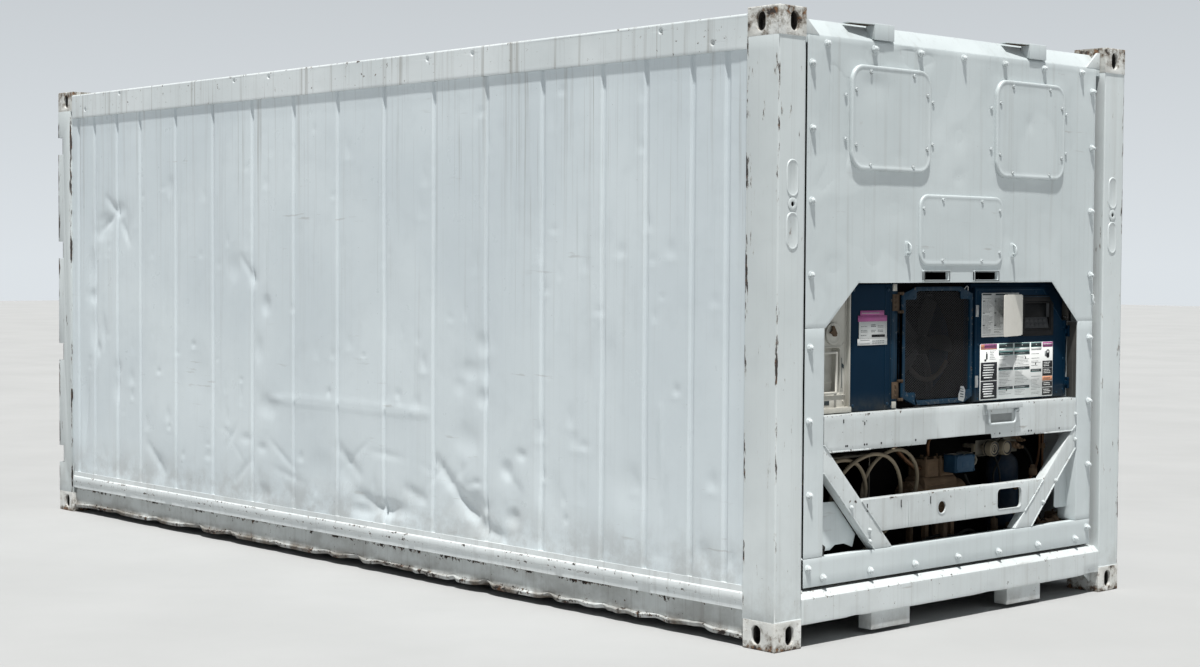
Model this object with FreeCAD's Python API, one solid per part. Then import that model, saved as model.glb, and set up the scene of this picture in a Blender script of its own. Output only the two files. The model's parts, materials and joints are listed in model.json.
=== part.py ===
import FreeCAD, Part
import os
import math
from FreeCAD import Vector as V

# Refrigerated freight container, 20 ft size, with its machinery in the +X end.
# Millimetres. X runs along the length, +X is the machinery end, +Z is up.
# The origin is the middle of the footprint at floor level.

# ---------------------------------------------------------------- driving dimensions
L = 6058.0            # overall length
W = 2438.0            # overall width
H = 2591.0            # overall height
HX, HY = L / 2, W / 2

CAST_X, CAST_Y, CAST_Z = 178.0, 162.0, 118.0   # corner casting
CAST_WALL = 28.5
CAST_PITCH_X, CAST_PITCH_Y = 5853.0, 2259.0    # aperture centre spacing
SLOT_LEN, SLOT_W = 124.0, 63.5                 # top and bottom apertures
SIDE_LEN, SIDE_W = 79.5, 51.0                  # side and end apertures

POST_T = 6.0
POST_IN = HY - CAST_Y                          # inner edge of the front posts, 1057
REAR_POST_IN = 1099.0
REAR_POST_X = -2869.0
FRONT_POST_X = 2851.0

SKIN_Y = 1209.0                                # outer skin of the side walls
LINING_Y = 1145.0                              # inner lining of the side walls
WALL_Z0, WALL_Z1 = 250.0, 2425.0
GROOVE_X0 = -28.0
GROOVES = (0.0, 402.0, 804.0, 1206.0, 1606.0, 2011.0, 2284.0, 2561.0, 2762.0)
GROOVE_W, GROOVE_D = 44.0, 9.0

RAIL_TOP = 2568.0                              # top side rails
ROOF_TOP, ROOF_Z0 = 2564.0, 2485.0
FLOOR_Z0, FLOOR_Z1 = 150.0, 222.0
TBAR_H, TBAR_PITCH = 63.5, 60.0

FACE_X = 3000.0                                # front plane of the machinery frame
FACE_T = 4.0
FACE_HY = 1018.0                               # half width of the machinery frame
FACE_TOP, FACE_BOT = 2487.0, 236.0
OPEN_TOP = 1482.0                              # opening in the frame
OPEN_Y_TOP, OPEN_Y = 688.0, 893.0
OPEN_Z_CH = 1296.0
STRIP_IN = 900.0
SEAM_Z, SEAM_LOW = 1298.0, 355.0
BULK_X0, BULK_X1 = 2560.0, 2630.0              # insulated front wall

UNIT_X = 2940.0                                # front plane of the machinery covers
BEAM_TOP, BEAM_BOT = 935.0, 780.0

FAN_Y, FAN_Z, FAN_R = -82.0, 1203.0, 212.0
GUARD_Y0, GUARD_Y1, GUARD_Z0, GUARD_Z1 = -330.0, 162.0, 947.0, 1463.0
GUARD_AX = (2953.0, -343.0)                    # hinge pin of the fan guard (X, Y)
DOOR_Y0, DOOR_Y1, DOOR_Z0, DOOR_Z1 = 180.0, 884.0, 944.0, 1457.0
DOOR_AX = (2953.0, 891.0)                      # hinge pin of the control box door (X, Y)
LID_AX = (2952.0, 524.0)                       # hinge pin of the display lid (X, Y)
DISC_Y, DISC_Z, DISC_R = -771.0, 1270.0, 47.0
STEP_AX = (3012.0, 902.0)                      # pivot of the folding step (X, Z)
STEP_Y0, STEP_Y1, STEP_DROP, STEP_R = 204.0, 398.0, 56.0, 5.5

CABLE_R = 8.5

os.makedirs("parts", exist_ok=True)


# ---------------------------------------------------------------- helpers
def box(x0, x1, y0, y1, z0, z1):
    return Part.makeBox(x1 - x0, y1 - y0, z1 - z0, V(x0, y0, z0))


def prism(points, vec):
    pts = [V(*p) for p in points]
    return Part.Face(Part.makePolygon(pts + [pts[0]])).extrude(V(*vec))


def yz(poly, x0, x1):
    return prism([(x0, y, z) for y, z in poly], (x1 - x0, 0, 0))


def xz(poly, y0, y1):
    return prism([(x, y0, z) for x, z in poly], (0, y1 - y0, 0))


def xy(poly, z0, z1):
    return prism([(x, y, z0) for x, y in poly], (0, 0, z1 - z0))


def cyl(r, p0, p1):
    a, b = V(*p0), V(*p1)
    return Part.makeCylinder(r, (b - a).Length, a, b - a)


def stadium(cx, cy, length, width):
    """Stadium outline as a face in the XY plane, long side along X."""
    r = width / 2
    s = length / 2 - r
    e = [Part.makeLine(V(cx - s, cy - r, 0), V(cx + s, cy - r, 0)),
         Part.Arc(V(cx + s, cy - r, 0), V(cx + s + r, cy, 0), V(cx + s, cy + r, 0)).toShape(),
         Part.makeLine(V(cx + s, cy + r, 0), V(cx - s, cy + r, 0)),
         Part.Arc(V(cx - s, cy + r, 0), V(cx - s - r, cy, 0), V(cx - s, cy - r, 0)).toShape()]
    return Part.Face(Part.Wire(e))


def stadium_x(y, z, h, w, x0, x1):
    """Stadium prism along X, its long side upright."""
    f = stadium(0, 0, h, w)
    m = FreeCAD.Matrix(0, 0, 1, x0, 0, 1, 0, y, 1, 0, 0, z, 0, 0, 0, 1)
    f = f.transformGeometry(m)
    return f.extrude(V(x1 - x0, 0, 0))


def stadium_y(x, z, h, w, y0, y1):
    """Stadium prism along Y, its long side upright."""
    f = stadium(0, 0, h, w)
    m = FreeCAD.Matrix(0, 1, 0, x, 0, 0, 1, y0, 1, 0, 0, z, 0, 0, 0, 1)
    f = f.transformGeometry(m)
    return f.extrude(V(0, y1 - y0, 0))


def stadium_z(x, y, l, w, z0, z1):
    f = stadium(x, y, l, w)
    f.translate(V(0, 0, z0))
    return f.extrude(V(0, 0, z1 - z0))


def rrect_x(y0, y1, z0, z1, r, x0, x1):
    """Prism along X with rounded corners."""
    b = box(x0, x1, y0, y1, z0, z1)
    es = [e for e in b.Edges if abs(abs(e.tangentAt(e.FirstParameter).x) - 1) < 1e-6]
    return b.makeFillet(r, es)


def fillet_x(shape, r, pick):
    es = [e for e in shape.Edges if len(e.Vertexes) == 2 and
          abs(abs(e.tangentAt(e.FirstParameter).x) - 1) < 1e-6 and pick(e.CenterOfMass)]
    return shape.makeFillet(r, es)


def hollow_yz(poly, x0, x1, t):
    """Folded channel: outline in YZ, open towards -X, wall t."""
    outer = yz(poly, x0, x1)
    pts = [V(x0 - 1, y, z) for y, z in poly]
    face = Part.Face(Part.makePolygon(pts + [pts[0]]))
    inner = face.makeOffset2D(-t)
    return outer.cut(inner.extrude(V(x1 - x0 + 1 - t, 0, 0)))


def hollow_xz(poly, y0, y1, t):
    """Closed box section along Y."""
    outer = xz(poly, y0, y1)
    pts = [V(x, y0 - 1, z) for x, z in poly]
    face = Part.Face(Part.makePolygon(pts + [pts[0]]))
    inner = face.makeOffset2D(-t)
    return outer.cut(inner.extrude(V(0, y1 - y0 + 2, 0)))


def mirror_y(s):
    return s.mirror(V(0, 0, 0), V(0, 1, 0))


def group(solids):
    out = []
    for s in solids:
        out += s.Solids
    return Part.makeCompound(out)


NODES = {}


def add(name, shape):
    NODES[name] = shape


# ---------------------------------------------------------------- corner castings
def casting(sx, sy, bottom):
    x0, x1 = sorted((sx * HX, sx * (HX - CAST_X)))
    y0, y1 = sorted((sy * HY, sy * (HY - CAST_Y)))
    z0, z1 = (0.0, CAST_Z) if bottom else (H - CAST_Z, H)
    body = box(x0, x1, y0, y1, z0, z1)
    es = [e for e in body.Edges if abs(e.CenterOfMass.x - sx * HX) < 1e-6 or abs(e.CenterOfMass.y - sy * HY) < 1e-6]
    keep = [e for e in es if not (abs(e.CenterOfMass.z - (CAST_Z if bottom else H - CAST_Z)) < 1e-6)]
    body = body.makeFillet(5.0, keep)
    cz0, cz1 = (z0 + CAST_WALL, z1 - 14.0) if bottom else (z0 + 14.0, z1 - CAST_WALL)
    body = body.cut(box(x0 + (CAST_WALL if sx < 0 else 12), x1 - (CAST_WALL if sx > 0 else 12),
                        y0 + (CAST_WALL if sy < 0 else 12), y1 - (CAST_WALL if sy > 0 else 12), cz0, cz1))
    cx, cy = sx * CAST_PITCH_X / 2, sy * CAST_PITCH_Y / 2
    if bottom:
        body = body.cut(stadium_z(cx, cy, SLOT_LEN, SLOT_W, z0 - 5, z0 + CAST_WALL + 5))
        zc = 60.0
    else:
        body = body.cut(stadium_z(cx, cy, SLOT_LEN, SLOT_W, z1 - CAST_WALL - 5, z1 + 5))
        zc = H - 60.0
    a, b = sorted((sx * (HX + 5), sx * (HX - CAST_WALL - 5)))
    body = body.cut(stadium_x(cy, zc, SIDE_LEN, SIDE_W, a, b))
    a, b = sorted((sy * (HY + 5), sy * (HY - CAST_WALL - 5)))
    body = body.cut(stadium_y(cx, zc, SIDE_LEN, SIDE_W, a, b))
    return body


add("corner_castings_bottom", group([casting(sx, sy, True) for sx in (1, -1) for sy in (1, -1)]))
add("corner_castings_top", group([casting(sx, sy, False) for sx in (1, -1) for sy in (1, -1)]))


# ---------------------------------------------------------------- posts, rails, headers, sills
def front_post(sy):
    y0, y1 = sorted((sy * HY, sy * POST_IN))
    z0, z1 = CAST_Z, H - CAST_Z
    o = box(FRONT_POST_X, HX, y0, y1, z0, z1)
    o = o.makeFillet(9.0, [e for e in o.Edges if abs(e.CenterOfMass.x - HX) < 1e-6 and
                           abs(e.tangentAt(e.FirstParameter).z) > 0.99])
    o = o.cut(box(FRONT_POST_X + POST_T, HX - POST_T, y0 + POST_T, y1 - POST_T, z0 - 1, z1 + 1))
    yb = sy * 1132.0
    for zc, h in ((1904.5, 151.0), (1692.5, 151.0)):
        pad = stadium_x(yb, zc, h, 70.0, HX - 2, HX - 0.5)
        pad = pad.cut(stadium_x(yb, zc, h - 16, 54.0, HX - 4, HX))
        o = o.fuse(pad)
    boss = cyl(27.0, (HX - POST_T, yb, 1800), (HX - 0.3, yb, 1800))
    o = o.fuse(boss)
    o = o.cut(cyl(10.0, (HX - POST_T - 6, yb, 1800), (HX + 6, yb, 1800)))
    return o.removeSplitter()


add("front_corner_posts", group([front_post(1), front_post(-1)]))

HINGE_Z = (350.0, 987.0, 1618.0, 2261.0)


def rear_post(sy):
    y0, y1 = sorted((sy * HY, sy * REAR_POST_IN))
    z0, z1 = CAST_Z, H - CAST_Z
    o = box(-HX, REAR_POST_X, y0, y1, z0, z1)
    o = o.cut(box(-HX + POST_T, REAR_POST_X - POST_T, y0 + POST_T, y1 - POST_T, z0 - 1, z1 + 1))
    for z in HINGE_Z:
        a, b = sorted((sy * (HY + 1), sy * (HY - 34)))
        o = o.cut(box(-HX - 1, -HX + 62, a, b, z - 52, z + 52))
        a, b = sorted((sy * (HY + 1), sy * (REAR_POST_IN - 1)))
        o = o.cut(box(-HX - 1, -HX + 30, a, b, z - 52, z + 52))
    return o



rail_poly = [(-HY, WALL_Z1), (-HY, RAIL_TOP - 6), (-HY + 6, RAIL_TOP), (-1150.0, RAIL_TOP), (-1150.0, ROOF_Z0),
             (-LINING_Y, ROOF_Z0), (-LINING_Y, WALL_Z1)]


def top_rail(sy):
    s = yz(rail_poly, HX * 0 + (-HX + CAST_X), FRONT_POST_X)
    cut = box(-HX + CAST_X - 5, FRONT_POST_X + 5, -HY + 7, -1157.0, WALL_Z1 + 7, RAIL_TOP - 7)
    s = s.cut(cut)
    return s if sy < 0 else mirror_y(s)


add("top_side_rails", group([top_rail(-1), top_rail(1)]))

low_poly = [(-1213.0, WALL_Z0), (-1213.0, 224.0), (-1219.0, 219.0), (-1219.0, 190.0), (-1214.0, 184.0),
            (-1214.0, 151.0), (-1197.0, 147.0), (-1197.0, 52.0), (-1210.0, 46.0), (-1210.0, 30.0), (-1141.0, 30.0),
            (-1141.0, 38.0), (-1190.0, 38.0), (-1190.0, 150.0), (-1141.0, 150.0), (-1141.0, WALL_Z0)]


def bottom_rail(sy):
    s = yz(low_poly, -HX + CAST_X, FRONT_POST_X)
    return s if sy < 0 else mirror_y(s)


add("bottom_side_rails", group([bottom_rail(-1), bottom_rail(1)]))

head_poly = [(2862.0, 2455.0), (FACE_X - FACE_T, 2455.0), (FACE_X - FACE_T, 2491.0), (2935.0, 2562.0), (2862.0, 2565.0)]
header = hollow_xz(head_poly, -POST_IN, POST_IN, 5.0)
add("front_header", header)

sill_poly = [(2882.0, 92.0), (HX - 4, 92.0), (HX, 96.0), (HX, 196.0), (3000.0, FLOOR_Z1), (2882.0, FLOOR_Z1)]
sill = hollow_xz(sill_poly, -POST_IN, POST_IN, 6.0)
stubs = []
for sy in (1, -1):
    y0, y1 = sorted((sy * 348.0, sy * 602.0))
    o = box(2945.0, 3015.0, y0, y1, 18.0, 92.0)
    o = o.cut(box(2951.0, 3009.0, y0 + 6, y1 - 6, 10.0, 86.0))
    sill = sill.fuse(o)
add("front_sill", sill.removeSplitter())

rear_head = hollow_xz([(-HX, 2450.0), (-HX, 2560.0), (-3010.0, 2578.0), (-2905.0, 2578.0), (-2905.0, 2450.0)],
                      -REAR_POST_IN, REAR_POST_IN, 5.0)
rear_sill = hollow_xz([(-HX, 44.0), (-HX, 178.0), (-3012.0, 186.0), (-2882.0, 186.0), (-2882.0, 44.0)],
                      -REAR_POST_IN, REAR_POST_IN, 6.0)
rear_frame = rear_head
for s_ in (rear_sill, rear_post(1), rear_post(-1)):
    rear_frame = rear_frame.fuse(s_)
for c_ in NODES["corner_castings_bottom"].Solids + NODES["corner_castings_top"].Solids:
    rear_frame = rear_frame.cut(c_)
add("rear_frame", rear_frame.removeSplitter())


# ---------------------------------------------------------------- body panels
def wall(sy):
    y_out, y_in = -SKIN_Y, -LINING_Y
    pts = [(REAR_POST_X, y_out)]
    gx = sorted(set([GROOVE_X0 + s * g for g in GROOVES for s in (1, -1)]))
    for g in gx:
        pts += [(g - GROOVE_W / 2, y_out), (g - GROOVE_W / 2 + 11, y_out + GROOVE_D),
                (g + GROOVE_W / 2 - 11, y_out + GROOVE_D), (g + GROOVE_W / 2, y_out)]
    pts += [(FRONT_POST_X, y_out), (FRONT_POST_X, y_in), (REAR_POST_X, y_in)]
    s = xy(pts, WALL_Z0, WALL_Z1)
    return s if sy < 0 else mirror_y(s)


add("side_wall_left", wall(-1))
add("side_wall_right", wall(1))

roof = box(-HX + CAST_X, FRONT_POST_X, -1150.0, 1150.0, ROOF_Z0, ROOF_TOP)
roof = roof.fuse(box(-2905.0, 2862.0, -1055.0, 1055.0, ROOF_Z0, ROOF_TOP)).removeSplitter()
for k in range(-6, 7):
    x = k * 402.0 - 28.0
    roof = roof.cut(xz([(x - 24, ROOF_TOP + 1), (x - 12, ROOF_TOP - 7), (x + 12, ROOF_TOP - 7), (x + 24, ROOF_TOP + 1)],
                       -1040.0, 1040.0))
add("roof_panel", roof)

add("floor_panel", box(REAR_POST_X, FRONT_POST_X, -1141.0, 1141.0, FLOOR_Z0, FLOOR_Z1).fuse(
    box(-2882.0, 2882.0, -1055.0, 1055.0, FLOOR_Z0, FLOOR_Z1)).removeSplitter())

tb = []
n = int(1130 * 2 / TBAR_PITCH)
y = -n * TBAR_PITCH / 2
z0, z1, z2 = FLOOR_Z1, FLOOR_Z1 + 5.0, FLOOR_Z1 + TBAR_H
pts = [(-1138.0, z0), (-1138.0, z1)]
for i in range(n + 1):
    c = y + i * TBAR_PITCH
    pts += [(c - 3, z1), (c - 3, z2 - 5), (c - 17, z2 - 5), (c - 17, z2), (c + 17, z2), (c + 17, z2 - 5), (c + 3, z2 - 5),
            (c + 3, z1)]
pts += [(1138.0, z1), (1138.0, z0)]
add("t_bar_floor", yz(pts, REAR_POST_X, BULK_X0))

cm = []
for i in range(13):
    x = -2640.0 + i * 440.0
    sec = [(x - 22, 40.0), (x + 22, 40.0), (x + 22, 46.0), (x - 16, 46.0), (x - 16, 144.0), (x + 22, 144.0),
           (x + 22, 150.0), (x - 22, 150.0)]
    cm.append(xz(sec, -1139.0, 1139.0))
add("cross_members", group(cm))

add("front_bulkhead", box(BULK_X0, BULK_X1, -1141.0, 1141.0, FLOOR_Z1, WALL_Z0).fuse(
    box(BULK_X0, BULK_X1, -LINING_Y, LINING_Y, WALL_Z0, ROOF_Z0)).removeSplitter())


# ---------------------------------------------------------------- rear doors, closed and latched
def door_leaf(sy):
    y0, y1 = sorted((sy * 7.0, sy * 1080.0))
    d = box(-3012.0, -2940.0, y0, y1, 196.0, 2440.0)
    for z in (560.0, 1310.0, 2060.0):
        a, b = sorted((sy * 120.0, sy * 980.0))
        d = d.cut(box(-3020.0, -3008.0, a, b, z - 250, z + 250))
    return d


add("rear_door_left", door_leaf(-1))
add("rear_door_right", door_leaf(1))

gk = box(-2985.0, -2950.0, -1098.0, 1098.0, 187.0, 2449.0).cut(box(-2990.0, -2940.0, -1081.0, 1081.0, 195.0, 2441.0))
add("rear_door_gasket", gk)

HINGES = []
for sy in (1, -1):
    for z in HINGE_Z:
        a, b = sorted((sy * 1180.0, sy * 960.0))
        HINGES.append(box(-3021.0, -3012.5, a, b, z - 45, z + 45).fuse(
            cyl(12.0, (-3014.0, sy * 1186.0, z - 48), (-3014.0, sy * 1186.0, z + 48))))
add("door_hinges", group(HINGES))


# ---------------------------------------------------------------- machinery end, frame
up_poly = [(-FACE_HY, SEAM_Z), (-STRIP_IN, SEAM_Z), (-OPEN_Y, OPEN_Z_CH + 2), (-OPEN_Y_TOP, OPEN_TOP), (OPEN_Y_TOP, OPEN_TOP),
           (OPEN_Y, OPEN_Z_CH + 2), (STRIP_IN, SEAM_Z), (FACE_HY, SEAM_Z), (FACE_HY, FACE_TOP), (-FACE_HY, FACE_TOP)]
up_poly = [(-FACE_HY, SEAM_Z), (-OPEN_Y, SEAM_Z), (-OPEN_Y_TOP, OPEN_TOP), (OPEN_Y_TOP, OPEN_TOP),
           (OPEN_Y, SEAM_Z), (FACE_HY, SEAM_Z), (FACE_HY, FACE_TOP), (-FACE_HY, FACE_TOP)]
up = yz(up_poly, FACE_X - FACE_T, FACE_X)
add("upper_face_plate", up)

strips = []
for sy in (1, -1):
    y0, y1 = sorted((sy * STRIP_IN, sy * FACE_HY))
    s = box(FACE_X - FACE_T, FACE_X, y0, y1, SEAM_LOW + 1, SEAM_Z - 1)
    a, b = sorted((sy * STRIP_IN, sy * (STRIP_IN + 4)))
    s = s.fuse(box(2900.0, FACE_X - FACE_T, a, b, SEAM_LOW + 1, SEAM_Z - 1))
    strips.append(s.removeSplitter())
low = box(FACE_X - FACE_T, FACE_X, -FACE_HY, FACE_HY, FACE_BOT, SEAM_LOW - 1)
low = low.fuse(box(2960.0, FACE_X - FACE_T, -FACE_HY, FACE_HY, SEAM_LOW - 5, SEAM_LOW - 1)).removeSplitter()
add("face_strips", group(strips + [low]))

PKT_Y, PKT_HW, PKT_Z0, PKT_Z1 = 178.0, 84.0, 1493.0, 1529.0    # recessed slots above the opening
hs = box(BULK_X1, 2984.0, -1000.0, 1000.0, 1484.0, 2450.0)
for sy in (1, -1):
    hs = hs.cut(box(2850.0, 2990.0, sy * PKT_Y - PKT_HW, sy * PKT_Y + PKT_HW, PKT_Z0, PKT_Z1))
add("evaporator_housing", hs)


def access_panel(sy):
    c = sy * 495.0
    p = rrect_x(c - 262.5, c + 262.5, 1952.0, 2390.0, 75.0, FACE_X, FACE_X + 14.0)
    p = p.makeFillet(5.0, [e for e in p.Edges if abs(e.CenterOfMass.x - (FACE_X + 14.0)) < 0.1])
    return p


bp = rrect_x(-297.0, 297.0, 1556.0, 1863.0, 30.0, FACE_X, FACE_X + 8.0)
add("access_panels", group([access_panel(1), access_panel(-1), bp]))

pk = []
for sy in (1, -1):
    c = sy * 178.0
    o = box(FACE_X, FACE_X + 9.0, c - 92, c + 92, 1486.0, 1536.0)
    o = o.cut(box(FACE_X - 1, FACE_X + 12, c - PKT_HW, c + PKT_HW, PKT_Z0, PKT_Z1))
    pk.append(o)

hk = []
for sy in (1, -1):
    c = sy * 375.0
    o = box(FACE_X, FACE_X + 6, c - 11, c + 11, 1596.0, 1658.0)
    o = o.fuse(box(FACE_X + 6, FACE_X + 26, c - 5, c + 5, 1606.0, 1614.0)).fuse(
        box(FACE_X + 20, FACE_X + 26, c - 5, c + 5, 1614.0, 1634.0))
    hk.append(o.removeSplitter())
up = NODES["upper_face_plate"]
for sy in (1, -1):
    up = up.cut(box(FACE_X - FACE_T - 1, FACE_X + 1, sy * PKT_Y - PKT_HW, sy * PKT_Y + PKT_HW, PKT_Z0, PKT_Z1))
for o in pk + hk:
    up = up.fuse(o)
add("upper_face_plate", up.removeSplitter())

gb = []
for sy in (1, -1):
    c = sy * 545.0
    fr = yz([(c - 62, 2496.0), (c + 62, 2496.0), (c + 62, 2566.0), (c - 62, 2566.0)], FACE_X + 2, FACE_X + 8)
    top = xy([(2944.0, c - 200), (2990.0, c - 200), (FACE_X + 2, c - 62), (FACE_X + 2, c + 62), (2944.0, c + 62)], 2560.0, 2566.0)
    fr = fr.fuse(top)
    for yy in (c - 62, c + 56):
        fr = fr.fuse(prism([(2952.0, yy, 2560.0), (FACE_X + 2, yy, 2560.0), (FACE_X + 2, yy, 2508.0), (2996.0, yy, 2500.0)],
                           (0, 6.0, 0)))
    gb.append(fr.removeSplitter())
add("generator_brackets", group(gb))


# ---------------------------------------------------------------- machinery end, covers
add("side_cover", box(2926.0, UNIT_X, -668.0, -402.0, 938.0, 1476.0))

vp = box(2914.0, 2928.0, -898.0, -672.0, 938.0, 1483.0)
vp = vp.fuse(box(2928.0, 2944.0, -680.0, -672.0, 960.0, 1483.0))
vp = vp.fuse(box(2928.0, 2960.0, -896.0, -682.0, 940.0, 962.0))
vp = vp.cut(rrect_x(-860.0, -722.0, 1016.0, 1210.0, 10.0, 2900.0, 2960.0))
vp = vp.fuse(box(2880.0, 2884.0, -866.0, -716.0, 1010.0, 1216.0))
vp = vp.fuse(box(2884.0, 2914.0, -866.0, -860.0, 1010.0, 1216.0)).fuse(box(2884.0, 2914.0, -722.0, -716.0, 1010.0, 1216.0))
vp = vp.fuse(box(2884.0, 2914.0, -860.0, -722.0, 1010.0, 1016.0)).fuse(box(2884.0, 2914.0, -860.0, -722.0, 1210.0, 1216.0))
vp = vp.fuse(cyl(46.0, (2884.0, -776.0, 1064.0), (2892.0, -776.0, 1064.0)))
vp = vp.cut(cyl(8.0, (2900.0, DISC_Y, DISC_Z), (2960.0, DISC_Y, DISC_Z)))
add("vent_panel", vp.removeSplitter())

disc = cyl(DISC_R, (2930.0, DISC_Y, DISC_Z), (2938.0, DISC_Y, DISC_Z))
disc = disc.fuse(cyl(7.9, (2915.0, DISC_Y, DISC_Z), (2930.0, DISC_Y, DISC_Z)))
disc = disc.fuse(cyl(12.0, (2938.0, DISC_Y, DISC_Z), (2950.0, DISC_Y, DISC_Z)))
disc = disc.fuse(yz([(DISC_Y - 38, DISC_Z + 6), (DISC_Y + 8, DISC_Z - 12), (DISC_Y + 12, DISC_Z + 2), (DISC_Y - 8, DISC_Z + 34),
                     (DISC_Y - 22, DISC_Z + 34), (DISC_Y - 20, DISC_Z + 14)], 2941.0, 2950.0))
add("vent_disc", disc.removeSplitter())

hnd = cyl(5.5, (2952.0, -770.0, 1024.0), (2952.0, -770.0, 1192.0))
for z in (1024.0, 1192.0):
    hnd = hnd.fuse(Part.makeSphere(5.5, V(2952.0, -770.0, z))).fuse(cyl(5.5, (2952.0, -770.0, z), (2952.0, -862.0, z)))
    hnd = hnd.fuse(Part.makeSphere(5.5, V(2952.0, -862.0, z))).fuse(cyl(5.5, (2952.0, -862.0, z), (2928.0, -872.0, z)))
hnd = hnd.cut(NODES["vent_panel"])
add("vent_handle", hnd)


# fan guard: chamfered frame with a wire panel, hinged at its left edge
gp = [(GUARD_Y0, GUARD_Z0 + 36), (GUARD_Y0 + 100, GUARD_Z0), (GUARD_Y1 - 60, GUARD_Z0), (GUARD_Y1, GUARD_Z0 + 26),
      (GUARD_Y1, GUARD_Z1 - 32), (GUARD_Y1 - 86, GUARD_Z1), (GUARD_Y0 + 92, GUARD_Z1), (GUARD_Y0, GUARD_Z1 - 30)]
gin = [(GUARD_Y0 + 20, GUARD_Z0 + 66), (GUARD_Y0 + 112, GUARD_Z0 + 20), (GUARD_Y1 - 82, GUARD_Z0 + 20),
       (GUARD_Y1 - 16, GUARD_Z0 + 56), (GUARD_Y1 - 16, GUARD_Z1 - 60), (GUARD_Y1 - 98, GUARD_Z1 - 18),
       (GUARD_Y0 + 112, GUARD_Z1 - 18), (GUARD_Y0 + 20, GUARD_Z1 - 58)]
fr = yz(gp, 2924.0, 2946.0).cut(yz(gin, 2920.0, 2950.0))
for z in (1018.0, 1396.0):
    fr = fr.fuse(box(2941.0, 2946.0, GUARD_AX[1] + 2.0, GUARD_Y0 + 4, z - 30, z + 30))
    fr = fr.fuse(cyl(7.0, (GUARD_AX[0], GUARD_AX[1], z - 30), (GUARD_AX[0], GUARD_AX[1], z + 30)))
    fr = fr.fuse(box(2943.0, GUARD_AX[0], GUARD_AX[1] - 2.0, GUARD_AX[1] + 6, z - 30, z + 30))
    fr = fr.cut(cyl(3.05, (GUARD_AX[0], GUARD_AX[1], z - 40), (GUARD_AX[0], GUARD_AX[1], z + 40)))
add("guard_frame", fr.removeSplitter())
add("guard_mesh", yz(gin, 2934.0, 2936.0))

hp = []
for z in (1018.0, 1396.0):
    o = box(2941.0, 2946.0, -396.0, -352.0, z - 34, z + 34)
    o = o.fuse(cyl(3.0, (GUARD_AX[0], GUARD_AX[1], z - 46), (GUARD_AX[0], GUARD_AX[1], z + 46)))
    for zz in (z - 46, z + 34):
        o = o.fuse(cyl(7.0, (GUARD_AX[0], GUARD_AX[1], zz), (GUARD_AX[0], GUARD_AX[1], zz + 12)))
        o = o.fuse(box(2941.0, GUARD_AX[0], -360.0, GUARD_AX[1], zz, zz + 12))
    o = o.fuse(box(2941.0, 2946.0, -396.0, -352.0, z - 46, z + 46))
    hp.append(o.removeSplitter())
rail = box(2926.0, 2941.0, -400.0, -352.0, 938.0, 1480.0)
for o in hp:
    rail = rail.fuse(o)
add("guard_hinges", rail.removeSplitter())

# fan, its motor and its ring
shroud = box(2884.0, 2888.0, -348.0, 172.0, 938.0, 1480.0).cut(cyl(222.0, (2870.0, FAN_Y, FAN_Z), (2900.0, FAN_Y, FAN_Z)))
ring = cyl(226.0, (2830.0, FAN_Y, FAN_Z), (2888.0, FAN_Y, FAN_Z)).cut(cyl(222.0, (2820.0, FAN_Y, FAN_Z), (2890.0, FAN_Y, FAN_Z)))

motor = cyl(62.0, (2700.0, FAN_Y, FAN_Z), (2806.0, FAN_Y, FAN_Z))
motor = motor.fuse(cyl(20.0, (2806.0, FAN_Y, FAN_Z), (2820.0, FAN_Y, FAN_Z)))
motor = motor.cut(cyl(9.05, (2770.0, FAN_Y, FAN_Z), (2830.0, FAN_Y, FAN_Z)))
for s_ in (1, -1):
    a, b = sorted((FAN_Y + s_ * 55, FAN_Y + s_ * 240))
    motor = motor.fuse(box(2760.0, 2766.0, a, b, FAN_Z - 18, FAN_Z + 18))
    a, b = sorted((FAN_Y + s_ * 234, FAN_Y + s_ * 240))
    motor = motor.fuse(box(2766.0, 2884.0, a, b, FAN_Z - 18, FAN_Z + 18))
add("fan_shroud", shroud.fuse(ring).fuse(motor).removeSplitter())

fan = cyl(44.0, (2826.0, FAN_Y, FAN_Z), (2872.0, FAN_Y, FAN_Z)).fuse(cyl(9.0, (2772.0, FAN_Y, FAN_Z), (2826.0, FAN_Y, FAN_Z)))
for i in range(5):
    bl = box(2846.0, 2850.0, FAN_Y - 58, FAN_Y + 58, FAN_Z + 34, FAN_Z + FAN_R)
    bl.rotate(V(2848.0, FAN_Y, FAN_Z), V(0, 0, 1), 24.0)
    bl.rotate(V(2848.0, FAN_Y, FAN_Z), V(1, 0, 0), 72.0 * i + 10)
    fan = fan.fuse(bl)
fan = fan.common(cyl(FAN_R, (2700.0, FAN_Y, FAN_Z), (2900.0, FAN_Y, FAN_Z)))
add("condenser_fan", fan.removeSplitter())
add("condenser_coil", box(BULK_X1, 2690.0, -660.0, 172.0, 938.0, 1480.0))

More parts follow.
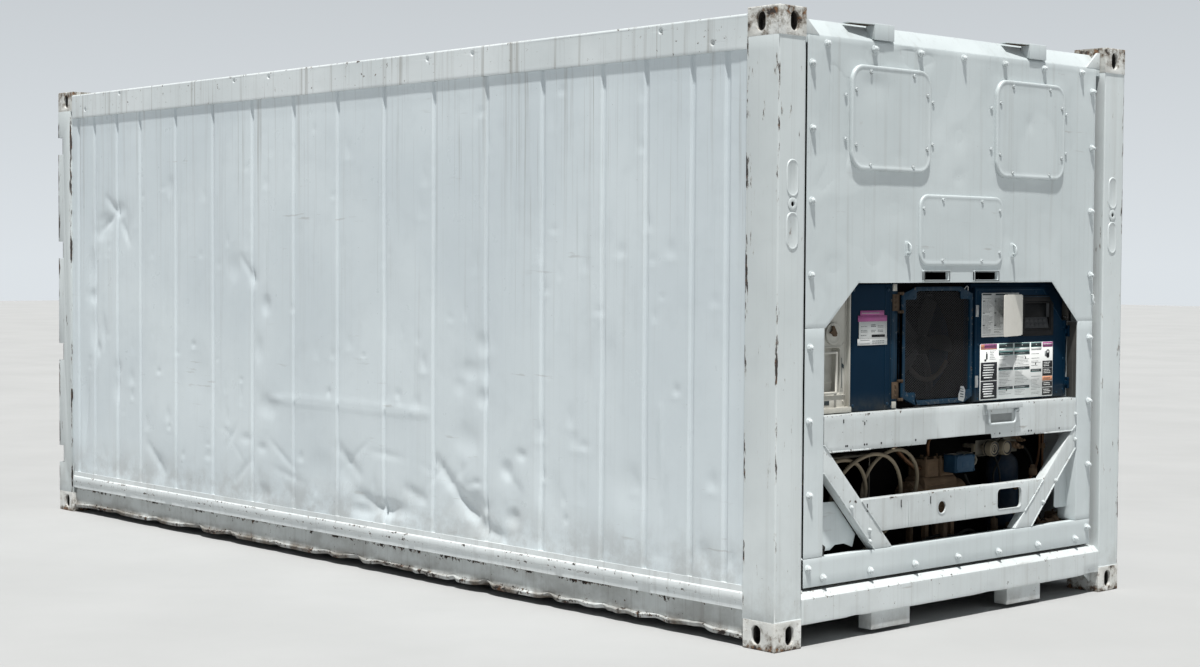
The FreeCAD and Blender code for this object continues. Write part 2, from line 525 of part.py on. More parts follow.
# control box with its door
cb = box(2690.0, 2922.0, 176.0, 880.0, 940.0, 1476.0)
cb = cb.cut(box(2700.0, 2930.0, 196.0, 862.0, 960.0, 1276.0))
cb = cb.cut(xz([(2700, 1270), (2930, 1270), (2930, 1290), (2700, 1290)], 196.0, 838.0))
for z in (1005.0, 1250.0):
    lug = box(2906.0, 2950.0, 886.0, 894.0, z - 26, z - 12).fuse(box(2906.0, 2950.0, 886.0, 894.0, z + 12, z + 26))
    lug = lug.fuse(cyl(3.0, (DOOR_AX[0], DOOR_AX[1], z - 26), (DOOR_AX[0], DOOR_AX[1], z + 26)))
    lug = lug.fuse(cyl(6.0, (DOOR_AX[0], DOOR_AX[1], z - 26), (DOOR_AX[0], DOOR_AX[1], z - 12)))
    lug = lug.fuse(cyl(6.0, (DOOR_AX[0], DOOR_AX[1], z + 12), (DOOR_AX[0], DOOR_AX[1], z + 26)))
    lug = lug.fuse(box(2906.0, 2916.0, 878.0, 894.0, z - 26, z + 26))
    cb = cb.fuse(lug)
add("control_box", cb.removeSplitter())

dp = [(DOOR_Y0, DOOR_Z0), (DOOR_Y1, DOOR_Z0), (DOOR_Y1, 1300.0), (850.0, 1300.0), (698.0, DOOR_Z1), (DOOR_Y0, DOOR_Z1)]
BZ_Y0, BZ_Y1, BZ_Z0, BZ_Z1 = 530.0, 775.0, 1232.0, 1420.0      # display bezel
DP_Y0, DP_Y1, DP_Z0, DP_Z1 = 544.0, 752.0, 1258.0, 1392.0      # display recess
door = yz(dp, 2924.0, 2944.0)
for z in (1005.0, 1250.0):
    door = door.fuse(cyl(6.0, (DOOR_AX[0], DOOR_AX[1], z - 11.5), (DOOR_AX[0], DOOR_AX[1], z + 11.5)))
    door = door.fuse(box(2940.0, 2950.0, 868.0, 886.0, z - 11.5, z + 11.5)).fuse(
        box(2944.0, 2958.0, 880.0, DOOR_AX[1], z - 11.5, z + 11.5))
    door = door.cut(cyl(3.05, (DOOR_AX[0], DOOR_AX[1], z - 30), (DOOR_AX[0], DOOR_AX[1], z + 30)))
door = door.cut(rrect_x(DP_Y0, DP_Y1, DP_Z0, DP_Z1, 10.0, 2930.0, 2960.0))
add("control_door", door.removeSplitter())

bz = yz([(BZ_Y0, BZ_Z0), (BZ_Y1, BZ_Z0), (BZ_Y1, 1380.0), (738.0, BZ_Z1), (BZ_Y0, BZ_Z1)], 2944.2, 2949.0)
bz = bz.cut(rrect_x(DP_Y0, DP_Y1, DP_Z0, DP_Z1, 10.0, 2940.0, 2955.0))
bz = bz.fuse(rrect_x(DP_Y0 + 1, DP_Y1 - 1, DP_Z0 + 1, DP_Z1 - 1, 9.0, 2930.2, 2948.0).cut(
    rrect_x(DP_Y0 + 8, DP_Y1 - 8, DP_Z0 + 8, DP_Z1 - 8, 6.0, 2934.0, 2950.0)))
add("display_bezel", bz.removeSplitter())

la = []
for z in (1035.0, 1353.0):
    la.append(box(2944.2, 2952.0, 184.0, 204.0, z - 27, z + 27))
add("door_latches", group(la))

# display lid, held open beside the display
LID_ANGLE = -163.0
lid = box(2950.4, 2954.0, LID_AX[1] + 5, LID_AX[1] + 250.0, 1236.0, 1426.0)
lid = lid.fuse(cyl(2.6, (LID_AX[0], LID_AX[1], 1240.0), (LID_AX[0], LID_AX[1], 1422.0))).fuse(
    box(2950.4, 2954.0, LID_AX[1], LID_AX[1] + 6, 1240.0, 1422.0))
lid.rotate(V(LID_AX[0], LID_AX[1], 0), V(0, 0, 1), LID_ANGLE)
add("display_lid", lid.removeSplitter())


# ---------------------------------------------------------------- machinery end, lower bay
ub = [(-852.0, BEAM_BOT + 2), (-228.0, 782.0), (-222.0, 802.0), (236.0, 802.0), (242.0, 782.0), (886.0, 782.0), (896.0, 792.0),
      (896.0, BEAM_TOP), (-896.0, BEAM_TOP), (-896.0, 822.0)]
beam = yz(ub, FACE_X - FACE_T, FACE_X)
beam = beam.fuse(box(2900.0, FACE_X - FACE_T, -896.0, 896.0, BEAM_TOP - 4, BEAM_TOP))
add("upper_beam", beam.removeSplitter())

sb = box(FACE_X, FACE_X + 5, 170.0, 434.0, 890.0, 938.0)
sb = sb.fuse(box(FACE_X, FACE_X + 26, 170.0, 434.0, 933.0, 938.0)).fuse(box(FACE_X + 22, FACE_X + 26, 170.0, 434.0, 914.0, 938.0))
for a in (184.0, 412.0):
    sb = sb.fuse(box(FACE_X + 5, FACE_X + 22, a, a + 6, 893.0, 933.0))
sb = sb.cut(cyl(STEP_R + 0.1, (STEP_AX[0], 180.0, STEP_AX[1]), (STEP_AX[0], 424.0, STEP_AX[1])))
add("step_bracket", sb.removeSplitter())

zb = STEP_AX[1] - STEP_DROP
st = cyl(STEP_R, (STEP_AX[0], STEP_Y0, zb), (STEP_AX[0], STEP_Y1, zb))
for yy, s in ((STEP_Y0, -1), (STEP_Y1, 1)):
    st = st.fuse(Part.makeSphere(STEP_R, V(STEP_AX[0], yy, zb)))
    st = st.fuse(cyl(STEP_R, (STEP_AX[0], yy, zb), (STEP_AX[0], yy, STEP_AX[1])))
    st = st.fuse(Part.makeSphere(STEP_R, V(STEP_AX[0], yy, STEP_AX[1])))
    st = st.fuse(cyl(STEP_R, (STEP_AX[0], yy, STEP_AX[1]), (STEP_AX[0], yy + s * 22.0, STEP_AX[1])))
add("folding_step", st.removeSplitter())

lb = hollow_yz([(-750.0, 569.0), (799.0, 569.0), (662.0, 429.0), (-586.0, 429.0)], 2946.0, FACE_X - 2, 4.0)
lb = lb.cut(cyl(26.0, (2990.0, -110.0, 498.0), (3010.0, -110.0, 498.0)))
lb = lb.cut(rrect_x(290.0, 473.0, 453.0, 547.0, 22.0, 2990.0, 3010.0))
BR_L = [(-896.0, 812.0), (-896.0, 700.0), (-574.0, 355.0), (-448.0, 355.0)]
BR_L = [(-896.0, 812.0), (-896.0, 700.0), (-568.0, 356.0), (-448.0, 356.0), (-858.0, 779.0)]
BR_R = [(896.0, 812.0), (862.0, 779.0), (429.0, 360.0), (429.0, 356.0), (552.0, 356.0), (896.0, 700.0)]
brl = hollow_yz(BR_L, 2952.0, FACE_X - 2, 4.0)
brr = hollow_yz(BR_R, 2952.0, FACE_X - 2, 4.0)
brl = brl.cut(NODES["upper_beam"])
brr = brr.cut(NODES["upper_beam"])
lb = lb.cut(yz(BR_L, 2900.0, 3010.0)).cut(yz(BR_R, 2900.0, 3010.0))
lb = max(lb.Solids, key=lambda s: s.Volume)
add("diagonal_braces", group([brl, brr]))
add("lower_beam", lb)

gl = [(-901.0, 572.0), (-765.0, 568.0), (-630.0, 420.0), (-649.0, 366.0), (-662.0, 372.0), (-700.0, 386.0), (-760.0, 386.0),
      (-792.0, 366.0), (-830.0, 366.0), (-860.0, 413.0), (-901.0, 420.0)]
g1 = yz(gl, 2940.0, 2945.0)
g2 = yz([(901.0, 704.0), (884.0, 680.0), (822.0, 560.0), (808.0, 516.0), (806.0, 424.0), (820.0, 416.0), (901.0, 416.0)], 2940.0, 2945.0)
fs = NODES["face_strips"]
parts_ = []
for s_ in fs.Solids:
    if s_.BoundBox.ZMax > 400:
        s_ = s_.fuse(g1 if s_.BoundBox.YMax < 0 else g2).removeSplitter()
    parts_.append(s_)
add("face_strips", group(parts_))

tray = box(BULK_X1, 2958.0, -1040.0, 1040.0, FLOOR_Z1, 228.0)
add("machinery_tray", tray)

# compressor with its terminal box
cp = box(2680.0, 2800.0, 20.0, 250.0, 424.0, 600.0)
cp = cp.makeFillet(28.0, [e for e in cp.Edges if abs(e.tangentAt(e.FirstParameter).y) > 0.99])
cp = cp.fuse(cyl(62.0, (2735.0, -40.0, 520.0), (2735.0, 20.0, 520.0))).fuse(cyl(56.0, (2740.0, 250.0, 520.0), (2740.0, 330.0, 520.0)))
for y in (82.0, 190.0):
    cp = cp.fuse(box(2690.0, 2790.0, y - 46, y + 46, 600.0, 680.0))
for x in (2684.0, 2772.0):
    for y in (30.0, 216.0):
        cp = cp.fuse(box(x, x + 24, y, y + 24, 228.0, 424.0))
tbx = box(2802.0, 2872.0, 146.0, 286.0, 618.0, 700.0)
cp = cp.fuse(box(2790.0, 2802.0, 160.0, 270.0, 630.0, 670.0))
add("compressor", cp.removeSplitter())
add("terminal_box", tbx)

rc = cyl(76.0, (2745.0, 668.0, 330.0), (2745.0, 668.0, 610.0)).fuse(Part.makeSphere(76.0, V(2745.0, 668.0, 600.0)))
for a in (0, 120, 240):
    rc = rc.fuse(box(2745.0 + 60 * math.cos(math.radians(a)) - 8, 2745.0 + 60 * math.cos(math.radians(a)) + 8,
                     668.0 + 60 * math.sin(math.radians(a)) - 8, 668.0 + 60 * math.sin(math.radians(a)) + 8, 228.0, 360.0))
add("liquid_receiver", rc.removeSplitter())

gg = []
for yy in (469.0, 566.0):
    gg.append(cyl(36.0, (2800.0, yy, 709.0), (2850.0, yy, 709.0)).fuse(cyl(12.0, (2770.0, yy, 709.0), (2800.0, yy, 709.0))))
gg.append(box(2750.0, 2770.0, 420.0, 615.0, 690.0, 728.0))
add("pressure_caps", gg[0].fuse(gg[1]).fuse(gg[2]).fuse(box(BULK_X1, 2750.0, 500.0, 530.0, 700.0, 718.0)).removeSplitter())

# power inlet box with its gland, and the stowed power cable
pb = box(BULK_X1, 2742.0, -640.0, -292.0, 470.0, 726.0)
pb = pb.fuse(cyl(17.0, (2688.0, -640.0, 540.0), (2688.0, -660.0, 540.0)))
pb = pb.fuse(Part.makeCone(13.0, CABLE_R + 1.5, 26.0, V(2688.0, -660.0, 540.0), V(0, -1, 0)))
add("power_box", pb.removeSplitter())
ROUTE = [(2688, -686, 540), (2688, -766, 540), (2695, -842, 543), (2722, -910, 553), (2776, -953, 574), (2838, -942, 608),
         (2872, -884, 648), (2879, -800, 690),
         (2872, -700, 722), (2872, -600, 730), (2868, -508, 694), (2864, -462, 606), (2860, -478, 508), (2856, -556, 436),
         (2852, -656, 446), (2862, -712, 530),
         (2876, -686, 630), (2886, -590, 714), (2892, -456, 752), (2892, -326, 722), (2888, -256, 620), (2882, -262, 500),
         (2872, -350, 418), (2858, -462, 460), (2848, -486, 580), (2846, -424, 684), (2850, -314, 748), (2856, -190, 748),
         (2862, -112, 668), (2864, -122, 560), (2860, -200, 470), (2850, -310, 400), (2858, -425, 352), (2882, -525, 318),
         (2902, -610, 289)]


def tube(points, r, label):
    P = [V(*p) for p in points]
    turns = []
    edges = []
    last = P[0]
    length = 0.0
    radii = []
    for i in range(1, len(P) - 1):
        a, b, c = P[i - 1], P[i], P[i + 1]
        u = (a - b).normalize()
        v = (c - b).normalize()
        la_, lb_ = (a - b).Length, (c - b).Length
        turn = math.pi - u.getAngle(v)
        t = 0.45 * min(la_, lb_)
        rad = t / math.tan(turn / 2)
        radii.append(rad)
        s, e = b + u * t, b + v * t
        bis = (u + v).normalize()
        centre = b + bis * (rad / math.cos(turn / 2))
        mid = centre - bis * rad
        edges.append(Part.LineSegment(last, s).toShape())
        edges.append(Part.Arc(s, mid, e).toShape())
        length += (s - last).Length + rad * turn
        last = e
        turns.append(math.degrees(turn))
    edges.append(Part.LineSegment(last, P[-1]).toShape())
    length += (P[-1] - last).Length
    w = Part.Wire(edges)
    d = (P[1] - P[0]).normalize()
    prof = Part.Wire([Part.Circle(P[0], d, r).toShape()])
    s = w.makePipeShell([prof], True, False, 2)
    print(label, "length %.0f" % length, "min radius %.0f" % min(radii), "max turn %.0f" % max(turns),
          "volume ratio %.4f" % (s.Volume / (math.pi * r * r * length)), "valid", s.isValid())
    print(label, "radii", [int(q) for q in radii])
    return s


ct = tube(ROUTE, CABLE_R, "cable")

HX0, HX1, HY0, HY1 = 2668.0, 2938.0, -850.0, -300.0
HR = (HX1 - HX0) / 2


def stad_xy(x0, x1, y0, y1):
    r = (x1 - x0) / 2
    c = (x0 + x1) / 2
    e = [Part.makeLine(V(x0, y0 + r, 0), V(x0, y1 - r, 0)),
         Part.Arc(V(x0, y1 - r, 0), V(c, y1, 0), V(x1, y1 - r, 0)).toShape(),
         Part.makeLine(V(x1, y1 - r, 0), V(x1, y0 + r, 0)),
         Part.Arc(V(x1, y0 + r, 0), V(c, y0, 0), V(x0, y0 + r, 0)).toShape()]
    return Part.Face(Part.Wire(e))


of_ = stad_xy(HX0, HX1, HY0, HY1).extrude(V(0, 0, 68.0))
inn = stad_xy(HX0 + 72, HX1 - 72, HY0 + 72, HY1 - 72).extrude(V(0, 0, 68.0))
hank = of_.cut(inn)
hank.translate(V(0, 0, 228.0))
add("cable_coil", hank)
add("cable_tube", ct.cut(hank))
TAIL_X, TAIL_Z, PLUG_Y = HX1 - CABLE_R, 262.0, -798.0
tail = cyl(CABLE_R, (TAIL_X, -700.0, TAIL_Z), (TAIL_X, PLUG_Y, TAIL_Z)).cut(hank)
add("cable_tail", tail)
pg = cyl(16.0, (TAIL_X, PLUG_Y, TAIL_Z), (TAIL_X, -820.0, TAIL_Z)).fuse(cyl(33.0, (TAIL_X, -820.0, TAIL_Z), (TAIL_X, -940.0, TAIL_Z)))
add("cable_plug", pg.removeSplitter())

# ---------------------------------------------------------------- lock rods with their cams and handles
add_rods = []
for sy in (1, -1):
    for yy in (250.0, 820.0):
        c = sy * yy
        x = -3012.0 - 1.0
        # the rods lie in the doors' pressed recess line, inside the container's length
        o = box(-3028.5, -3012.2, c - 16, c + 16, 200.0, 2436.0)
        o = o.makeFillet(7.5, [e for e in o.Edges if abs(e.tangentAt(e.FirstParameter).z) > 0.99])
        add_rods.append(o)
add("lock_rods", group(add_rods))

# ---------------------------------------------------------------- export
for name, shape in NODES.items():
    if not shape.isValid():
        print("INVALID", name)
    n = len(shape.Solids)
    bb = shape.BoundBox
    if bb.XMin < -HX - 1e-3 or bb.XMax > HX + 60 or bb.YMin < -HY - 1e-3 or bb.YMax > HY + 1e-3:
        print("OUT", name, bb)
    shape.exportStep("parts/%s.step" % name)
print(len(NODES), "nodes")
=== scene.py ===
import bpy, bmesh, math, json, random
import numpy as np
from mathutils import Vector, Matrix, noise

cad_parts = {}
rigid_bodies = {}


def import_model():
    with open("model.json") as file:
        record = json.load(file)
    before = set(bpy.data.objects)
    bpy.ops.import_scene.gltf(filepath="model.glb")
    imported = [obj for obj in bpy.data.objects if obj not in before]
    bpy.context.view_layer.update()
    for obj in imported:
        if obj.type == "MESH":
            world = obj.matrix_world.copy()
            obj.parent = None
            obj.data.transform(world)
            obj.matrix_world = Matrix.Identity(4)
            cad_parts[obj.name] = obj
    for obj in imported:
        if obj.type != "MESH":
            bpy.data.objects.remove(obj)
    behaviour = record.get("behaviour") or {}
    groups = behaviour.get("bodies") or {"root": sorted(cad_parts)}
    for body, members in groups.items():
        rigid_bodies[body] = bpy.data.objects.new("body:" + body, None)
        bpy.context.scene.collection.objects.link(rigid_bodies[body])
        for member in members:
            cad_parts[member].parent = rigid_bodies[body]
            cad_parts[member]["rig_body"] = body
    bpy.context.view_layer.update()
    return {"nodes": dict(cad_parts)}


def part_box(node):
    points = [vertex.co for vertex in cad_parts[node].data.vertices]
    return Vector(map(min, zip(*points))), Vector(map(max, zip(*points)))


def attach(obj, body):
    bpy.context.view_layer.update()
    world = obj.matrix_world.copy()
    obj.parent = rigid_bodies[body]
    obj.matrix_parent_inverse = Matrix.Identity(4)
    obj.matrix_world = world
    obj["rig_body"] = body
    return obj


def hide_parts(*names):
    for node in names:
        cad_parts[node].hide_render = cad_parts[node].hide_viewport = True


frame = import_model()
N = frame["nodes"]
ROOT = "container"
random.seed(7)
rng = np.random.default_rng(7)

# dimensions shared with the construction, in metres
HX, HY, H = 3.029, 1.219, 2.591
FACE = 3.000
SKIN_Y = 1.209


# ================================================================ materials
class Mat:
    def __init__(self, name):
        self.m = bpy.data.materials.new(name)
        self.m.use_nodes = True
        self.t = self.m.node_tree
        self.t.nodes.clear()
        self.out = self.n("ShaderNodeOutputMaterial")
        self.b = self.n("ShaderNodeBsdfPrincipled")
        self.l(self.b.outputs[0], self.out.inputs[0])
        self.tc = self.n("ShaderNodeTexCoord")
        self.P = self.tc.outputs["Object"]
        self._sep = None
        self.height = []

    def n(self, kind, **kw):
        x = self.t.nodes.new(kind)
        for k, v in kw.items():
            setattr(x, k, v)
        return x

    def l(self, a, b):
        self.t.links.new(a, b)

    def put(self, sock, v):
        if hasattr(v, "is_output") or isinstance(v, bpy.types.NodeSocket):
            self.l(v, sock)
        else:
            sock.default_value = v

    def math(self, op, a, b=0.0, c=None, clamp=False):
        x = self.n("ShaderNodeMath", operation=op, use_clamp=clamp)
        self.put(x.inputs[0], a)
        self.put(x.inputs[1], b)
        if c is not None:
            self.put(x.inputs[2], c)
        return x.outputs[0]

    def xyz(self):
        if self._sep is None:
            self._sep = self.n("ShaderNodeSeparateXYZ")
            self.l(self.P, self._sep.inputs[0])
        return self._sep.outputs

    def scaled(self, s, loc=(0, 0, 0)):
        x = self.n("ShaderNodeMapping")
        self.l(self.P, x.inputs[0])
        x.inputs["Scale"].default_value = s
        x.inputs["Location"].default_value = loc
        return x.outputs[0]

    def noise(self, scale, detail=4.0, rough=0.55, vec=None, dist=0.0):
        x = self.n("ShaderNodeTexNoise")
        self.l(self.P if vec is None else vec, x.inputs["Vector"])
        x.inputs["Scale"].default_value = scale
        x.inputs["Detail"].default_value = detail
        x.inputs["Roughness"].default_value = rough
        x.inputs["Distortion"].default_value = dist
        return x.outputs[0]

    def voro(self, scale, vec=None, feature="F1", rand=1.0):
        x = self.n("ShaderNodeTexVoronoi", feature=feature)
        self.l(self.P if vec is None else vec, x.inputs["Vector"])
        x.inputs["Scale"].default_value = scale
        x.inputs["Randomness"].default_value = rand
        return x

    def ramp(self, fac, lo, hi, a=0.0, b=1.0, smooth=True):
        x = self.n("ShaderNodeMapRange", interpolation_type="SMOOTHSTEP" if smooth else "LINEAR")
        self.put(x.inputs[0], fac)
        x.inputs[1].default_value = lo
        x.inputs[2].default_value = hi
        x.inputs[3].default_value = a
        x.inputs[4].default_value = b
        return x.outputs[0]

    def mix(self, fac, a, b, blend="MIX"):
        x = self.n("ShaderNodeMix", data_type="RGBA", blend_type=blend)
        self.put(x.inputs[0], fac)
        for i, v in ((6, a), (7, b)):
            if isinstance(v, (tuple, list)):
                x.inputs[i].default_value = (*v[:3], 1.0)
            else:
                self.l(v, x.inputs[i])
        return x.outputs[2]

    def mul(self, *fs):
        r = fs[0]
        for f in fs[1:]:
            r = self.math("MULTIPLY", r, f)
        return r

    def maxi(self, *fs):
        r = fs[0]
        for f in fs[1:]:
            r = self.math("MAXIMUM", r, f)
        return r

    def edge(self, items, w):
        """1 on the listed edges, falling to 0 at distance w. An item is (axis, value, axis, value), y taken as |y|."""
        o = self.xyz()
        ay = self.math("ABSOLUTE", o[1])
        co = {"x": o[0], "y": ay, "z": o[2]}
        res = None
        for a, va, b, vb in items:
            da = self.math("ABSOLUTE", self.math("SUBTRACT", co[a], va))
            db = self.math("ABSOLUTE", self.math("SUBTRACT", co[b], vb))
            d = self.math("MAXIMUM", da, db)
            f = self.ramp(d, 0.0, w, 1.0, 0.0)
            res = f if res is None else self.math("MAXIMUM", res, f)
        return res

    def bump(self, height, strength=0.2, dist=0.01, normal=None):
        x = self.n("ShaderNodeBump")
        x.inputs["Strength"].default_value = strength
        x.inputs["Distance"].default_value = dist
        self.put(x.inputs["Height"], height)
        if normal is not None:
            self.l(normal, x.inputs["Normal"])
        return x.outputs[0]

    def set(self, name, v):
        s = self.b.inputs[name]
        if isinstance(v, (tuple, list)):
            s.default_value = (*v[:3], 1.0)
        else:
            self.put(s, v)


RUST = (0.115, 0.052, 0.024)
RUST2 = (0.24, 0.115, 0.05)
GRIME = (0.17, 0.145, 0.115)
CHIP = (0.035, 0.03, 0.028)


def painted(name, c1, c2, rough=0.40, streak=0.0, streak_top=None, specks=0.35, rust=0.25, low_grime=None, chips=None,
            chip_amt=0.5, chip_w=0.02, orange=0.10, scuffs=0.0, patch=0.0, metal=0.0, coat=0.0, grime_col=GRIME, scale=1.0,
            lines=None, all_grime=0.0, spec=None, stretch=1.0):
    m = Mat(name)
    if spec is not None:
        m.set("Specular IOR Level", spec)
    o = m.xyz()
    big = m.ramp(m.noise(0.9 * scale, 4), 0.32, 0.68)
    col = m.mix(big, c1, c2)
    med = m.noise(7.0 * scale, 5, 0.6)
    col = m.mix(m.ramp(med, 0.45, 0.8, 0.0, 0.22), col, tuple(x * 0.80 for x in c1))
    masks = []
    if streak:
        v = m.scaled((26.0, 26.0, 0.55))
        s1 = m.ramp(m.noise(1.0, 5, 0.62, v), 0.52, 0.74)
        v2 = m.scaled((90.0, 90.0, 0.9), (3, 1, 5))
        s2 = m.ramp(m.noise(1.0, 3, 0.5, v2), 0.60, 0.78)
        st = m.maxi(m.mul(s1, 0.65), m.mul(s2, 0.8))
        if streak_top is not None:
            z1, z0 = streak_top
            fade = m.ramp(o[2], z0, z1, 0.16, 1.0)
            wob = m.ramp(m.noise(1.6, 2, 0.5, m.scaled((1.0, 1.0, 0.25))), 0.38, 0.62, 0.45, 1.0)
            st = m.mul(st, fade, wob)
        col = m.mix(m.mul(st, streak), col, (0.24, 0.23, 0.205))
    if all_grime:
        g = m.ramp(m.noise(3.2, 8, 0.68), 0.40, 0.66)
        col = m.mix(m.mul(g, all_grime), col, grime_col)
    if low_grime is not None:
        z0, z1, amt = low_grime
        g = m.mul(m.ramp(o[2], z0, z1, 1.0, 0.0), m.ramp(m.noise(5.5, 8, 0.7), 0.36, 0.62), amt)
        col = m.mix(g, col, grime_col)
    if scuffs:
        v = m.scaled((3.0, 3.0, 26.0), (1, 7, 2))
        s = m.mul(m.ramp(m.noise(1.0, 6, 0.6, v), 0.64, 0.70), m.ramp(m.noise(1.1, 2), 0.52, 0.62))
        col = m.mix(m.mul(s, scuffs), col, (0.30, 0.29, 0.27))
    rough_s = m.math("ADD", m.mul(med, 0.16), rough - 0.08)
    hgt = m.mul(m.noise(120.0, 2), 0.35)
    if rust:
        r = m.ramp(m.noise(15.0, 7, 0.7), 0.685, 0.715)
        r2 = m.ramp(m.noise(1.7, 2), 0.50, 0.62)
        rr = m.mul(r, r2, min(1.0, rust * 2.0))
        col = m.mix(rr, col, RUST2)
        rough_s = m.math("ADD", rough_s, m.mul(rr, 0.4))
    if specks:
        vo = m.voro(30.0)
        d = m.ramp(vo.outputs["Distance"], 0.035, 0.075, 1.0, 0.0)
        pick = m.ramp(m.noise(30.0, 1), 0.60, 0.64)
        sp = m.mul(d, pick, specks)
        col = m.mix(sp, col, (0.10, 0.085, 0.07))
    if chips:
        e = m.edge(chips, chip_w)
        cn = m.noise(38.0, 7, 0.72) if stretch == 1.0 else m.noise(1.0, 7, 0.72, m.scaled((38.0, 38.0, 38.0 / stretch)))
        cl = m.ramp(m.noise(4.2, 4, 0.6), 0.40, 0.60)
        th = m.math("ADD", cn, m.mul(e, m.math("ADD", m.mul(cl, 0.02 + 0.17 * chip_amt), chip_amt * 0.10)))
        ch = m.ramp(th, 0.655, 0.675)
        ring = m.ramp(th, 0.625, 0.655)
        col = m.mix(m.mul(ring, 0.45), col, (0.36, 0.33, 0.29))
        cc = m.mix(m.ramp(m.noise(60.0, 3), 0.52, 0.68), CHIP, RUST)
        col = m.mix(ch, col, cc)
        rough_s = m.math("ADD", rough_s, m.mul(ch, 0.4))
        hgt = m.math("SUBTRACT", hgt, m.mul(ch, 1.6))
    if patch:
        pp = m.ramp(m.noise(2.4, 1, 0.4), 0.56, 0.60)
        col = m.mix(m.mul(pp, patch), col, tuple(min(1, x * 1.10) for x in c2))
    m.set("Base Color", col)
    m.set("Roughness", rough_s)
    m.set("Metallic", metal)
    if coat:
        m.set("Coat Weight", coat)
        m.set("Coat Roughness", 0.2)
    nb = m.bump(hgt, orange, 0.004)
    m.l(nb, m.b.inputs["Normal"])
    return m.m


WHITE1, WHITE2 = (0.52, 0.565, 0.575), (0.60, 0.645, 0.655)
M = {}
M["white"] = painted("white_paint", WHITE1, WHITE2, 0.36, streak=0.28, specks=0.3, rust=0.05, scuffs=0.3)
M["wall"] = painted("wall_paint", (0.555, 0.615, 0.645), (0.625, 0.685, 0.71), 0.30, streak=0.85, streak_top=(2.46, 0.9), specks=0.5, rust=0.03,
                    low_grime=(0.24, 0.52, 0.35), scuffs=0.35, orange=0.07)
M["rail"] = painted("rail_paint", (0.57, 0.615, 0.625), (0.66, 0.70, 0.71), 0.42, streak=0.95, specks=0.5, rust=0.25, scuffs=0.2,
                    chips=[("y", 1.219, "z", 2.565), ("y", 1.219, "z", 2.572)], chip_amt=0.15, chip_w=0.016)
M["lowrail"] = painted("low_rail_paint", (0.47, 0.495, 0.49), (0.56, 0.59, 0.585), 0.55, streak=0.5, specks=0.6, rust=0.6,
                       low_grime=(0.035, 0.105, 1.0), chips=[("y", 1.21, "z", 0.030), ("y", 1.21, "z", 0.044), ("y", 1.197, "z", 0.147)],
                       chip_amt=0.65, chip_w=0.030, all_grime=0.34, grime_col=(0.085, 0.066, 0.048), spec=0.18)
M["trim"] = painted("trim_paint", (0.60, 0.64, 0.65), (0.69, 0.73, 0.735), 0.4, streak=0.35, specks=0.7, rust=0.2,
                    chips=[("y", 1.219, "z", 0.218), ("y", 1.219, "z", 0.190)], chip_amt=0.34, chip_w=0.012, all_grime=0.10)
M["roof"] = painted("roof_paint", (0.30, 0.305, 0.295), (0.40, 0.405, 0.395), 0.65, specks=1.0, rust=0.5, scuffs=0.6, patch=0.2, all_grime=0.22,
                    grime_col=(0.22, 0.205, 0.18), scale=2.5, spec=0.15)
M["post"] = painted("post_paint", (0.54, 0.585, 0.59), (0.62, 0.665, 0.67), 0.38, streak=0.25, specks=0.8, rust=0.15,
                    chips=[("x", 3.029, "y", 1.219), ("x", 2.851, "y", 1.219), ("x", -3.029, "y", 1.219), ("x", -2.869, "y", 1.219)],
                    chip_amt=0.62, chip_w=0.022, low_grime=(0.1, 0.5, 0.25), stretch=6.0)
M["face"] = painted("face_paint", (0.50, 0.55, 0.56), (0.575, 0.625, 0.635), 0.38, streak=0.30, specks=0.5, rust=0.05, scuffs=0.45, patch=0.25)
M["beam"] = painted("beam_paint", (0.49, 0.53, 0.535), (0.58, 0.62, 0.625), 0.42, streak=0.5, specks=0.9, rust=0.25, scuffs=0.8, patch=0.5,
                    all_grime=0.12, chips=[("x", 3.000, "z", 0.782), ("x", 2.998, "z", 0.569), ("x", 3.0, "z", 0.935)], chip_amt=0.30, chip_w=0.016)
M["sill"] = painted("sill_paint", (0.53, 0.57, 0.575), (0.61, 0.65, 0.655), 0.38, streak=0.35, specks=0.7, rust=0.25, scuffs=0.5,
                    low_grime=(0.02, 0.12, 0.5), chips=[("x", 3.029, "z", 0.196), ("x", 3.0, "z", 0.222)], chip_amt=0.18, chip_w=0.016, all_grime=0.1)


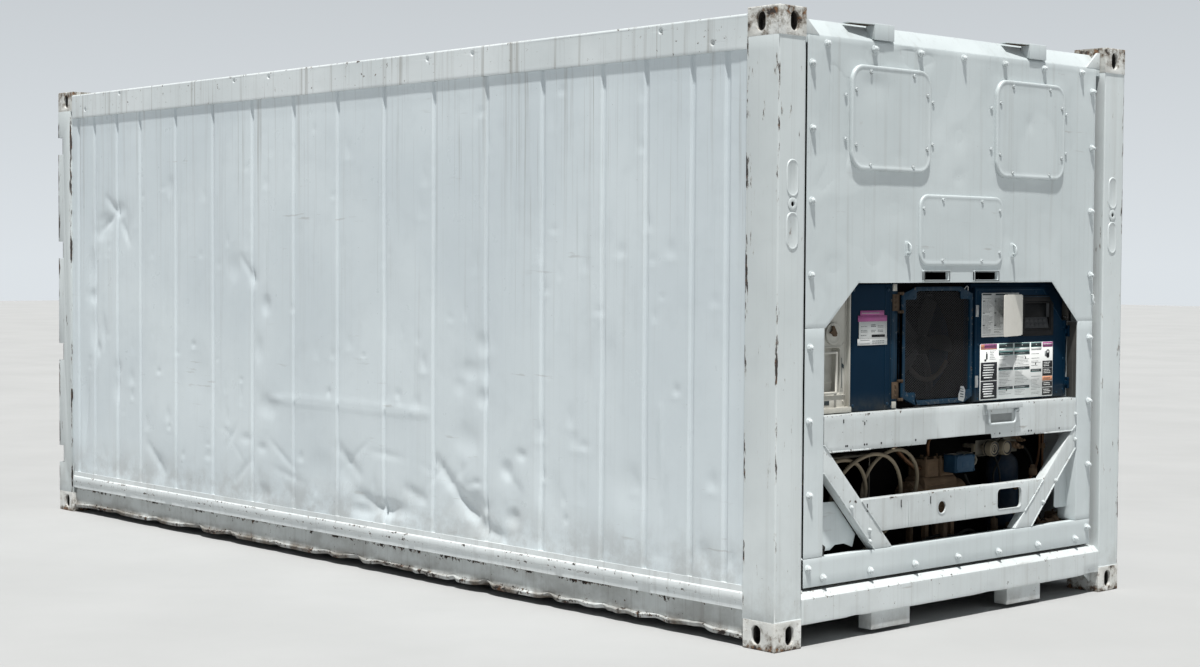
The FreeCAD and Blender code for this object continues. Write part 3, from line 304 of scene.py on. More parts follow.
def casting_mat():
    m = Mat("casting_paint")
    o = m.xyz()
    big = m.ramp(m.noise(6.0, 4), 0.35, 0.65)
    col = m.mix(big, (0.56, 0.56, 0.53), (0.66, 0.67, 0.65))
    n1 = m.noise(20.0, 9, 0.74)
    low = m.math("MAXIMUM", m.ramp(o[2], 0.0, 0.045, 1.3, 0.0), m.ramp(o[2], 2.47, 2.56, 0.0, 0.75))
    th = m.math("ADD", m.math("SUBTRACT", n1, 0.035), m.mul(low, 0.12))
    g = m.ramp(th, 0.46, 0.62)
    col = m.mix(m.mul(g, 0.85), col, (0.17, 0.14, 0.105))
    ch = m.ramp(th, 0.60, 0.635)
    rc = m.mix(m.ramp(m.noise(45.0, 4), 0.42, 0.62), (0.035, 0.028, 0.024), (0.20, 0.10, 0.045))
    col = m.mix(ch, col, rc)
    # painted shade inside the cavities, over dark rust
    ax, ay = m.math("ABSOLUTE", o[0]), m.math("ABSOLUTE", o[1])
    az = m.math("ABSOLUTE", m.math("SUBTRACT", o[2], 1.2955))
    inner = m.mul(m.ramp(ax, 3.012, 3.020, 1.0, 0.0), m.ramp(ax, 2.856, 2.860), m.ramp(ay, 1.202, 1.210, 1.0, 0.0),
                  m.ramp(ay, 1.061, 1.065), m.ramp(az, 1.276, 1.284, 1.0, 0.0), m.ramp(az, 1.180, 1.184))
    cavity_shade_rust = m.mix(m.ramp(m.noise(30.0, 5), 0.4, 0.62), (0.006, 0.005, 0.004), (0.025, 0.019, 0.014))
    col = m.mix(m.mul(inner, 0.96), col, cavity_shade_rust)
    m.set("Base Color", col)
    m.set("Roughness", m.math("ADD", m.mul(ch, 0.3), 0.55))
    h = m.math("SUBTRACT", m.mul(m.noise(55.0, 6, 0.6), 1.0), m.mul(ch, 0.5))
    m.l(m.bump(h, 0.45, 0.006), m.b.inputs["Normal"])
    return m.m


M["casting"] = casting_mat()
M["blue"] = painted("blue_enamel", (0.0010, 0.0130, 0.0300), (0.0016, 0.0180, 0.0410), 0.55, streak=0.0, specks=0.6, rust=0.10, scuffs=0.15,
                    low_grime=(0.93, 1.03, 0.55), grime_col=(0.055, 0.055, 0.045), scale=2.0, spec=0.06)
M["guardblue"] = painted("guard_enamel", (0.003, 0.020, 0.040), (0.006, 0.030, 0.058), 0.45, spec=0.12, streak=0.15, specks=0.8, rust=0.2,
                         chips=[("x", 2.946, "z", 0.947), ("x", 2.946, "y", 0.162)], chip_amt=0.4, chip_w=0.02, scale=2.0)
M["termblue"] = painted("terminal_enamel", (0.009, 0.034, 0.068), (0.014, 0.050, 0.094), 0.55, spec=0.2, specks=0.9, rust=0.3, all_grime=0.22, scale=4.0)
M["recblue"] = painted("receiver_enamel", (0.003, 0.012, 0.026), (0.005, 0.018, 0.038), 0.6, spec=0.12, specks=0.7, rust=0.3, all_grime=0.2, scale=4.0)
M["beige"] = painted("beige_plastic", (0.40, 0.395, 0.355), (0.50, 0.495, 0.45), 0.5, spec=0.3, streak=0.4, specks=0.8, rust=0.1, all_grime=0.30, scale=3.0,
                     grime_col=(0.25, 0.21, 0.16))
M["lid"] = painted("lid_plastic", (0.62, 0.605, 0.55), (0.70, 0.68, 0.62), 0.42, specks=0.4, rust=0.0, all_grime=0.06, scale=5.0)
M["cap"] = painted("cap_plastic", (0.20, 0.170, 0.120), (0.28, 0.24, 0.175), 0.6, spec=0.2, specks=0.6, rust=0.1, all_grime=0.35, scale=6.0)
M["grey"] = painted("grey_enamel", (0.15, 0.138, 0.112), (0.22, 0.205, 0.17), 0.7, spec=0.15, streak=0.4, specks=0.9, rust=0.3, all_grime=0.5, scale=3.0,
                    grime_col=(0.10, 0.085, 0.065))
M["black"] = painted("black_plastic", (0.003, 0.003, 0.0035), (0.006, 0.006, 0.0065), 0.45, spec=0.10, specks=0.5, rust=0.0, scale=6.0)
M["rubber"] = painted("black_rubber", (0.008, 0.008, 0.008), (0.02, 0.0195, 0.018), 0.78, spec=0.2, specks=0.5, rust=0.0, scale=6.0, orange=0.2)
M["wire"] = painted("dark_wire", (0.010, 0.011, 0.013), (0.020, 0.021, 0.024), 0.55, spec=0.25, specks=0.3, rust=0.0, scale=5.0)
# near-black interior finish: partly the parts' own dark colour, mostly painted shade for the machinery recesses and
# holes
M["darkin"] = painted("dark_interior_painted_shade", (0.003, 0.003, 0.0033), (0.006, 0.0058, 0.0055), 0.9, spec=0.04, specks=0.6, rust=0.4, all_grime=0.3, scale=3.0,
                      grime_col=(0.012, 0.0105, 0.009))
M["fan"] = painted("fan_plastic", (0.007, 0.007, 0.007), (0.013, 0.013, 0.0125), 0.6, spec=0.1, specks=0.6, rust=0.0, all_grime=0.35, scale=6.0,
                   grime_col=(0.03, 0.028, 0.024))
M["bronze"] = painted("bronze_paint", (0.15, 0.098, 0.060), (0.22, 0.150, 0.095), 0.7, spec=0.12, specks=1.0, rust=0.8, all_grime=0.45, scale=5.0,
                      grime_col=(0.05, 0.04, 0.03))
M["hinge"] = painted("rusty_hinge", (0.060, 0.040, 0.026), (0.105, 0.074, 0.050), 0.85, spec=0.1, specks=1.0, rust=1.0, all_grime=0.5, scale=8.0, orange=0.5,
                     grime_col=(0.06, 0.05, 0.04))
M["galv"] = painted("galvanised_steel", (0.42, 0.43, 0.43), (0.54, 0.55, 0.55), 0.42, specks=0.6, rust=0.4, metal=0.85, scale=4.0, streak=0.2)
M["alu"] = painted("mill_aluminium", (0.55, 0.56, 0.565), (0.66, 0.665, 0.67), 0.38, specks=0.3, rust=0.0, metal=0.9, scale=3.0, streak=0.2)
M["under"] = painted("underframe_paint", (0.10, 0.097, 0.09), (0.16, 0.155, 0.145), 0.8, spec=0.1, specks=0.8, rust=0.8, all_grime=0.6, scale=2.0,
                     grime_col=(0.09, 0.078, 0.062))
M["tray"] = painted("tray_dirt", (0.10, 0.093, 0.080), (0.17, 0.16, 0.14), 0.85, spec=0.1, specks=1.0, rust=0.9, all_grime=0.75, scale=4.0, orange=0.4,
                    grime_col=(0.085, 0.07, 0.05))
M["lining"] = painted("lining_sheet", (0.52, 0.54, 0.545), (0.62, 0.635, 0.64), 0.45, specks=0.3, rust=0.05, scuffs=0.4, streak=0.2)
M["copper"] = painted("copper_pipe", (0.11, 0.055, 0.030), (0.17, 0.09, 0.05), 0.55, spec=0.15, specks=0.8, rust=0.2, metal=0.9, all_grime=0.35, scale=8.0,
                      grime_col=(0.08, 0.055, 0.035))
M["label"] = painted("label_sheet", (0.66, 0.68, 0.67), (0.75, 0.765, 0.755), 0.45, specks=0.4, rust=0.0, all_grime=0.10, scale=6.0)
M["cable"] = painted("cable_jacket", (0.17, 0.140, 0.098), (0.25, 0.21, 0.15), 0.68, spec=0.15, specks=0.7, rust=0.0, all_grime=0.28, scale=7.0, orange=0.25,
                     grime_col=(0.17, 0.135, 0.095))


def flat_ink(name, c, rough=0.5):
    return painted(name, tuple(x * 0.85 for x in c), c, rough, spec=0.2, specks=0.5, rust=0.0, all_grime=0.12, scale=9.0)


M["ink_black"] = flat_ink("ink_black", (0.010, 0.012, 0.016))
M["ink_teal"] = flat_ink("ink_teal", (0.22, 0.44, 0.43))
M["ink_pink"] = flat_ink("ink_pink", (0.36, 0.10, 0.26))
M["ink_orange"] = flat_ink("ink_orange", (0.62, 0.28, 0.16))
M["ink_grey"] = flat_ink("ink_grey", (0.30, 0.32, 0.32))
M["ink_dark"] = flat_ink("ink_dark", (0.035, 0.050, 0.056))


def glass_mat():
    m = Mat("display_glass")
    col = m.mix(m.ramp(m.noise(12.0, 4), 0.4, 0.7), (0.003, 0.0035, 0.004), (0.008, 0.009, 0.010))
    m.set("Base Color", col)
    m.set("Roughness", m.ramp(m.noise(30.0, 4), 0.3, 0.8, 0.30, 0.50))
    m.set("Specular IOR Level", 0.06)
    m.l(m.bump(m.noise(40.0, 3), 0.05, 0.002), m.b.inputs["Normal"])
    return m.m


M["glass"] = glass_mat()
M["conduit"] = painted("conduit_dust", (0.040, 0.036, 0.031), (0.065, 0.058, 0.050), 0.8, specks=0.8, rust=0.2, all_grime=0.3, scale=6.0, spec=0.05,
                       grime_col=(0.03, 0.026, 0.022))
M["pad"] = painted("keypad_grey", (0.035, 0.037, 0.040), (0.050, 0.052, 0.055), 0.6, specks=0.4, rust=0.0, all_grime=0.25, scale=8.0, spec=0.1,
                   grime_col=(0.06, 0.058, 0.052))
# dark liner colour: painted shade on the strip's return and the bay's side
M["liner"] = painted("liner_painted_shade", (0.055, 0.055, 0.052), (0.095, 0.093, 0.086), 0.7, streak=0.5, specks=0.9, rust=0.4, all_grime=0.5, scale=4.0, spec=0.1,
                     grime_col=(0.035, 0.030, 0.024))


# ================================================================ mesh helpers
def put(name, me, body, mat, smooth=32.0, reps=()):
    ob = bpy.data.objects.new(name, me)
    bpy.context.scene.collection.objects.link(ob)
    if mat is not None:
        mats = mat if isinstance(mat, (list, tuple)) else [mat]
        me.materials.clear()
        for k in mats:
            me.materials.append(M[k])
    if smooth:
        me.shade_smooth()
        me.set_sharp_from_angle(angle=math.radians(smooth))
    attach(ob, body)
    if reps:
        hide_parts(*reps)
    return ob


class B:
    """A mesh being put together."""

    def __init__(s):
        s.bm = bmesh.new()
        s.mi = 0

    def _tag(s, faces):
        for f in faces:
            f.material_index = s.mi
        return faces

    def box(s, x0, x1, y0, y1, z0, z1, bev=0.0, seg=2, rot=None, about=None):
        t = bmesh.new()
        bmesh.ops.create_cube(t, size=1.0)
        for v in t.verts:
            v.co = Vector(((x0 + x1) / 2 + v.co.x * (x1 - x0), (y0 + y1) / 2 + v.co.y * (y1 - y0), (z0 + z1) / 2 + v.co.z * (z1 - z0)))
        if bev:
            bmesh.ops.bevel(t, geom=list(t.edges), offset=bev, segments=seg, profile=0.5, affect="EDGES", clamp_overlap=True)
        if rot is not None:
            c = Vector(about) if about else Vector(((x0 + x1) / 2, (y0 + y1) / 2, (z0 + z1) / 2))
            bmesh.ops.rotate(t, verts=t.verts, cent=c, matrix=rot)
        s.join(t)
        return s

    def join(s, t, mat=None):
        me = bpy.data.meshes.new("t")
        for f in t.faces:
            f.material_index = s.mi
            f.smooth = True
        t.to_mesh(me)
        t.free()
        n0 = len(s.bm.faces)
        s.bm.from_mesh(me)
        bpy.data.meshes.remove(me)
        return s

    def lathe(s, prof, origin, axis=(1, 0, 0), seg=24, caps=True):
        """prof is a list of (radius, height) along the axis."""
        t = bmesh.new()
        ax = Vector(axis).normalized()
        u = ax.orthogonal().normalized()
        w = ax.cross(u)
        o = Vector(origin)
        rings = []
        for r, h in prof:
            if r < 1e-7:
                rings.append([t.verts.new(o + ax * h)])
            else:
                rings.append([t.verts.new(o + ax * h + (u * math.cos(2 * math.pi * k / seg) + w * math.sin(2 * math.pi * k / seg)) * r)
                              for k in range(seg)])
        for a, b in zip(rings, rings[1:]):
            if len(a) == 1 and len(b) == 1:
                continue
            for k in range(seg):
                k2 = (k + 1) % seg
                if len(a) == 1:
                    t.faces.new((a[0], b[k], b[k2]))
                elif len(b) == 1:
                    t.faces.new((a[k], b[0], a[k2]))
                else:
                    t.faces.new((a[k], b[k], b[k2], a[k2]))
        if caps:
            for r, flip in ((rings[0], True), (rings[-1], False)):
                if len(r) > 2:
                    t.faces.new(r[::-1] if flip else r)
        bmesh.ops.recalc_face_normals(t, faces=t.faces)
        s.join(t)
        return s

    def cyl(s, r, p0, p1, seg=20, bev=0.0):
        a, b = Vector(p0), Vector(p1)
        d = (b - a)
        h = d.length
        if bev:
            prof = [(r - bev, 0), (r, bev), (r, h - bev), (r - bev, h)]
        else:
            prof = [(r, 0), (r, h)]
        return s.lathe(prof, a, d, seg)

    def tube(s, pts, r, seg=10, closed=False, caps=True):
        P = [Vector(p) for p in pts]
        t = bmesh.new()
        n = len(P)
        tang = []
        for i in range(n):
            if closed:
                d = P[(i + 1) % n] - P[i - 1]
            else:
                d = P[min(i + 1, n - 1)] - P[max(i - 1, 0)]
            tang.append(d.normalized())
        u = tang[0].orthogonal().normalized()
        rings = []
        for i in range(n):
            u = (u - tang[i] * u.dot(tang[i])).normalized()
            w = tang[i].cross(u)
            rings.append([t.verts.new(P[i] + (u * math.cos(2 * math.pi * k / seg) + w * math.sin(2 * math.pi * k / seg)) * r) for k in range(seg)])
        rg = list(zip(rings, rings[1:])) + ([(rings[-1], rings[0])] if closed else [])
        for a, b in rg:
            for k in range(seg):
                k2 = (k + 1) % seg
                t.faces.new((a[k], a[k2], b[k2], b[k]))
        if caps and not closed:
            t.faces.new(rings[0][::-1])
            t.faces.new(rings[-1])
        bmesh.ops.recalc_face_normals(t, faces=t.faces)
        s.join(t)
        return s

    def prism(s, pts, vec, bev=0.0):
        t = bmesh.new()
        f = t.faces.new([t.verts.new(Vector(p)) for p in pts])
        r = bmesh.ops.extrude_face_region(t, geom=[f])
        bmesh.ops.translate(t, verts=[g for g in r["geom"] if isinstance(g, bmesh.types.BMVert)], vec=Vector(vec))
        bmesh.ops.recalc_face_normals(t, faces=t.faces)
        if bev:
            bmesh.ops.bevel(t, geom=list(t.edges), offset=bev, segments=2, profile=0.5, affect="EDGES", clamp_overlap=True)
        s.join(t)
        return s

    def mesh(s, name):
        me = bpy.data.meshes.new(name)
        s.bm.to_mesh(me)
        s.bm.free()
        return me


def rrect(y0, y1, z0, z1, r, k=6):
    out = []
    for cy, cz, a0 in ((y1 - r, z1 - r, 0), (y0 + r, z1 - r, 90), (y0 + r, z0 + r, 180), (y1 - r, z0 + r, 270)):
        for i in range(k + 1):
            a = math.radians(a0 + 90.0 * i / k)
            out.append((cy + r * math.cos(a), cz + r * math.sin(a)))
    return out


def instances(proto, mats):
    """Copies of a bmesh at each matrix, joined."""
    me0 = bpy.data.meshes.new("p")
    proto.to_mesh(me0)
    nv, nf = len(me0.vertices), len(me0.polygons)
    co = np.array([v.co for v in me0.vertices])
    faces = [tuple(p.vertices) for p in me0.polygons]
    mi = [p.material_index for p in me0.polygons]
    V, F, MI = [], [], []
    for k, mt in enumerate(mats):
        A = np.array(mt)
        V.append(co @ A[:3, :3].T + A[:3, 3])
        F += [tuple(i + k * nv for i in f) for f in faces]
        MI += mi
    bpy.data.meshes.remove(me0)
    me = bpy.data.meshes.new("inst")
    me.from_pydata(np.concatenate(V).tolist(), [], F)
    me.polygons.foreach_set("material_index", MI)
    me.update()
    return me


def cad_bm(node):
    bm = bmesh.new()
    bm.from_mesh(N[node].data)
    bmesh.ops.remove_doubles(bm, verts=bm.verts, dist=2e-5)
    bmesh.ops.dissolve_limit(bm, angle_limit=math.radians(0.6), verts=bm.verts, edges=bm.edges)
    return bm


def cut_grid(bm, axis, a, b, step):
    n = Vector([1.0 if i == axis else 0.0 for i in range(3)])
    k = int((b - a) / step)
    for i in range(1, k + 1):
        c = a + (b - a) * i / (k + 1)
        bmesh.ops.bisect_plane(bm, geom=bm.verts[:] + bm.edges[:] + bm.faces[:], plane_co=n * c, plane_no=n, dist=1e-6)


def skin(node, name, mat, bevel=0.0015, grid=(0, 0, 0), disp=None, seg=2, angle=30.0, smooth=32.0, body=None, merge=True):
    """A finished copy of a CAD node's surface: rounded edges, then dents."""
    bm = cad_bm(node)
    if bevel:
        es = [e for e in bm.edges if len(e.link_faces) == 2 and e.calc_face_angle(0.0) > math.radians(angle)]
        bmesh.ops.bevel(bm, geom=es, offset=bevel, segments=seg, profile=0.5, affect="EDGES", clamp_overlap=True)
    co = np.array([v.co for v in bm.verts])
    lo, hi = co.min(0), co.max(0)
    for ax in range(3):
        if grid[ax]:
            cut_grid(bm, ax, lo[ax], hi[ax], grid[ax])
    if disp is not None:
        bm.normal_update()
        for v in bm.verts:
            v.co += disp(v.co, v.normal)
        co = np.array([v.co for v in bm.verts])
        for v in bm.verts:
            v.co = Vector([min(max(v.co[i], lo[i]), hi[i]) for i in range(3)])
    me = bpy.data.meshes.new(name)
    bm.to_mesh(me)
    bm.free()
    return put(name, me, body or N[node]["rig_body"], mat, smooth, [node])


def paint(node, key):
    me = N[node].data
    me.materials.clear()
    me.materials.append(M[key])
    me.polygons.foreach_set("material_index", [0] * len(me.polygons))


def nz(p, s, seed=0.0):
    return noise.noise(Vector(p) * s + Vector((seed, seed * 1.7, seed * 0.3)))


# ================================================================ camera and light, first
def camera():
    az, el, roll = math.radians(47.66), math.radians(2.08), math.radians(0.32)
    back = Vector((math.sin(az) * math.cos(el), -math.cos(az) * math.cos(el), math.sin(el)))
    fwd = -back
    right = fwd.cross(Vector((0, 0, 1))).normalized()
    up = right.cross(fwd).normalized()
    r2 = right * math.cos(roll) + up * math.sin(roll)
    u2 = -right * math.sin(roll) + up * math.cos(roll)
    cam = bpy.data.cameras.new("cam")
    cam.sensor_width = 36.0
    cam.lens = 36.0 * 1985.5 / 1200.0
    cam.clip_start, cam.clip_end = 0.05, 200.0
    ob = bpy.data.objects.new("cam", cam)
    ob.matrix_world = Matrix(((r2.x, u2.x, back.x, 8.395), (r2.y, u2.y, back.y, -7.063), (r2.z, u2.z, back.z, 1.566), (0, 0, 0, 1)))
    bpy.context.scene.collection.objects.link(ob)
    bpy.context.scene.camera = ob


camera()


def lights():
    sun = bpy.data.lights.new("sun", "SUN")
    sun.energy = 5.6
    sun.angle = math.radians(2.2)
    sun.color = (1.0, 0.985, 0.96)
    so = bpy.data.objects.new("sun", sun)
    L = Vector((0.22, -0.20, 0.955)).normalized()
    so.rotation_mode = "QUATERNION"
    so.rotation_quaternion = L.to_track_quat("Z", "Y")
    bpy.context.scene.collection.objects.link(so)
    w = bpy.data.worlds.new("studio")
    w.use_nodes = True
    nt = w.node_tree
    bg = nt.nodes["Background"]
    tc = nt.nodes.new("ShaderNodeTexCoord")
    sep = nt.nodes.new("ShaderNodeSeparateXYZ")
    nt.links.new(tc.outputs["Generated"], sep.inputs[0])
    mr = nt.nodes.new("ShaderNodeMapRange")
    mr.inputs["From Min"].default_value = 0.0
    mr.inputs["From Max"].default_value = 0.45
    mr.inputs["To Min"].default_value = 0.80
    mr.inputs["To Max"].default_value = 0.27
    nt.links.new(sep.outputs["Z"], mr.inputs["Value"])
    bg.inputs[0].default_value = (0.90, 0.955, 1.0, 1.0)
    nt.links.new(mr.outputs["Result"], bg.inputs[1])
    bpy.context.scene.world = w
    bpy.context.scene.view_settings.view_transform = "Standard"
    bm = bmesh.new()
    bmesh.ops.create_grid(bm, x_segments=4, y_segments=4, size=60.0)
    me = bpy.data.meshes.new("floor")
    bm.to_mesh(me)
    bm.free()
    fl = bpy.data.objects.new("floor", me)
    bpy.context.scene.collection.objects.link(fl)
    m = Mat("floor")
    m.set("Base Color", m.mix(m.ramp(m.noise(0.7, 4), 0.3, 0.7), (0.345, 0.35, 0.35), (0.37, 0.375, 0.375)))
    m.set("Roughness", m.ramp(m.noise(3.0, 3), 0.3, 0.7, 0.85, 0.95))
    me.materials.append(m.m)
    fl.location = (0, 0, -0.0005)


lights()

# ================================================================ side walls
GROOVES = (0.0, 0.402, 0.804, 1.206, 1.606, 2.011, 2.284, 2.561, 2.762)
GX = sorted(set([-0.028 + s * g for g in GROOVES for s in (1, -1)]))

# (x, z, radius x, radius z, depth m)
DENTS_L = [(1.146, 1.174, .05, .06, .010), (1.147, .92, .045, .05, .011), (1.17, 1.048, .04, .06, .007), (-0.676, .78, .10, .07, .012),
           (0.049, .476, .08, .10, .014), (-0.740, .306, .09, .06, .012), (-0.739, .549, .05, .03, .007), (-0.898, .589, .06, .03, .006),
           (-0.770, 1.082, .05, .08, .008), (-2.326, .80, .05, .10, .012), (-2.31, .91, .05, .05, .008), (-1.822, .358, .10, .09, .010),
           (-0.108, .884, .018, .022, .008), (1.376, .377, .055, .05, .020), (1.33, .595, .05, .05, .013), (1.432, .674, .04, .03, .009),
           (1.40, .47, .06, .10, .010), (1.662, .502, .07, .14, .007), (1.746, .409, .02, .02, .006), (2.159, .592, .11, .12, .008),
           (2.608, .351, .06, .06, .008), (2.773, .344, .02, .05, .007), (1.06, .40, .16, .07, .016), (0.43, .33, .16, .05, .018),
           (0.20, .30, .12, .04, .012), (-0.18, .47, .15, .12, .010), (1.028, .716, .10, .09, .010), (-2.45, 1.79, .12, .06, .011),
           (-2.30, 1.86, .10, .05, .010), (-2.52, 1.72, .10, .05, .009), (-2.20, 1.77, .07, .10, .008), (-2.62, 1.50, .06, .14, .013),
           (-2.62, 1.34, .05, .05, .012), (-1.70, 1.98, .04, .07, .008), (-1.02, 1.52, .08, .08, .008), (-0.83, 1.47, .035, .04, .011),
           (-0.70, 1.32, .05, .06, .013), (-2.60, 1.13, .05, .13, .012), (-2.48, 1.12, .04, .11, .010), (-2.55, 1.02, .03, .05, .010),
           (1.05, 1.05, .10, .05, .007), (0.98, .97, .05, .05, .006), (2.0, 1.12, .12, .2, .006), (0.45, 1.3, .14, .25, .006),
           (-1.4, .9, .13, .22, .006), (2.36, .60, .03, .16, .006), (-2.72, .66, .05, .28, .011)]
# (x0, z0, x1, z1, half width, depth)
CREASES_L = [(.80, .60, .98, .44, .030, .016), (.98, .44, 1.16, .31, .034, .024), (1.16, .31, 1.32, .275, .03, .018),
             (-.66, .822, -.02, .826, .020, -.007), (-.02, .826, .72, .822, .022, -.008), (-.02, .60, .16, .48, .03, .010),
             (.16, .38, .42, .31, .03, .016), (-2.44, 1.93, -2.30, 1.83, .022, .010), (-2.50, 1.74, -2.36, 1.82, .02, .010),
             (-2.26, 1.78, -2.17, 1.66, .02, .009), (-2.66, .95, -2.74, .40, .02, .010), (-1.95, .48, -1.78, .33, .025, .010),
             (-.95, 1.58, -.80, 1.45, .02, .007), (2.35, .95, 2.36, .55, .014, -.005), (1.55, .80, 1.56, .50, .02, .006),
             (.55, .44, .70, .40, .03, .012), (-1.0, .35, -.86, .47, .02, .006)]


def wall_dent(X, Z, seed, dents, creases):
    d = np.zeros_like(X)
    for x, z, rx, rz, h in dents:
        q = ((X - x) / rx) ** 2 + ((Z - z) / rz) ** 2
        d += h * np.exp(-q * 1.1) * (1.0 + 0.25 * np.cos(q * 2.2))
    for x0, z0, x1, z1, w, h in creases:
        dx, dz = x1 - x0, z1 - z0
        L = math.hypot(dx, dz)
        t = ((X - x0) * dx + (Z - z0) * dz) / (L * L)
        tc = np.clip(t, 0, 1)
        dist = np.hypot(X - (x0 + tc * dx), Z - (z0 + tc * dz))
        fall = np.exp(-(dist / w) ** 2) + 0.30 * np.exp(-(dist / (w * 3.2)) ** 2)
        d += h * fall * np.clip(1.15 - np.abs(t - 0.5) * 1.1, 0, 1)
    return d


def lowfreq(X, Z, seed, n=26, lo=1.2, hi=6.0, amp=1.0):
    r = np.random.default_rng(seed)
    out = np.zeros_like(X)
    for k in range(n):
        f = lo * (hi / lo) ** r.random()
        a = r.random() * 2 * math.pi
        ph = r.random() * 2 * math.pi
        out += np.sin(f * (X * math.cos(a) + Z * math.sin(a)) + ph) / f ** 0.8
    return out * amp / math.sqrt(n)


def micro_dents(X, Z, seed, n):
    """Small sharp knocks, some with a raised crescent beside them, and faint vertical wrinkles."""
    q = random.Random(seed)
    d = np.zeros_like(X)
    for _ in range(n):
        x, z = q.uniform(-2.75, 2.75), 0.30 + 2.05 * q.random() ** 1.25
        r = q.uniform(.014, .032)
        h = q.uniform(.0010, .0036) * (1.2 if z < 1.1 else .8)
        e = q.uniform(.5, 2.6)
        u = ((X - x) / r) ** 2 + ((Z - z) / (r * e)) ** 2
        d += h * np.exp(-u * 1.3)
        d -= .45 * h * np.exp(-(((X - x) / (1.5 * r)) ** 2 + ((Z - z + r * e * 1.2) / (r * .55)) ** 2))
    for _ in range(n // 2):
        x, z = q.uniform(-2.75, 2.75), q.uniform(.35, 2.2)
        w, l = q.uniform(.010, .020), q.uniform(.10, .42)
        d += q.uniform(-.0016, .0026) * np.exp(-((X - x - .02 * np.sin((Z - z) * 6)) / w) ** 2 - ((Z - z) / l) ** 2)
    for _ in range(n // 9):
        x, z = q.uniform(-1.1, 1.7), q.uniform(.32, .62)
        a = q.uniform(-.9, .9)
        c, t = math.cos(a), math.sin(a)
        u, v = (X - x) * c + (Z - z) * t, -(X - x) * t + (Z - z) * c
        d += q.uniform(.0014, .0040) * np.exp(-(v / .017) ** 2 - (u / q.uniform(.06, .14)) ** 2)
    return d


def side_wall(sy, name, dents, creases, seed, step=0.0117):
    x0, x1, z0, z1 = -2.869, 2.851, 0.250, 2.425
    xs = set()
    k = int((x1 - x0) / step)
    base = [x0 + (x1 - x0) * i / k for i in range(k + 1)]
    prof = []
    for g in GX:
        prof += [(g - .0180, 0.0), (g - .0165, .0006), (g - .0105, .0100), (g - .0090, .0108), (g, .0108), (g + .0090, .0108),
                 (g + .0105, .0100), (g + .0165, .0006), (g + .0180, 0.0)]
    px_ = [p[0] for p in prof]
    xs = sorted([b for b in base if all(abs(b - q) > 0.0190 for q in GX)] + px_)
    xs[0], xs[-1] = x0, x1
    X1 = np.array(xs)
    G1 = np.interp(X1, np.array(px_), np.array([p[1] for p in prof]), left=0, right=0)
    nzr = int((z1 - z0) / (0.0128 if sy < 0 else 0.024))
    Z1 = np.linspace(z0, z1, nzr + 1)
    X, Z = np.meshgrid(X1, Z1)
    G = np.tile(G1, (len(Z1), 1))
    # pressed grooves, dents and small knocks; the grooves run the full height, though on the wall they fade out just
    # short of the lower edge
    d = G + .62 * wall_dent(X, Z, seed, dents, creases) + micro_dents(X, Z, seed + 40, 120)
    edge = np.minimum(1, np.minimum((Z - z0) / 0.05, (z1 - Z) / 0.10)) * np.minimum(1, np.minimum((X - x0) / 0.06, (x1 - X) / 0.06))
    bay = 0.0022 * lowfreq(X, Z, seed, 30, 2.0, 11.0) + 0.0010 * lowfreq(X, Z, seed + 5, 40, 10.0, 34.0)
    # a small bulge for each bay between its grooves, weighted by zero below so it has no effect
    bulge = np.zeros_like(X)
    gs = [x0] + GX + [x1]
    for a, b in zip(gs, gs[1:]):
        t = (X - a) / (b - a)
        ins = (t >= 0) & (t <= 1)
        h = 0.0014 * (1 if b - a > 0.3 else 0.5)
        bulge += np.where(ins, h * (4 * t * (1 - t)), 0)
    low = np.clip((1.0 - Z) / 0.8, 0, 1)
    d = d + (np.maximum(bay, -0.004) * (0.8 + 1.3 * low) + 0.003) * np.clip(edge, 0, 1) - bulge * 0.0
    d = np.clip(d, 0.0, 0.055)
    Y = (-SKIN_Y + d)
    if sy > 0:
        Y = -Y
    nr, nc = X.shape
    V = np.stack([X, Y, Z], -1).reshape(-1, 3)
    idx = np.arange(nr * nc).reshape(nr, nc)
    q = np.stack([idx[:-1, :-1], idx[:-1, 1:], idx[1:, 1:], idx[1:, :-1]], -1).reshape(-1, 4)
    if sy > 0:
        q = q[:, ::-1]
    # closing back: lining and rim
    nb = len(V)
    yi = -1.145 if sy < 0 else 1.145
    bx = X1
    back = []
    rim_low = idx[0]
    rim_top = idx[-1]
    c = [(x0, yi, z0), (x1, yi, z0), (x1, yi, z1), (x0, yi, z1)]
    V = np.concatenate([V, np.array(c)])
    F = [tuple(int(i) for i in f) for f in q]
    b0, b1, b2, b3 = nb, nb + 1, nb + 2, nb + 3
    loops = [list(rim_low) + [b1, b0], list(idx[:, -1]) + [b2, b1], list(rim_top[::-1]) + [b3, b2], list(idx[::-1, 0]) + [b0, b3]]
    back_f = [b0, b1, b2, b3]
    for lp in loops:
        lp = [int(i) for i in lp][::-1]
        F.append(tuple(lp if sy < 0 else lp[::-1]))
    F.append(tuple(back_f[::-1] if sy < 0 else back_f))
    me = bpy.data.meshes.new(name)
    me.from_pydata(V.tolist(), [], F)
    me.update()
    nfl = len(F)
    ob = put(name, me, ROOT, ["wall", "lining"], 40.0, ["side_wall_left" if sy < 0 else "side_wall_right"])
    mi = [0] * nfl
    mi[-1] = 1
    me.polygons.foreach_set("material_index", mi)
    return ob


side_wall(-1, "wall_skin_left", DENTS_L, CREASES_L, 3)
DENTS_R = [(x * 0.93 + 0.3, 0.3 + (z * 1.37) % 1.9, rx, rz, h * 0.8) for x, z, rx, rz, h in DENTS_L[::2]]
side_wall(1, "wall_skin_right", DENTS_R, [(-1.2, .42, -.8, .34, .03, .014), (1.4, .6, 1.9, .5, .025, .010)], 11, 0.024)


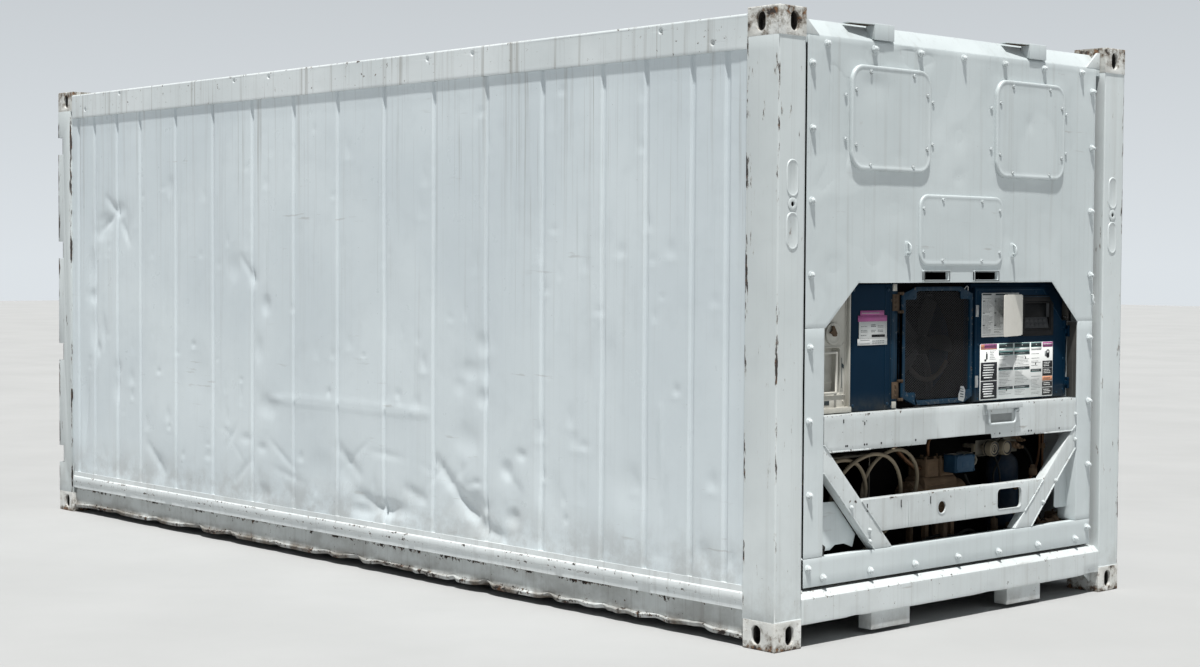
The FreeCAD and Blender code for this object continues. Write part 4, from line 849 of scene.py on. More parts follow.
# ================================================================ castings, posts, rails
def rough_disp(amp, s, seed=0.0):
    def f(co, nrm):
        return nrm * (-(abs(nz(co, s, seed)) * amp + amp * 0.1))
    return f


def casting_disp(co, nrm):
    return nrm * (-(0.0012 * abs(nz(co, 26.0)) + 0.0010 * abs(nz(co, 9.0, 3.0))))


for nd in ("corner_castings_bottom", "corner_castings_top"):
    skin(nd, nd.replace("corner_", "cast_"), "casting", 0.0035, (0.0, 0.0, 0.0), None, 3, 30, 40)


def post_disp(co, nrm):
    d = 0.0008 * abs(nz(co, 5.0)) + 0.0006 * abs(nz(co, 17.0, 2.0))
    if co.z < 1.3 and abs(co.y) > 1.19:
        d += 0.0018 * max(0.0, nz(co, 8.0, 7.0)) * (1.3 - co.z)
    if nrm.x > 0.6 and co.x > 3.02:
        d += 0.0032
    return nrm * (-d)


skin("front_corner_posts", "front_posts", "post", 0.0015, (0.0, 0.0, 0.06), post_disp, 2, 30, 30)
skin("rear_frame", "rear_frame_skin", "post", 0.003, (0, 0, 0), None, 2, 30, 34)


# raised stadium pads are drawn as separate pressings, a little domed
def stadium_loop(cy, cz, h, w, k=10):
    r = w / 2
    out = []
    for c, a0 in ((cz + h / 2 - r, 0), (cz - h / 2 + r, 180)):
        for i in range(k + 1):
            a = math.radians(a0 + 180.0 * i / k)
            out.append((cy + r * math.cos(a), c + r * math.sin(a)))
    return out


def loft_x(b, loops, xs, cap=True):
    """Loops of (y, z) at the given x values."""
    t = bmesh.new()
    R = [[t.verts.new((x, y, z)) for y, z in lp] for lp, x in zip(loops, xs)]
    n = len(R[0])
    for a, c in zip(R, R[1:]):
        for k in range(n):
            k2 = (k + 1) % n
            t.faces.new((a[k], a[k2], c[k2], c[k]))
    if cap:
        t.faces.new(R[-1])
    bmesh.ops.recalc_face_normals(t, faces=t.faces)
    b.join(t)


b = B()
for sy in (-1, 1):
    for zc in (1.9045, 1.6925):
        L = [stadium_loop(sy * 1.132, zc, h, w) for h, w in ((.153, .072), (.151, .070), (.146, .065), (.142, .061), (.136, .055), (.130, .049))]
        loft_x(b, L, [3.0240, 3.0275, 3.0289, 3.0290, 3.0276, 3.0266])
    yb = sy * 1.132
    b.lathe([(0.0105, -0.020), (0.0105, -0.0006), (0.0125, 0.0), (0.024, 0.0), (0.0275, -0.002)], (3.029, yb, 1.800), (1, 0, 0), 28, caps=False)
put("post_pressings", b.mesh("post_pressings"), ROOT, "post", 50)
# near-black disc at the bottom of each boss hole: painted shade
b = B()
for sy in (-1, 1):
    b.cyl(0.0103, (3.0215, sy * 1.132, 1.8), (3.0225, sy * 1.132, 1.8), 20)
put("post_boss_depth", b.mesh("post_boss_depth"), ROOT, "darkin", 50)


def bead(b, pts, r, seed=0, step=0.006):
    """A weld bead along a polyline."""
    P = [Vector(p) for p in pts]
    out = []
    rad = []
    rr = random.Random(seed)
    for a, c in zip(P, P[1:]):
        n = max(2, int((c - a).length / step))
        for i in range(n):
            out.append(a.lerp(c, i / n))
    out.append(P[-1])
    t = bmesh.new()
    seg = 6
    rings = []
    for i, p in enumerate(out):
        d = (out[min(i + 1, len(out) - 1)] - out[max(i - 1, 0)]).normalized()
        u = d.orthogonal().normalized()
        w = d.cross(u)
        q = r * (0.8 + 0.35 * (i % 2) + 0.25 * rr.random())
        rings.append([t.verts.new(p + (u * math.cos(2 * math.pi * k / seg) + w * math.sin(2 * math.pi * k / seg)) * q) for k in range(seg)])
    for x, y in zip(rings, rings[1:]):
        for k in range(seg):
            k2 = (k + 1) % seg
            t.faces.new((x[k], x[k2], y[k2], y[k]))
    t.faces.new(rings[0][::-1])
    t.faces.new(rings[-1])
    bmesh.ops.recalc_face_normals(t, faces=t.faces)
    b.join(t)


b = B()
for sx in (1, -1):
    for sy in (1, -1):
        for z in (0.118, 2.473):
            x0, x1 = sx * (HX - .0035), sx * (HX - 0.176)
            y0, y1 = sy * (HY - .0035), sy * (HY - (0.160 if sx > 0 else .118))
            bead(b, [(x1, y0, z), (x0, y0, z), (x0, y1, z)], 0.0034, int(z * 10) + sx + sy)
    for sy in (1, -1):
        xb = sx * (HX - 0.178)
        for za, zb in ((0.30, 0.118), (2.425, 2.565)):
            bead(b, [(xb, sy * (HY - .0025), za), (xb, sy * (HY - .0025), zb)], 0.0022, 5)
for v in b.bm.verts:
    v.co.x = min(max(v.co.x, -HX), HX)
    v.co.y = min(max(v.co.y, -HY), HY)
put("weld_beads", b.mesh("weld_beads"), ROOT, "post", 70)


# top rails with their round dimples
DIMPLES = ((2.657, 2.464), (2.350, 2.537), (1.082, 2.537), (0.736, 2.535), (-0.653, 2.541), (-0.998, 2.540), (-2.261, 2.547), (-2.682, 2.473))


def rails():
    bm = cad_bm("top_side_rails")
    es = [e for e in bm.edges if len(e.link_faces) == 2 and e.calc_face_angle(0.0) > math.radians(25) and abs(e.verts[0].co.y) > 1.20]
    bmesh.ops.bevel(bm, geom=es, offset=0.003, segments=2, profile=0.5, affect="EDGES", clamp_overlap=True)
    xs = set()
    for x, z in DIMPLES:
        for d in (-.0150, -.0132, -.0105, -.0085, -.0060, -.003, 0, .003, .0060, .0085, .0105, .0132, .0150):
            xs.add(round(x + d, 5))
    x = -2.80
    while x < 2.84:
        if all(abs(x - q) > 0.02 for q in xs):
            xs.add(round(x, 4))
        x += 0.09
    for x in sorted(xs):
        bmesh.ops.bisect_plane(bm, geom=bm.verts[:] + bm.edges[:] + bm.faces[:], plane_co=(x, 0, 0), plane_no=(1, 0, 0), dist=1e-6)
    zs = set()
    for _, z in DIMPLES:
        for d in (-.0150, -.0132, -.0105, -.0085, -.0060, -.003, 0, .003, .0060, .0085, .0105, .0132, .0150):
            q = round(z + d, 5)
            if q < 2.5605 and all(abs(q - w) > 0.0011 for w in zs):
                zs.add(q)
    for z in sorted(zs) + [2.44, 2.50]:
        geo = [f for f in bm.faces if abs(f.calc_center_median().y) > 1.2185]
        gv = set()
        ge = set()
        for f in geo:
            gv.update(f.verts)
            ge.update(f.edges)
        bmesh.ops.bisect_plane(bm, geom=list(gv) + list(ge) + geo, plane_co=(0, 0, z), plane_no=(0, 0, 1), dist=1e-6)
    for v in bm.verts:
        if abs(v.co.y) > 1.2183:
            d = 0.0
            for x, z in DIMPLES:
                xx = x if v.co.y < 0 else x
                r = math.hypot(v.co.x - xx, v.co.z - z)
                if r < 0.016:
                    ring = 0.006 if r < 0.0087 else (0.006 * (0.0140 - r) / 0.0053 if r < 0.0140 else 0.0)
                    if r < 0.0062:
                        ring = 0.013
                    d = max(d, ring)
            wob = 0.0016 * max(0.0, nz((v.co.x, 0, v.co.z), 1.7, 4.0)) + 0.0012 * max(0.0, nz((v.co.x, 0, v.co.z), 6.0, 1.0))
            if d == 0.0:
                d = wob * (1.0 if 2.43 < v.co.z < 2.555 else 0.4)
            v.co.y -= math.copysign(d, v.co.y)
    me = bpy.data.meshes.new("rail_skin")
    bm.to_mesh(me)
    bm.free()
    put("top_rail_skin", me, ROOT, "rail", 34, ["top_side_rails"])


rails()
b = B()
for x, z in DIMPLES:
    for sy in (-1, 1):
        b.lathe([(0.0, 0.0), (0.0045, 0.0), (0.0058, -0.0004)], (x, sy * (HY - 0.0115), z), (0, sy, 0), 14, caps=False)
put("rail_plug_heads", b.mesh("rail_plug_heads"), ROOT, "ink_dark", 50)


# bottom rails with a bent and torn lower flange
def low_rail(sy, seed):
    prof = [(1.2130, .250), (1.2130, .2245), (1.2140, .2235), (1.2185, .2195), (1.2190, .2185), (1.2190, .1905), (1.2186, .1895),
            (1.2146, .1845), (1.2140, .1835), (1.2140, .1520), (1.2130, .1506), (1.1985, .1476), (1.1970, .1460), (1.1970, .120), (1.1970, .095), (1.1970, .072),
            (1.1970, .0535), (1.1980, .0520), (1.2090, .0465), (1.2100, .0455), (1.2100, .0385), (1.2100, .0300), (1.2040, .0300), (1.1410, .0300),
            (1.1410, .0380), (1.1890, .0380), (1.1900, .0390), (1.1900, .150), (1.1410, .150), (1.1410, .250)]
    x0, x1 = -2.851, 2.851
    n = 420
    rr = random.Random(seed)
    kinks = [(rr.uniform(-2.7, 2.7), rr.uniform(0.015, 0.07), rr.uniform(0.3, 1.0)) for _ in range(38)]
    dings = [(rr.uniform(-2.7, 2.7), rr.uniform(0.02, 0.10), rr.uniform(0.2, 1.0)) for _ in range(30)]
    V, F = [], []
    for i in range(n + 1):
        x = x0 + (x1 - x0) * i / n
        low = 0.35 * nz((x, seed, 0), 1.3) + 0.25 * nz((x, seed, 3), 5.0) + 0.12 * nz((x, seed, 5), 19.0)
        kk = sum(a * math.exp(-((x - c) / w) ** 2) for c, w, a in kinks)
        dd = sum(a * math.exp(-((x - c) / w) ** 2) for c, w, a in dings)
        endf = min(1.0, (x1 - abs(x)) / 0.10)
        for y, z in prof:
            yy, zz = y, z
            if z < 0.06 and y > 1.15:
                t = (0.06 - z) / 0.03
                out = max(0.0, 0.004 + 0.010 * low + 0.012 * kk) * endf * t
                yy = y - out * 1.2
                up = max(0.0, 0.0015 + 0.009 * low + 0.010 * kk) * endf * (1.0 if y > 1.195 else 0.4)
                zz = z + up
            elif 0.06 <= z < 0.15 and y > 1.18:
                yy = y - (max(0.0, 0.0025 * low + 0.003 * nz((x, z * 3, seed), 6.0)) + 0.0018 * dd) * endf
            elif z >= 0.15 and y > 1.2:
                yy = y - (0.0012 * max(0, nz((x, z * 5, seed), 9.0)) + 0.0010 * dd) * endf
            V.append((x, sy * yy, zz))
    m_ = len(prof)
    for i in range(n):
        for k in range(m_):
            k2 = (k + 1) % m_
            q = (i * m_ + k, i * m_ + k2, (i + 1) * m_ + k2, (i + 1) * m_ + k)
            F.append(q if sy < 0 else q[::-1])
    F.append(tuple(range(m_))[::-1] if sy < 0 else tuple(range(m_)))
    F.append(tuple(n * m_ + k for k in range(m_)) if sy < 0 else tuple(n * m_ + k for k in range(m_))[::-1])
    return V, F


for sy, sd in ((-1, 3), (1, 8)):
    V, F = low_rail(sy, sd)
    me = bpy.data.meshes.new("low_rail")
    me.from_pydata(V, [], F)
    me.update()
    bm = bmesh.new()
    bm.from_mesh(me)
    bmesh.ops.recalc_face_normals(bm, faces=bm.faces)
    bm.to_mesh(me)
    bm.free()
    ob = put("low_rail_left" if sy < 0 else "low_rail_right", me, ROOT, ["lowrail", "trim"], 34, ["bottom_side_rails"])
    idx = [1 if p.center.z > 0.1515 else 0 for p in me.polygons]
    me.polygons.foreach_set("material_index", idx)

# front header, sill, roof
skin("front_header", "header_skin", "face", 0.002, (0, 0.08, 0), lambda c, n: n * (-0.0016 * abs(nz(c, 3.5)) - 0.0008 * abs(nz(c, 12.0))), 2, 20, 30)


def sill_disp(co, nrm):
    d = 0.0010 * abs(nz(co, 4.0)) + 0.0006 * abs(nz(co, 14.0))
    v = nrm * (-d)
    if co.x > 3.0 and co.z < 0.115 and co.z > 0.08:
        q = math.exp(-((abs(co.y - 1.0)) / 0.06) ** 2) + 0.6 * math.exp(-((co.y + 0.72) / 0.04) ** 2) + 0.5 * math.exp(-((co.y - 0.2) / 0.05) ** 2)
        v += Vector((-0.006 * q, 0, 0.006 * q))
    return v


skin("front_sill", "sill_skin", "sill", 0.0025, (0, 0.035, 0.02), sill_disp, 2, 20, 30)


def roof_disp(co, nrm):
    if nrm.z > 0.5:
        return Vector((0, 0, -(0.0015 + 0.004 * max(0.0, nz(co, 1.1)) + 0.0015 * max(0, nz(co, 5.0)))))
    return Vector((0, 0, 0))


skin("roof_panel", "roof_skin", "roof", 0.0, (0.12, 0.12, 0), roof_disp, 1, 30, 40)

for nd in ("floor_panel", "cross_members"):
    paint(nd, "under")
paint("t_bar_floor", "alu")
# the bulkhead's machinery side and the evaporator housing are near-black: painted shade in the bay
ob = skin("front_bulkhead", "bulkhead_skin", ["lining", "darkin"], 0.0, (0, 0, 0), None, 1, 30, 30)
xm = max(v.co.x for v in ob.data.vertices)
ob.data.polygons.foreach_set("material_index", [1 if q.center.x > xm - .002 else 0 for q in ob.data.polygons])
paint("evaporator_housing", "darkin")


# ================================================================ upper face plate
def in_plate(co):
    return co.x > 2.9985 and co.x < 3.0005


FACE_DENTS = [(-.56, 2.33, .10, .09, .006), (-.745, 2.235, .03, .035, .005), (-.79, 2.13, .12, .22, .006), (-.60, 2.44, .06, .05, .006),
              (-.02, 2.12, .05, .05, .004), (-.02, 1.94, .04, .03, .004), (-.59, 1.60, .05, .05, .004), (-.70, 1.72, .20, .14, .004),
              (-.33, 2.43, .08, .04, .007), (.20, 1.72, .10, .10, .003), (.60, 1.72, .16, .14, .004), (.1, 2.3, .10, .10, .003),
              (-.85, 1.55, .06, .05, .004), (.82, 2.2, .08, .14, .004), (-.45, 1.80, .10, .06, .003), (.45, 1.50, .08, .04, .003)]
FACE_CREASE = [(-.86, 2.36, -.74, 2.22, .018, .005), (-.74, 2.22, -.79, 2.02, .020, .004), (-.79, 2.02, -.93, 1.88, .022, .004),
               (-.42, 2.475, -.22, 2.44, .015, .006)]


def plate_dent(y, z, seed, dents, creases, k=0.0022):
    d = 0.0
    for a, c, ra, rc, h in dents:
        q = ((y - a) / ra) ** 2 + ((z - c) / rc) ** 2
        if q < 6:
            d += h * math.exp(-q * 1.1)
    for y0, z0, y1, z1, w, h in creases:
        dy, dz = y1 - y0, z1 - z0
        L2 = dy * dy + dz * dz
        t = min(1, max(0, ((y - y0) * dy + (z - z0) * dz) / L2))
        dist = math.hypot(y - (y0 + t * dy), z - (z0 + t * dz))
        d += h * math.exp(-(dist / w) ** 2)
    d += k * (0.5 + 0.5 * nz((y, z, seed), 2.2)) + 0.35 * k * (0.5 + 0.5 * nz((y, z, seed), 8.0))
    return d


BOLTS = []
for i in range(7):
    BOLTS.append((-0.9 + 0.3 * i, 2.462))
    BOLTS.append((-0.9 + 0.3 * i, 0.267))
for sy in (-1, 1):
    for z in (2.375, 2.110, 1.815, 1.517, 1.216, 0.915, 0.614, 0.313):
        BOLTS.append((sy * 0.990, z))


def face_disp(co, nrm):
    if nrm.x < 0.5 or co.x < 2.995 or co.x > 3.001:
        return Vector((0, 0, 0))
    e = min(1.0, (1.018 - abs(co.y)) / 0.03, max(0.0, (2.487 - co.z) / 0.02))
    for y, z in BOLTS:
        r = math.hypot(co.y - y, co.z - z)
        if r < 0.05:
            e = min(e, max(0.0, (r - 0.015) / 0.035))
    for c in (-.495, .495):
        if abs(co.y - c) < 0.275 and 1.94 < co.z < 2.40:
            e = 0.0
    if abs(co.y) < 0.31 and 1.545 < co.z < 1.875:
        e = 0.0
    if abs(co.y) < 0.28 and co.z < 1.545:
        e = 0.0
    return Vector((-max(0.0, e) * plate_dent(co.y, co.z, 2.0, FACE_DENTS, FACE_CREASE), 0, 0))


def plate_skin(node, name, mat, disp, step, bevel=0.0014):
    bm = cad_bm(node)
    if bevel:
        es = [e for e in bm.edges if len(e.link_faces) == 2 and e.calc_face_angle(0.0) > math.radians(40)]
        bmesh.ops.bevel(bm, geom=es, offset=bevel, segments=2, profile=0.5, affect="EDGES", clamp_overlap=True)
    co = np.array([v.co for v in bm.verts])
    lo, hi = co.min(0), co.max(0)
    cut_grid(bm, 1, lo[1], hi[1], step)
    cut_grid(bm, 2, lo[2], hi[2], step)
    bm.normal_update()
    for v in bm.verts:
        v.co += disp(v.co, v.normal)
    me = bpy.data.meshes.new(name)
    bm.to_mesh(me)
    bm.free()
    return put(name, me, ROOT, mat, 34, [node])


plate_skin("upper_face_plate", "face_plate_skin", "face", face_disp, 0.022)
plate_skin("face_strips", "face_strip_skin", "face", lambda c, n: Vector((-0.0012 * (0.5 + 0.5 * nz(c, 6.0)) if n.x > 0.5 and 2.99 < c.x < 3.001 else 0, 0, 0)), 0.05)


# ---------------------------------------------------------------- access panels
def raised_panel(b, y0, y1, z0, z1, r, h, dents, seed):
    """Pressed lid: rolled edge, slightly sunken then crowned middle, with dents."""
    x = FACE
    steps = [(0.0, 0.0, 0.0), (0.0, 0.35, 0), (0.0012, 0.72, 0), (0.0035, 0.93, 0), (0.0065, 1.0, 0), (0.0125, 1.0, 0), (0.0165, 0.90, 0),
             (0.021, 0.84, 0), (0.030, 0.84, 0)]
    loops, xs = [], []
    for inset, f, _ in steps:
        loops.append(rrect(y0 + inset, y1 - inset, z0 + inset, z1 - inset, max(0.006, r - inset), 10))
        xs.append(x + h * f)
    t = bmesh.new()
    R = [[t.verts.new((xx, y, z)) for y, z in lp] for lp, xx in zip(loops, xs)]
    n = len(R[0])
    for a, c in zip(R, R[1:]):
        for k in range(n):
            k2 = (k + 1) % n
            t.faces.new((a[k], a[k2], c[k2], c[k]))
    cap = t.faces.new(R[-1])
    bmesh.ops.recalc_face_normals(t, faces=t.faces)
    if cap.normal.x < 0:
        bmesh.ops.reverse_faces(t, faces=t.faces)
    geo = [cap]
    for ax, lo, hi in ((1, y0, y1), (2, z0, z1)):
        k = int((hi - lo) / 0.016)
        for i in range(1, k):
            c = lo + (hi - lo) * i / k
            fs = [f for f in t.faces if f.normal.x > 0.99 and f.calc_center_median().x > x + h * 0.8]
            vv, ee = set(), set()
            for f in fs:
                vv.update(f.verts)
                ee.update(f.edges)
            no = (0, 1, 0) if ax == 1 else (0, 0, 1)
            co = (0, c, 0) if ax == 1 else (0, 0, c)
            bmesh.ops.bisect_plane(t, geom=list(vv) + list(ee) + fs, plane_co=co, plane_no=no, dist=1e-6)
    cy, cz = (y0 + y1) / 2, (z0 + z1) / 2
    for v in t.verts:
        if v.co.x > x + h * 0.82:
            my, mz = min(v.co.y - y0, y1 - v.co.y), min(v.co.z - z0, z1 - v.co.z)
            w = min(1.0, max(0.0, (min(my, mz) - 0.030) / 0.05))
            if w > 0:
                v.co.x = min(v.co.x + 0.0010 * w, x + h) - w * plate_dent(v.co.y, v.co.z, seed, dents, [], 0.0012)
    b.join(t)


b = B()
raised_panel(b, -.7575, -.2325, 1.952, 2.390, .075, .014, [(-.60, 2.30, .12, .08, .0045), (-.44, 2.0, .03, .03, .003), (-.62, 2.34, .06, .04, .003)], 5)
raised_panel(b, .2325, .7575, 1.952, 2.390, .075, .014, [(.42, 2.36, .12, .03, .004), (.48, 2.2, .03, .03, .003)], 8)
raised_panel(b, -.297, .297, 1.556, 1.863, .055, .008, [(.05, 1.70, .1, .08, .0015)], 9)
put("access_panel_lids", b.mesh("access_panel_lids"), ROOT, "face", 50, ["access_panels"])


def bolt_proto(seg=14):
    """Dome nut on a washer with a stud tip, axis +X, seated at x=0."""
    p = B()
    p.lathe([(0.0175, 0.0), (0.0175, 0.0020), (0.0165, 0.0030), (0.012, 0.0034)], (0, 0, 0), (1, 0, 0), 20, caps=False)
    t = bmesh.new()
    rings = []
    for r, h in ((0.0138, 0.003), (0.0138, 0.0095), (0.0124, 0.0125), (0.0088, 0.0150), (0.0066, 0.0160)):
        rings.append([t.verts.new((h, r * math.cos(math.pi / 3 * k), r * math.sin(math.pi / 3 * k))) for k in range(6)])
    for a, c in zip(rings, rings[1:]):
        for k in range(6):
            t.faces.new((a[k], a[(k + 1) % 6], c[(k + 1) % 6], c[k]))
    t.faces.new(rings[-1])
    bmesh.ops.recalc_face_normals(t, faces=t.faces)
    p.join(t)
    p.lathe([(0.0068, 0.0150), (0.0068, 0.0200), (0.0058, 0.0214), (0.0, 0.0218)], (0, 0, 0), (1, 0, 0), 12, caps=False)
    return p.bm


def screw_proto(r=0.0075, h=0.005):
    p = B()
    t = bmesh.new()
    p.lathe([(r * 1.25, 0), (r * 1.25, h * 0.18), (r * 1.1, h * 0.28)], (0, 0, 0), (1, 0, 0), 14, caps=False)
    rings = []
    for q, x in ((r, h * .2), (r, h * .82), (r * .85, h), (r * .45, h), (r * .4, h * .7)):
        rings.append([t.verts.new((x, q * math.cos(math.pi / 3 * k), q * math.sin(math.pi / 3 * k))) for k in range(6)])
    for a, c in zip(rings, rings[1:]):
        for k in range(6):
            t.faces.new((a[k], a[(k + 1) % 6], c[(k + 1) % 6], c[k]))
    t.faces.new(rings[-1])
    bmesh.ops.recalc_face_normals(t, faces=t.faces)
    p.join(t)
    return p.bm


def rotx(a):
    return Matrix.Rotation(a, 4, "X")


rr = random.Random(4)
mats = []
for y, z in BOLTS:
    tilt = Matrix.Rotation(rr.uniform(-.06, .06), 4, "Y") @ Matrix.Rotation(rr.uniform(-.06, .06), 4, "Z")
    mats.append(Matrix.Translation((FACE + 0.0002, y + rr.uniform(-.003, .003), z + rr.uniform(-.003, .003))) @ tilt @ rotx(rr.uniform(0, 1)))
me = instances(bolt_proto(), mats)
put("frame_bolts", me, ROOT, "white", 40)

SC = []
for sy in (-1, 1):
    c = sy * .495
    for dy in (-.141, .141):
        SC += [(c + dy, 2.363, .0118), (c + dy, 1.974, .0118)]
    for dy in (-.235, .235):
        SC += [(c + dy, 2.284, .0118), (c + dy, 2.055, .0118)]
    for dy in (-.286, .286):
        SC += [(c + dy, 2.258, -.0005), (c + dy, 2.077, -.0005)]
for y in (-.139, .139):
    SC += [(y, 1.841, .0068), (y, 1.578, .0068)]
for y in (-.271, .271):
    SC += [(y, 1.801, .0068), (y, 1.615, .0068)]
mats = [Matrix.Translation((FACE + x, y, z)) @ rotx(rr.uniform(0, 1)) for y, z, x in SC]
put("panel_screws", instances(screw_proto(0.0078, 0.0055), mats), ROOT, "white", 40)

# small dark washers behind the panel screws
p = B()
p.lathe([(0.0, 0.0004), (0.0112, 0.0004), (0.0118, 0.0)], (0, 0, 0), (1, 0, 0), 16, caps=False)
put("panel_washers", instances(p.bm, [Matrix.Translation((FACE + x - (0.0 if x > 0 else 0.0003), y, z)) for y, z, x in SC if x > 0.01]), ROOT, "ink_grey", 40)

b = B()
# recessed slots: rim and tube; the near-black plug behind them is painted shade
for sy in (-1, 1):
    c = sy * .178
    o = rrect(c - .092, c + .092, 1.4865, 1.5355, .006, 3)
    o1 = rrect(c - .0905, c + .0905, 1.488, 1.534, .006, 3)
    i1 = rrect(c - .0845, c + .0845, 1.4925, 1.5295, .004, 3)
    i2 = rrect(c - .0835, c + .0835, 1.4935, 1.5285, .004, 3)
    loft_x(b, [o, o, o1, i1, i2, i2], [3.0, 3.0078, 3.009, 3.009, 3.0078, 2.90], cap=True)
put("slot_rims", b.mesh("slot_rims"), ROOT, "face", 40)

# near-black plug filling each slot: painted shade in its depth
b = B()
for sy in (-1, 1):
    c = sy * .178
    lp = rrect(c - .0830, c + .0830, 1.4940, 1.5280, .004, 3)
    loft_x(b, [lp, lp], [2.990, 2.902], cap=True)
put("slot_depth", b.mesh("slot_depth"), ROOT, "darkin", 40)

# cable hooks: pressed eyelets with a bent tongue
b = B()
for sy in (-1, 1):
    c = sy * .375
    L = [stadium_loop(c, 1.627, h, w) for h, w in ((.062, .022), (.061, .021), (.056, .016), (.050, .010), (.046, .007))]
    loft_x(b, L, [3.0002, 3.0045, 3.0055, 3.0030, 3.0012])
    b.tube([(3.002, c, 1.652), (3.012, c, 1.650), (3.0215, c, 1.640), (3.0238, c, 1.624), (3.0205, c, 1.607), (3.012, c, 1.598), (3.004, c, 1.600)], 0.0040, 10)
put("cable_hooks", b.mesh("cable_hooks"), ROOT, "face", 50)

# generator brackets on the header
b = B()
for sy in (-1, 1):
    c = sy * .545
    t = .005
    x0, x1 = 2.944, 3.008
    # top flange with its pointed tail
    b.prism([(x0, c - .200, 2.560), (2.978, c - .200, 2.560), (3.003, c - .060, 2.560), (3.003, c - .058, 2.560), (3.003, c - .010, 2.560), (x0, c - .010, 2.560)],
            (0, 0, t), 0.0012)
    b.prism([(x0, c - .010, 2.561), (x1 - .002, c - .010, 2.561), (x1 - .002, c + .062, 2.561), (x0, c + .062, 2.561)], (0, 0, t - .001), 0.0010)
    # front plate, folded returns
    b.box(x1 - .006, x1, c - .062, c + .062, 2.498, 2.566, 0.0022, 3)
    b.box(2.955, x1 - .003, c - .062, c - .057, 2.502, 2.563, 0.0012)
    b.box(2.955, x1 - .003, c + .057, c + .062, 2.502, 2.563, 0.0012)
    b.box(2.996, x1 - .002, c - .060, c + .060, 2.498, 2.503, 0.0012)
put("generator_bracket_skins", b.mesh("generator_bracket_skins"), ROOT, "face", 34, ["generator_brackets"])
b = B()
for sy in (-1, 1):
    c = sy * .545
    b.prism([(2.946, c - .19, 2.5592), (2.976, c - .19, 2.5592), (3.000, c - .062, 2.5592), (3.000, c - .058, 2.5592), (2.946, c - .058, 2.5592)], (0, 0, .0006))
put("bracket_rust_lip", b.mesh("bracket_rust_lip"), ROOT, "hinge", 34)

# gussets at the header's ends, small gussets under the sill and a lashing loop
b = B()
for sy in (-1, 1):
    y0 = sy * 1.054
    b.prism([(2.985, y0, 2.491), (2.985, y0 - sy * .11, 2.491), (2.985, y0 - sy * .02, 2.5655), (2.985, y0, 2.5655)], (0.012, 0, 0), 0.0015)
    b.prism([(2.975, sy * 1.055, 0.094), (2.975, sy * .990, 0.094), (2.975, sy * 1.055, 0.040)], (0.008, 0, 0), 0.0012)
b.tube([(3.002, 1.004, 1.422), (3.010, 1.004, 1.420), (3.015, 1.003, 1.408), (3.013, 1.000, 1.396), (3.016, 1.006, 1.384), (3.010, 1.010, 1.374), (3.002, 1.010, 1.372)], 0.0038, 8)
put("gussets_and_loop", b.mesh("gussets_and_loop"), ROOT, "sill", 34)


# ================================================================ machinery covers
def soft_dent(amp, s, seed, lim):
    def f(c, n):
        if n.x > 0.5 and c.x > lim:
            return Vector((-amp * (0.5 + 0.5 * nz(c, s, seed)), 0, 0))
        return Vector((0, 0, 0))
    return f


skin("side_cover", "side_cover_skin", "blue", 0.003, (0, 0.03, 0.03), soft_dent(0.0014, 5.0, 2.0, 2.938), 3)
b = B()
b.box(2.9395, 2.9412, -.4425, -.4400, .945, 1.470, .0006)
b.box(2.9395, 2.9408, -.4090, -.4060, .945, 1.470, .0005)
for z in (.962, 1.452):
    for y in (-.650, -.424):
        b.lathe([(0.0, .0042), (.006, .0042), (.0075, .003), (.0082, 0)], (2.9395, y, z), (1, 0, 0), 12, caps=False)
put("side_cover_folds", b.mesh("side_cover_folds"), ROOT, "guardblue", 40)

skin("vent_panel", "vent_panel_skin", "beige", 0.0018, (0, 0, 0), None, 2)
skin("vent_handle", "vent_handle_skin", "beige", 0.0, (0, 0, 0), None, 2, 30, 60)
b = B()
# lower disc with its ring, hub and stop
b.lathe([(.046, 0), (.046, .0050), (.044, .0070), (.038, .0070), (.036, .0045), (.022, .0045), (.020, .0075), (.010, .0085), (0, .0085)], (2.8845, -.776, 1.064), (1, 0, 0), 36, caps=False)
b.box(2.889, 2.8955, -.820, -.735, 1.058, 1.070, .002)
# scale strip with its slot
b.box(2.9275, 2.9295, -.7185, -.7010, 1.030, 1.178, .0006)
# tray lip and stiffening ribs
b.box(2.9275, 2.9300, -.894, -.866, 1.235, 1.250, .001)
b.box(2.9275, 2.9310, -.690, -.684, .965, 1.490, .001)
b.box(2.9275, 2.9325, -.894, -.690, 1.010, 1.0135, .0008)
b.box(2.9275, 2.9325, -.864, -.716, 1.213, 1.2165, .0008)
for y, z in ((-.885, 1.2), (-.885, 1.03), (-.700, 1.225), (-.700, 1.01), (-.885, 1.36), (-.700, 1.46), (-.70, .985)):
    b.lathe([(0.0, .0035), (.004, .0035), (.0055, .002), (.006, 0)], (2.9278, y, z), (1, 0, 0), 10, caps=False)
put("vent_panel_details", b.mesh("vent_panel_details"), ROOT, "beige", 40)
b = B()
b.box(2.9291, 2.9299, -.7125, -.7085, 1.040, 1.168, .0003)
b.prism([(2.9285, -.7125, 1.130), (2.9285, -.7000, 1.122), (2.9285, -.6985, 1.136), (2.9285, -.7105, 1.146)], (.004, 0, 0), .0006)
b.box(2.9281, 2.9291, -.818, -.786, .972, .990, .0006)
for k in range(3):
    b.box(2.9288, 2.9296, -.815, -.789, .975 + k * .005, .977 + k * .005)
put("vent_panel_marks", b.mesh("vent_panel_marks"), ROOT, "ink_dark", 40)

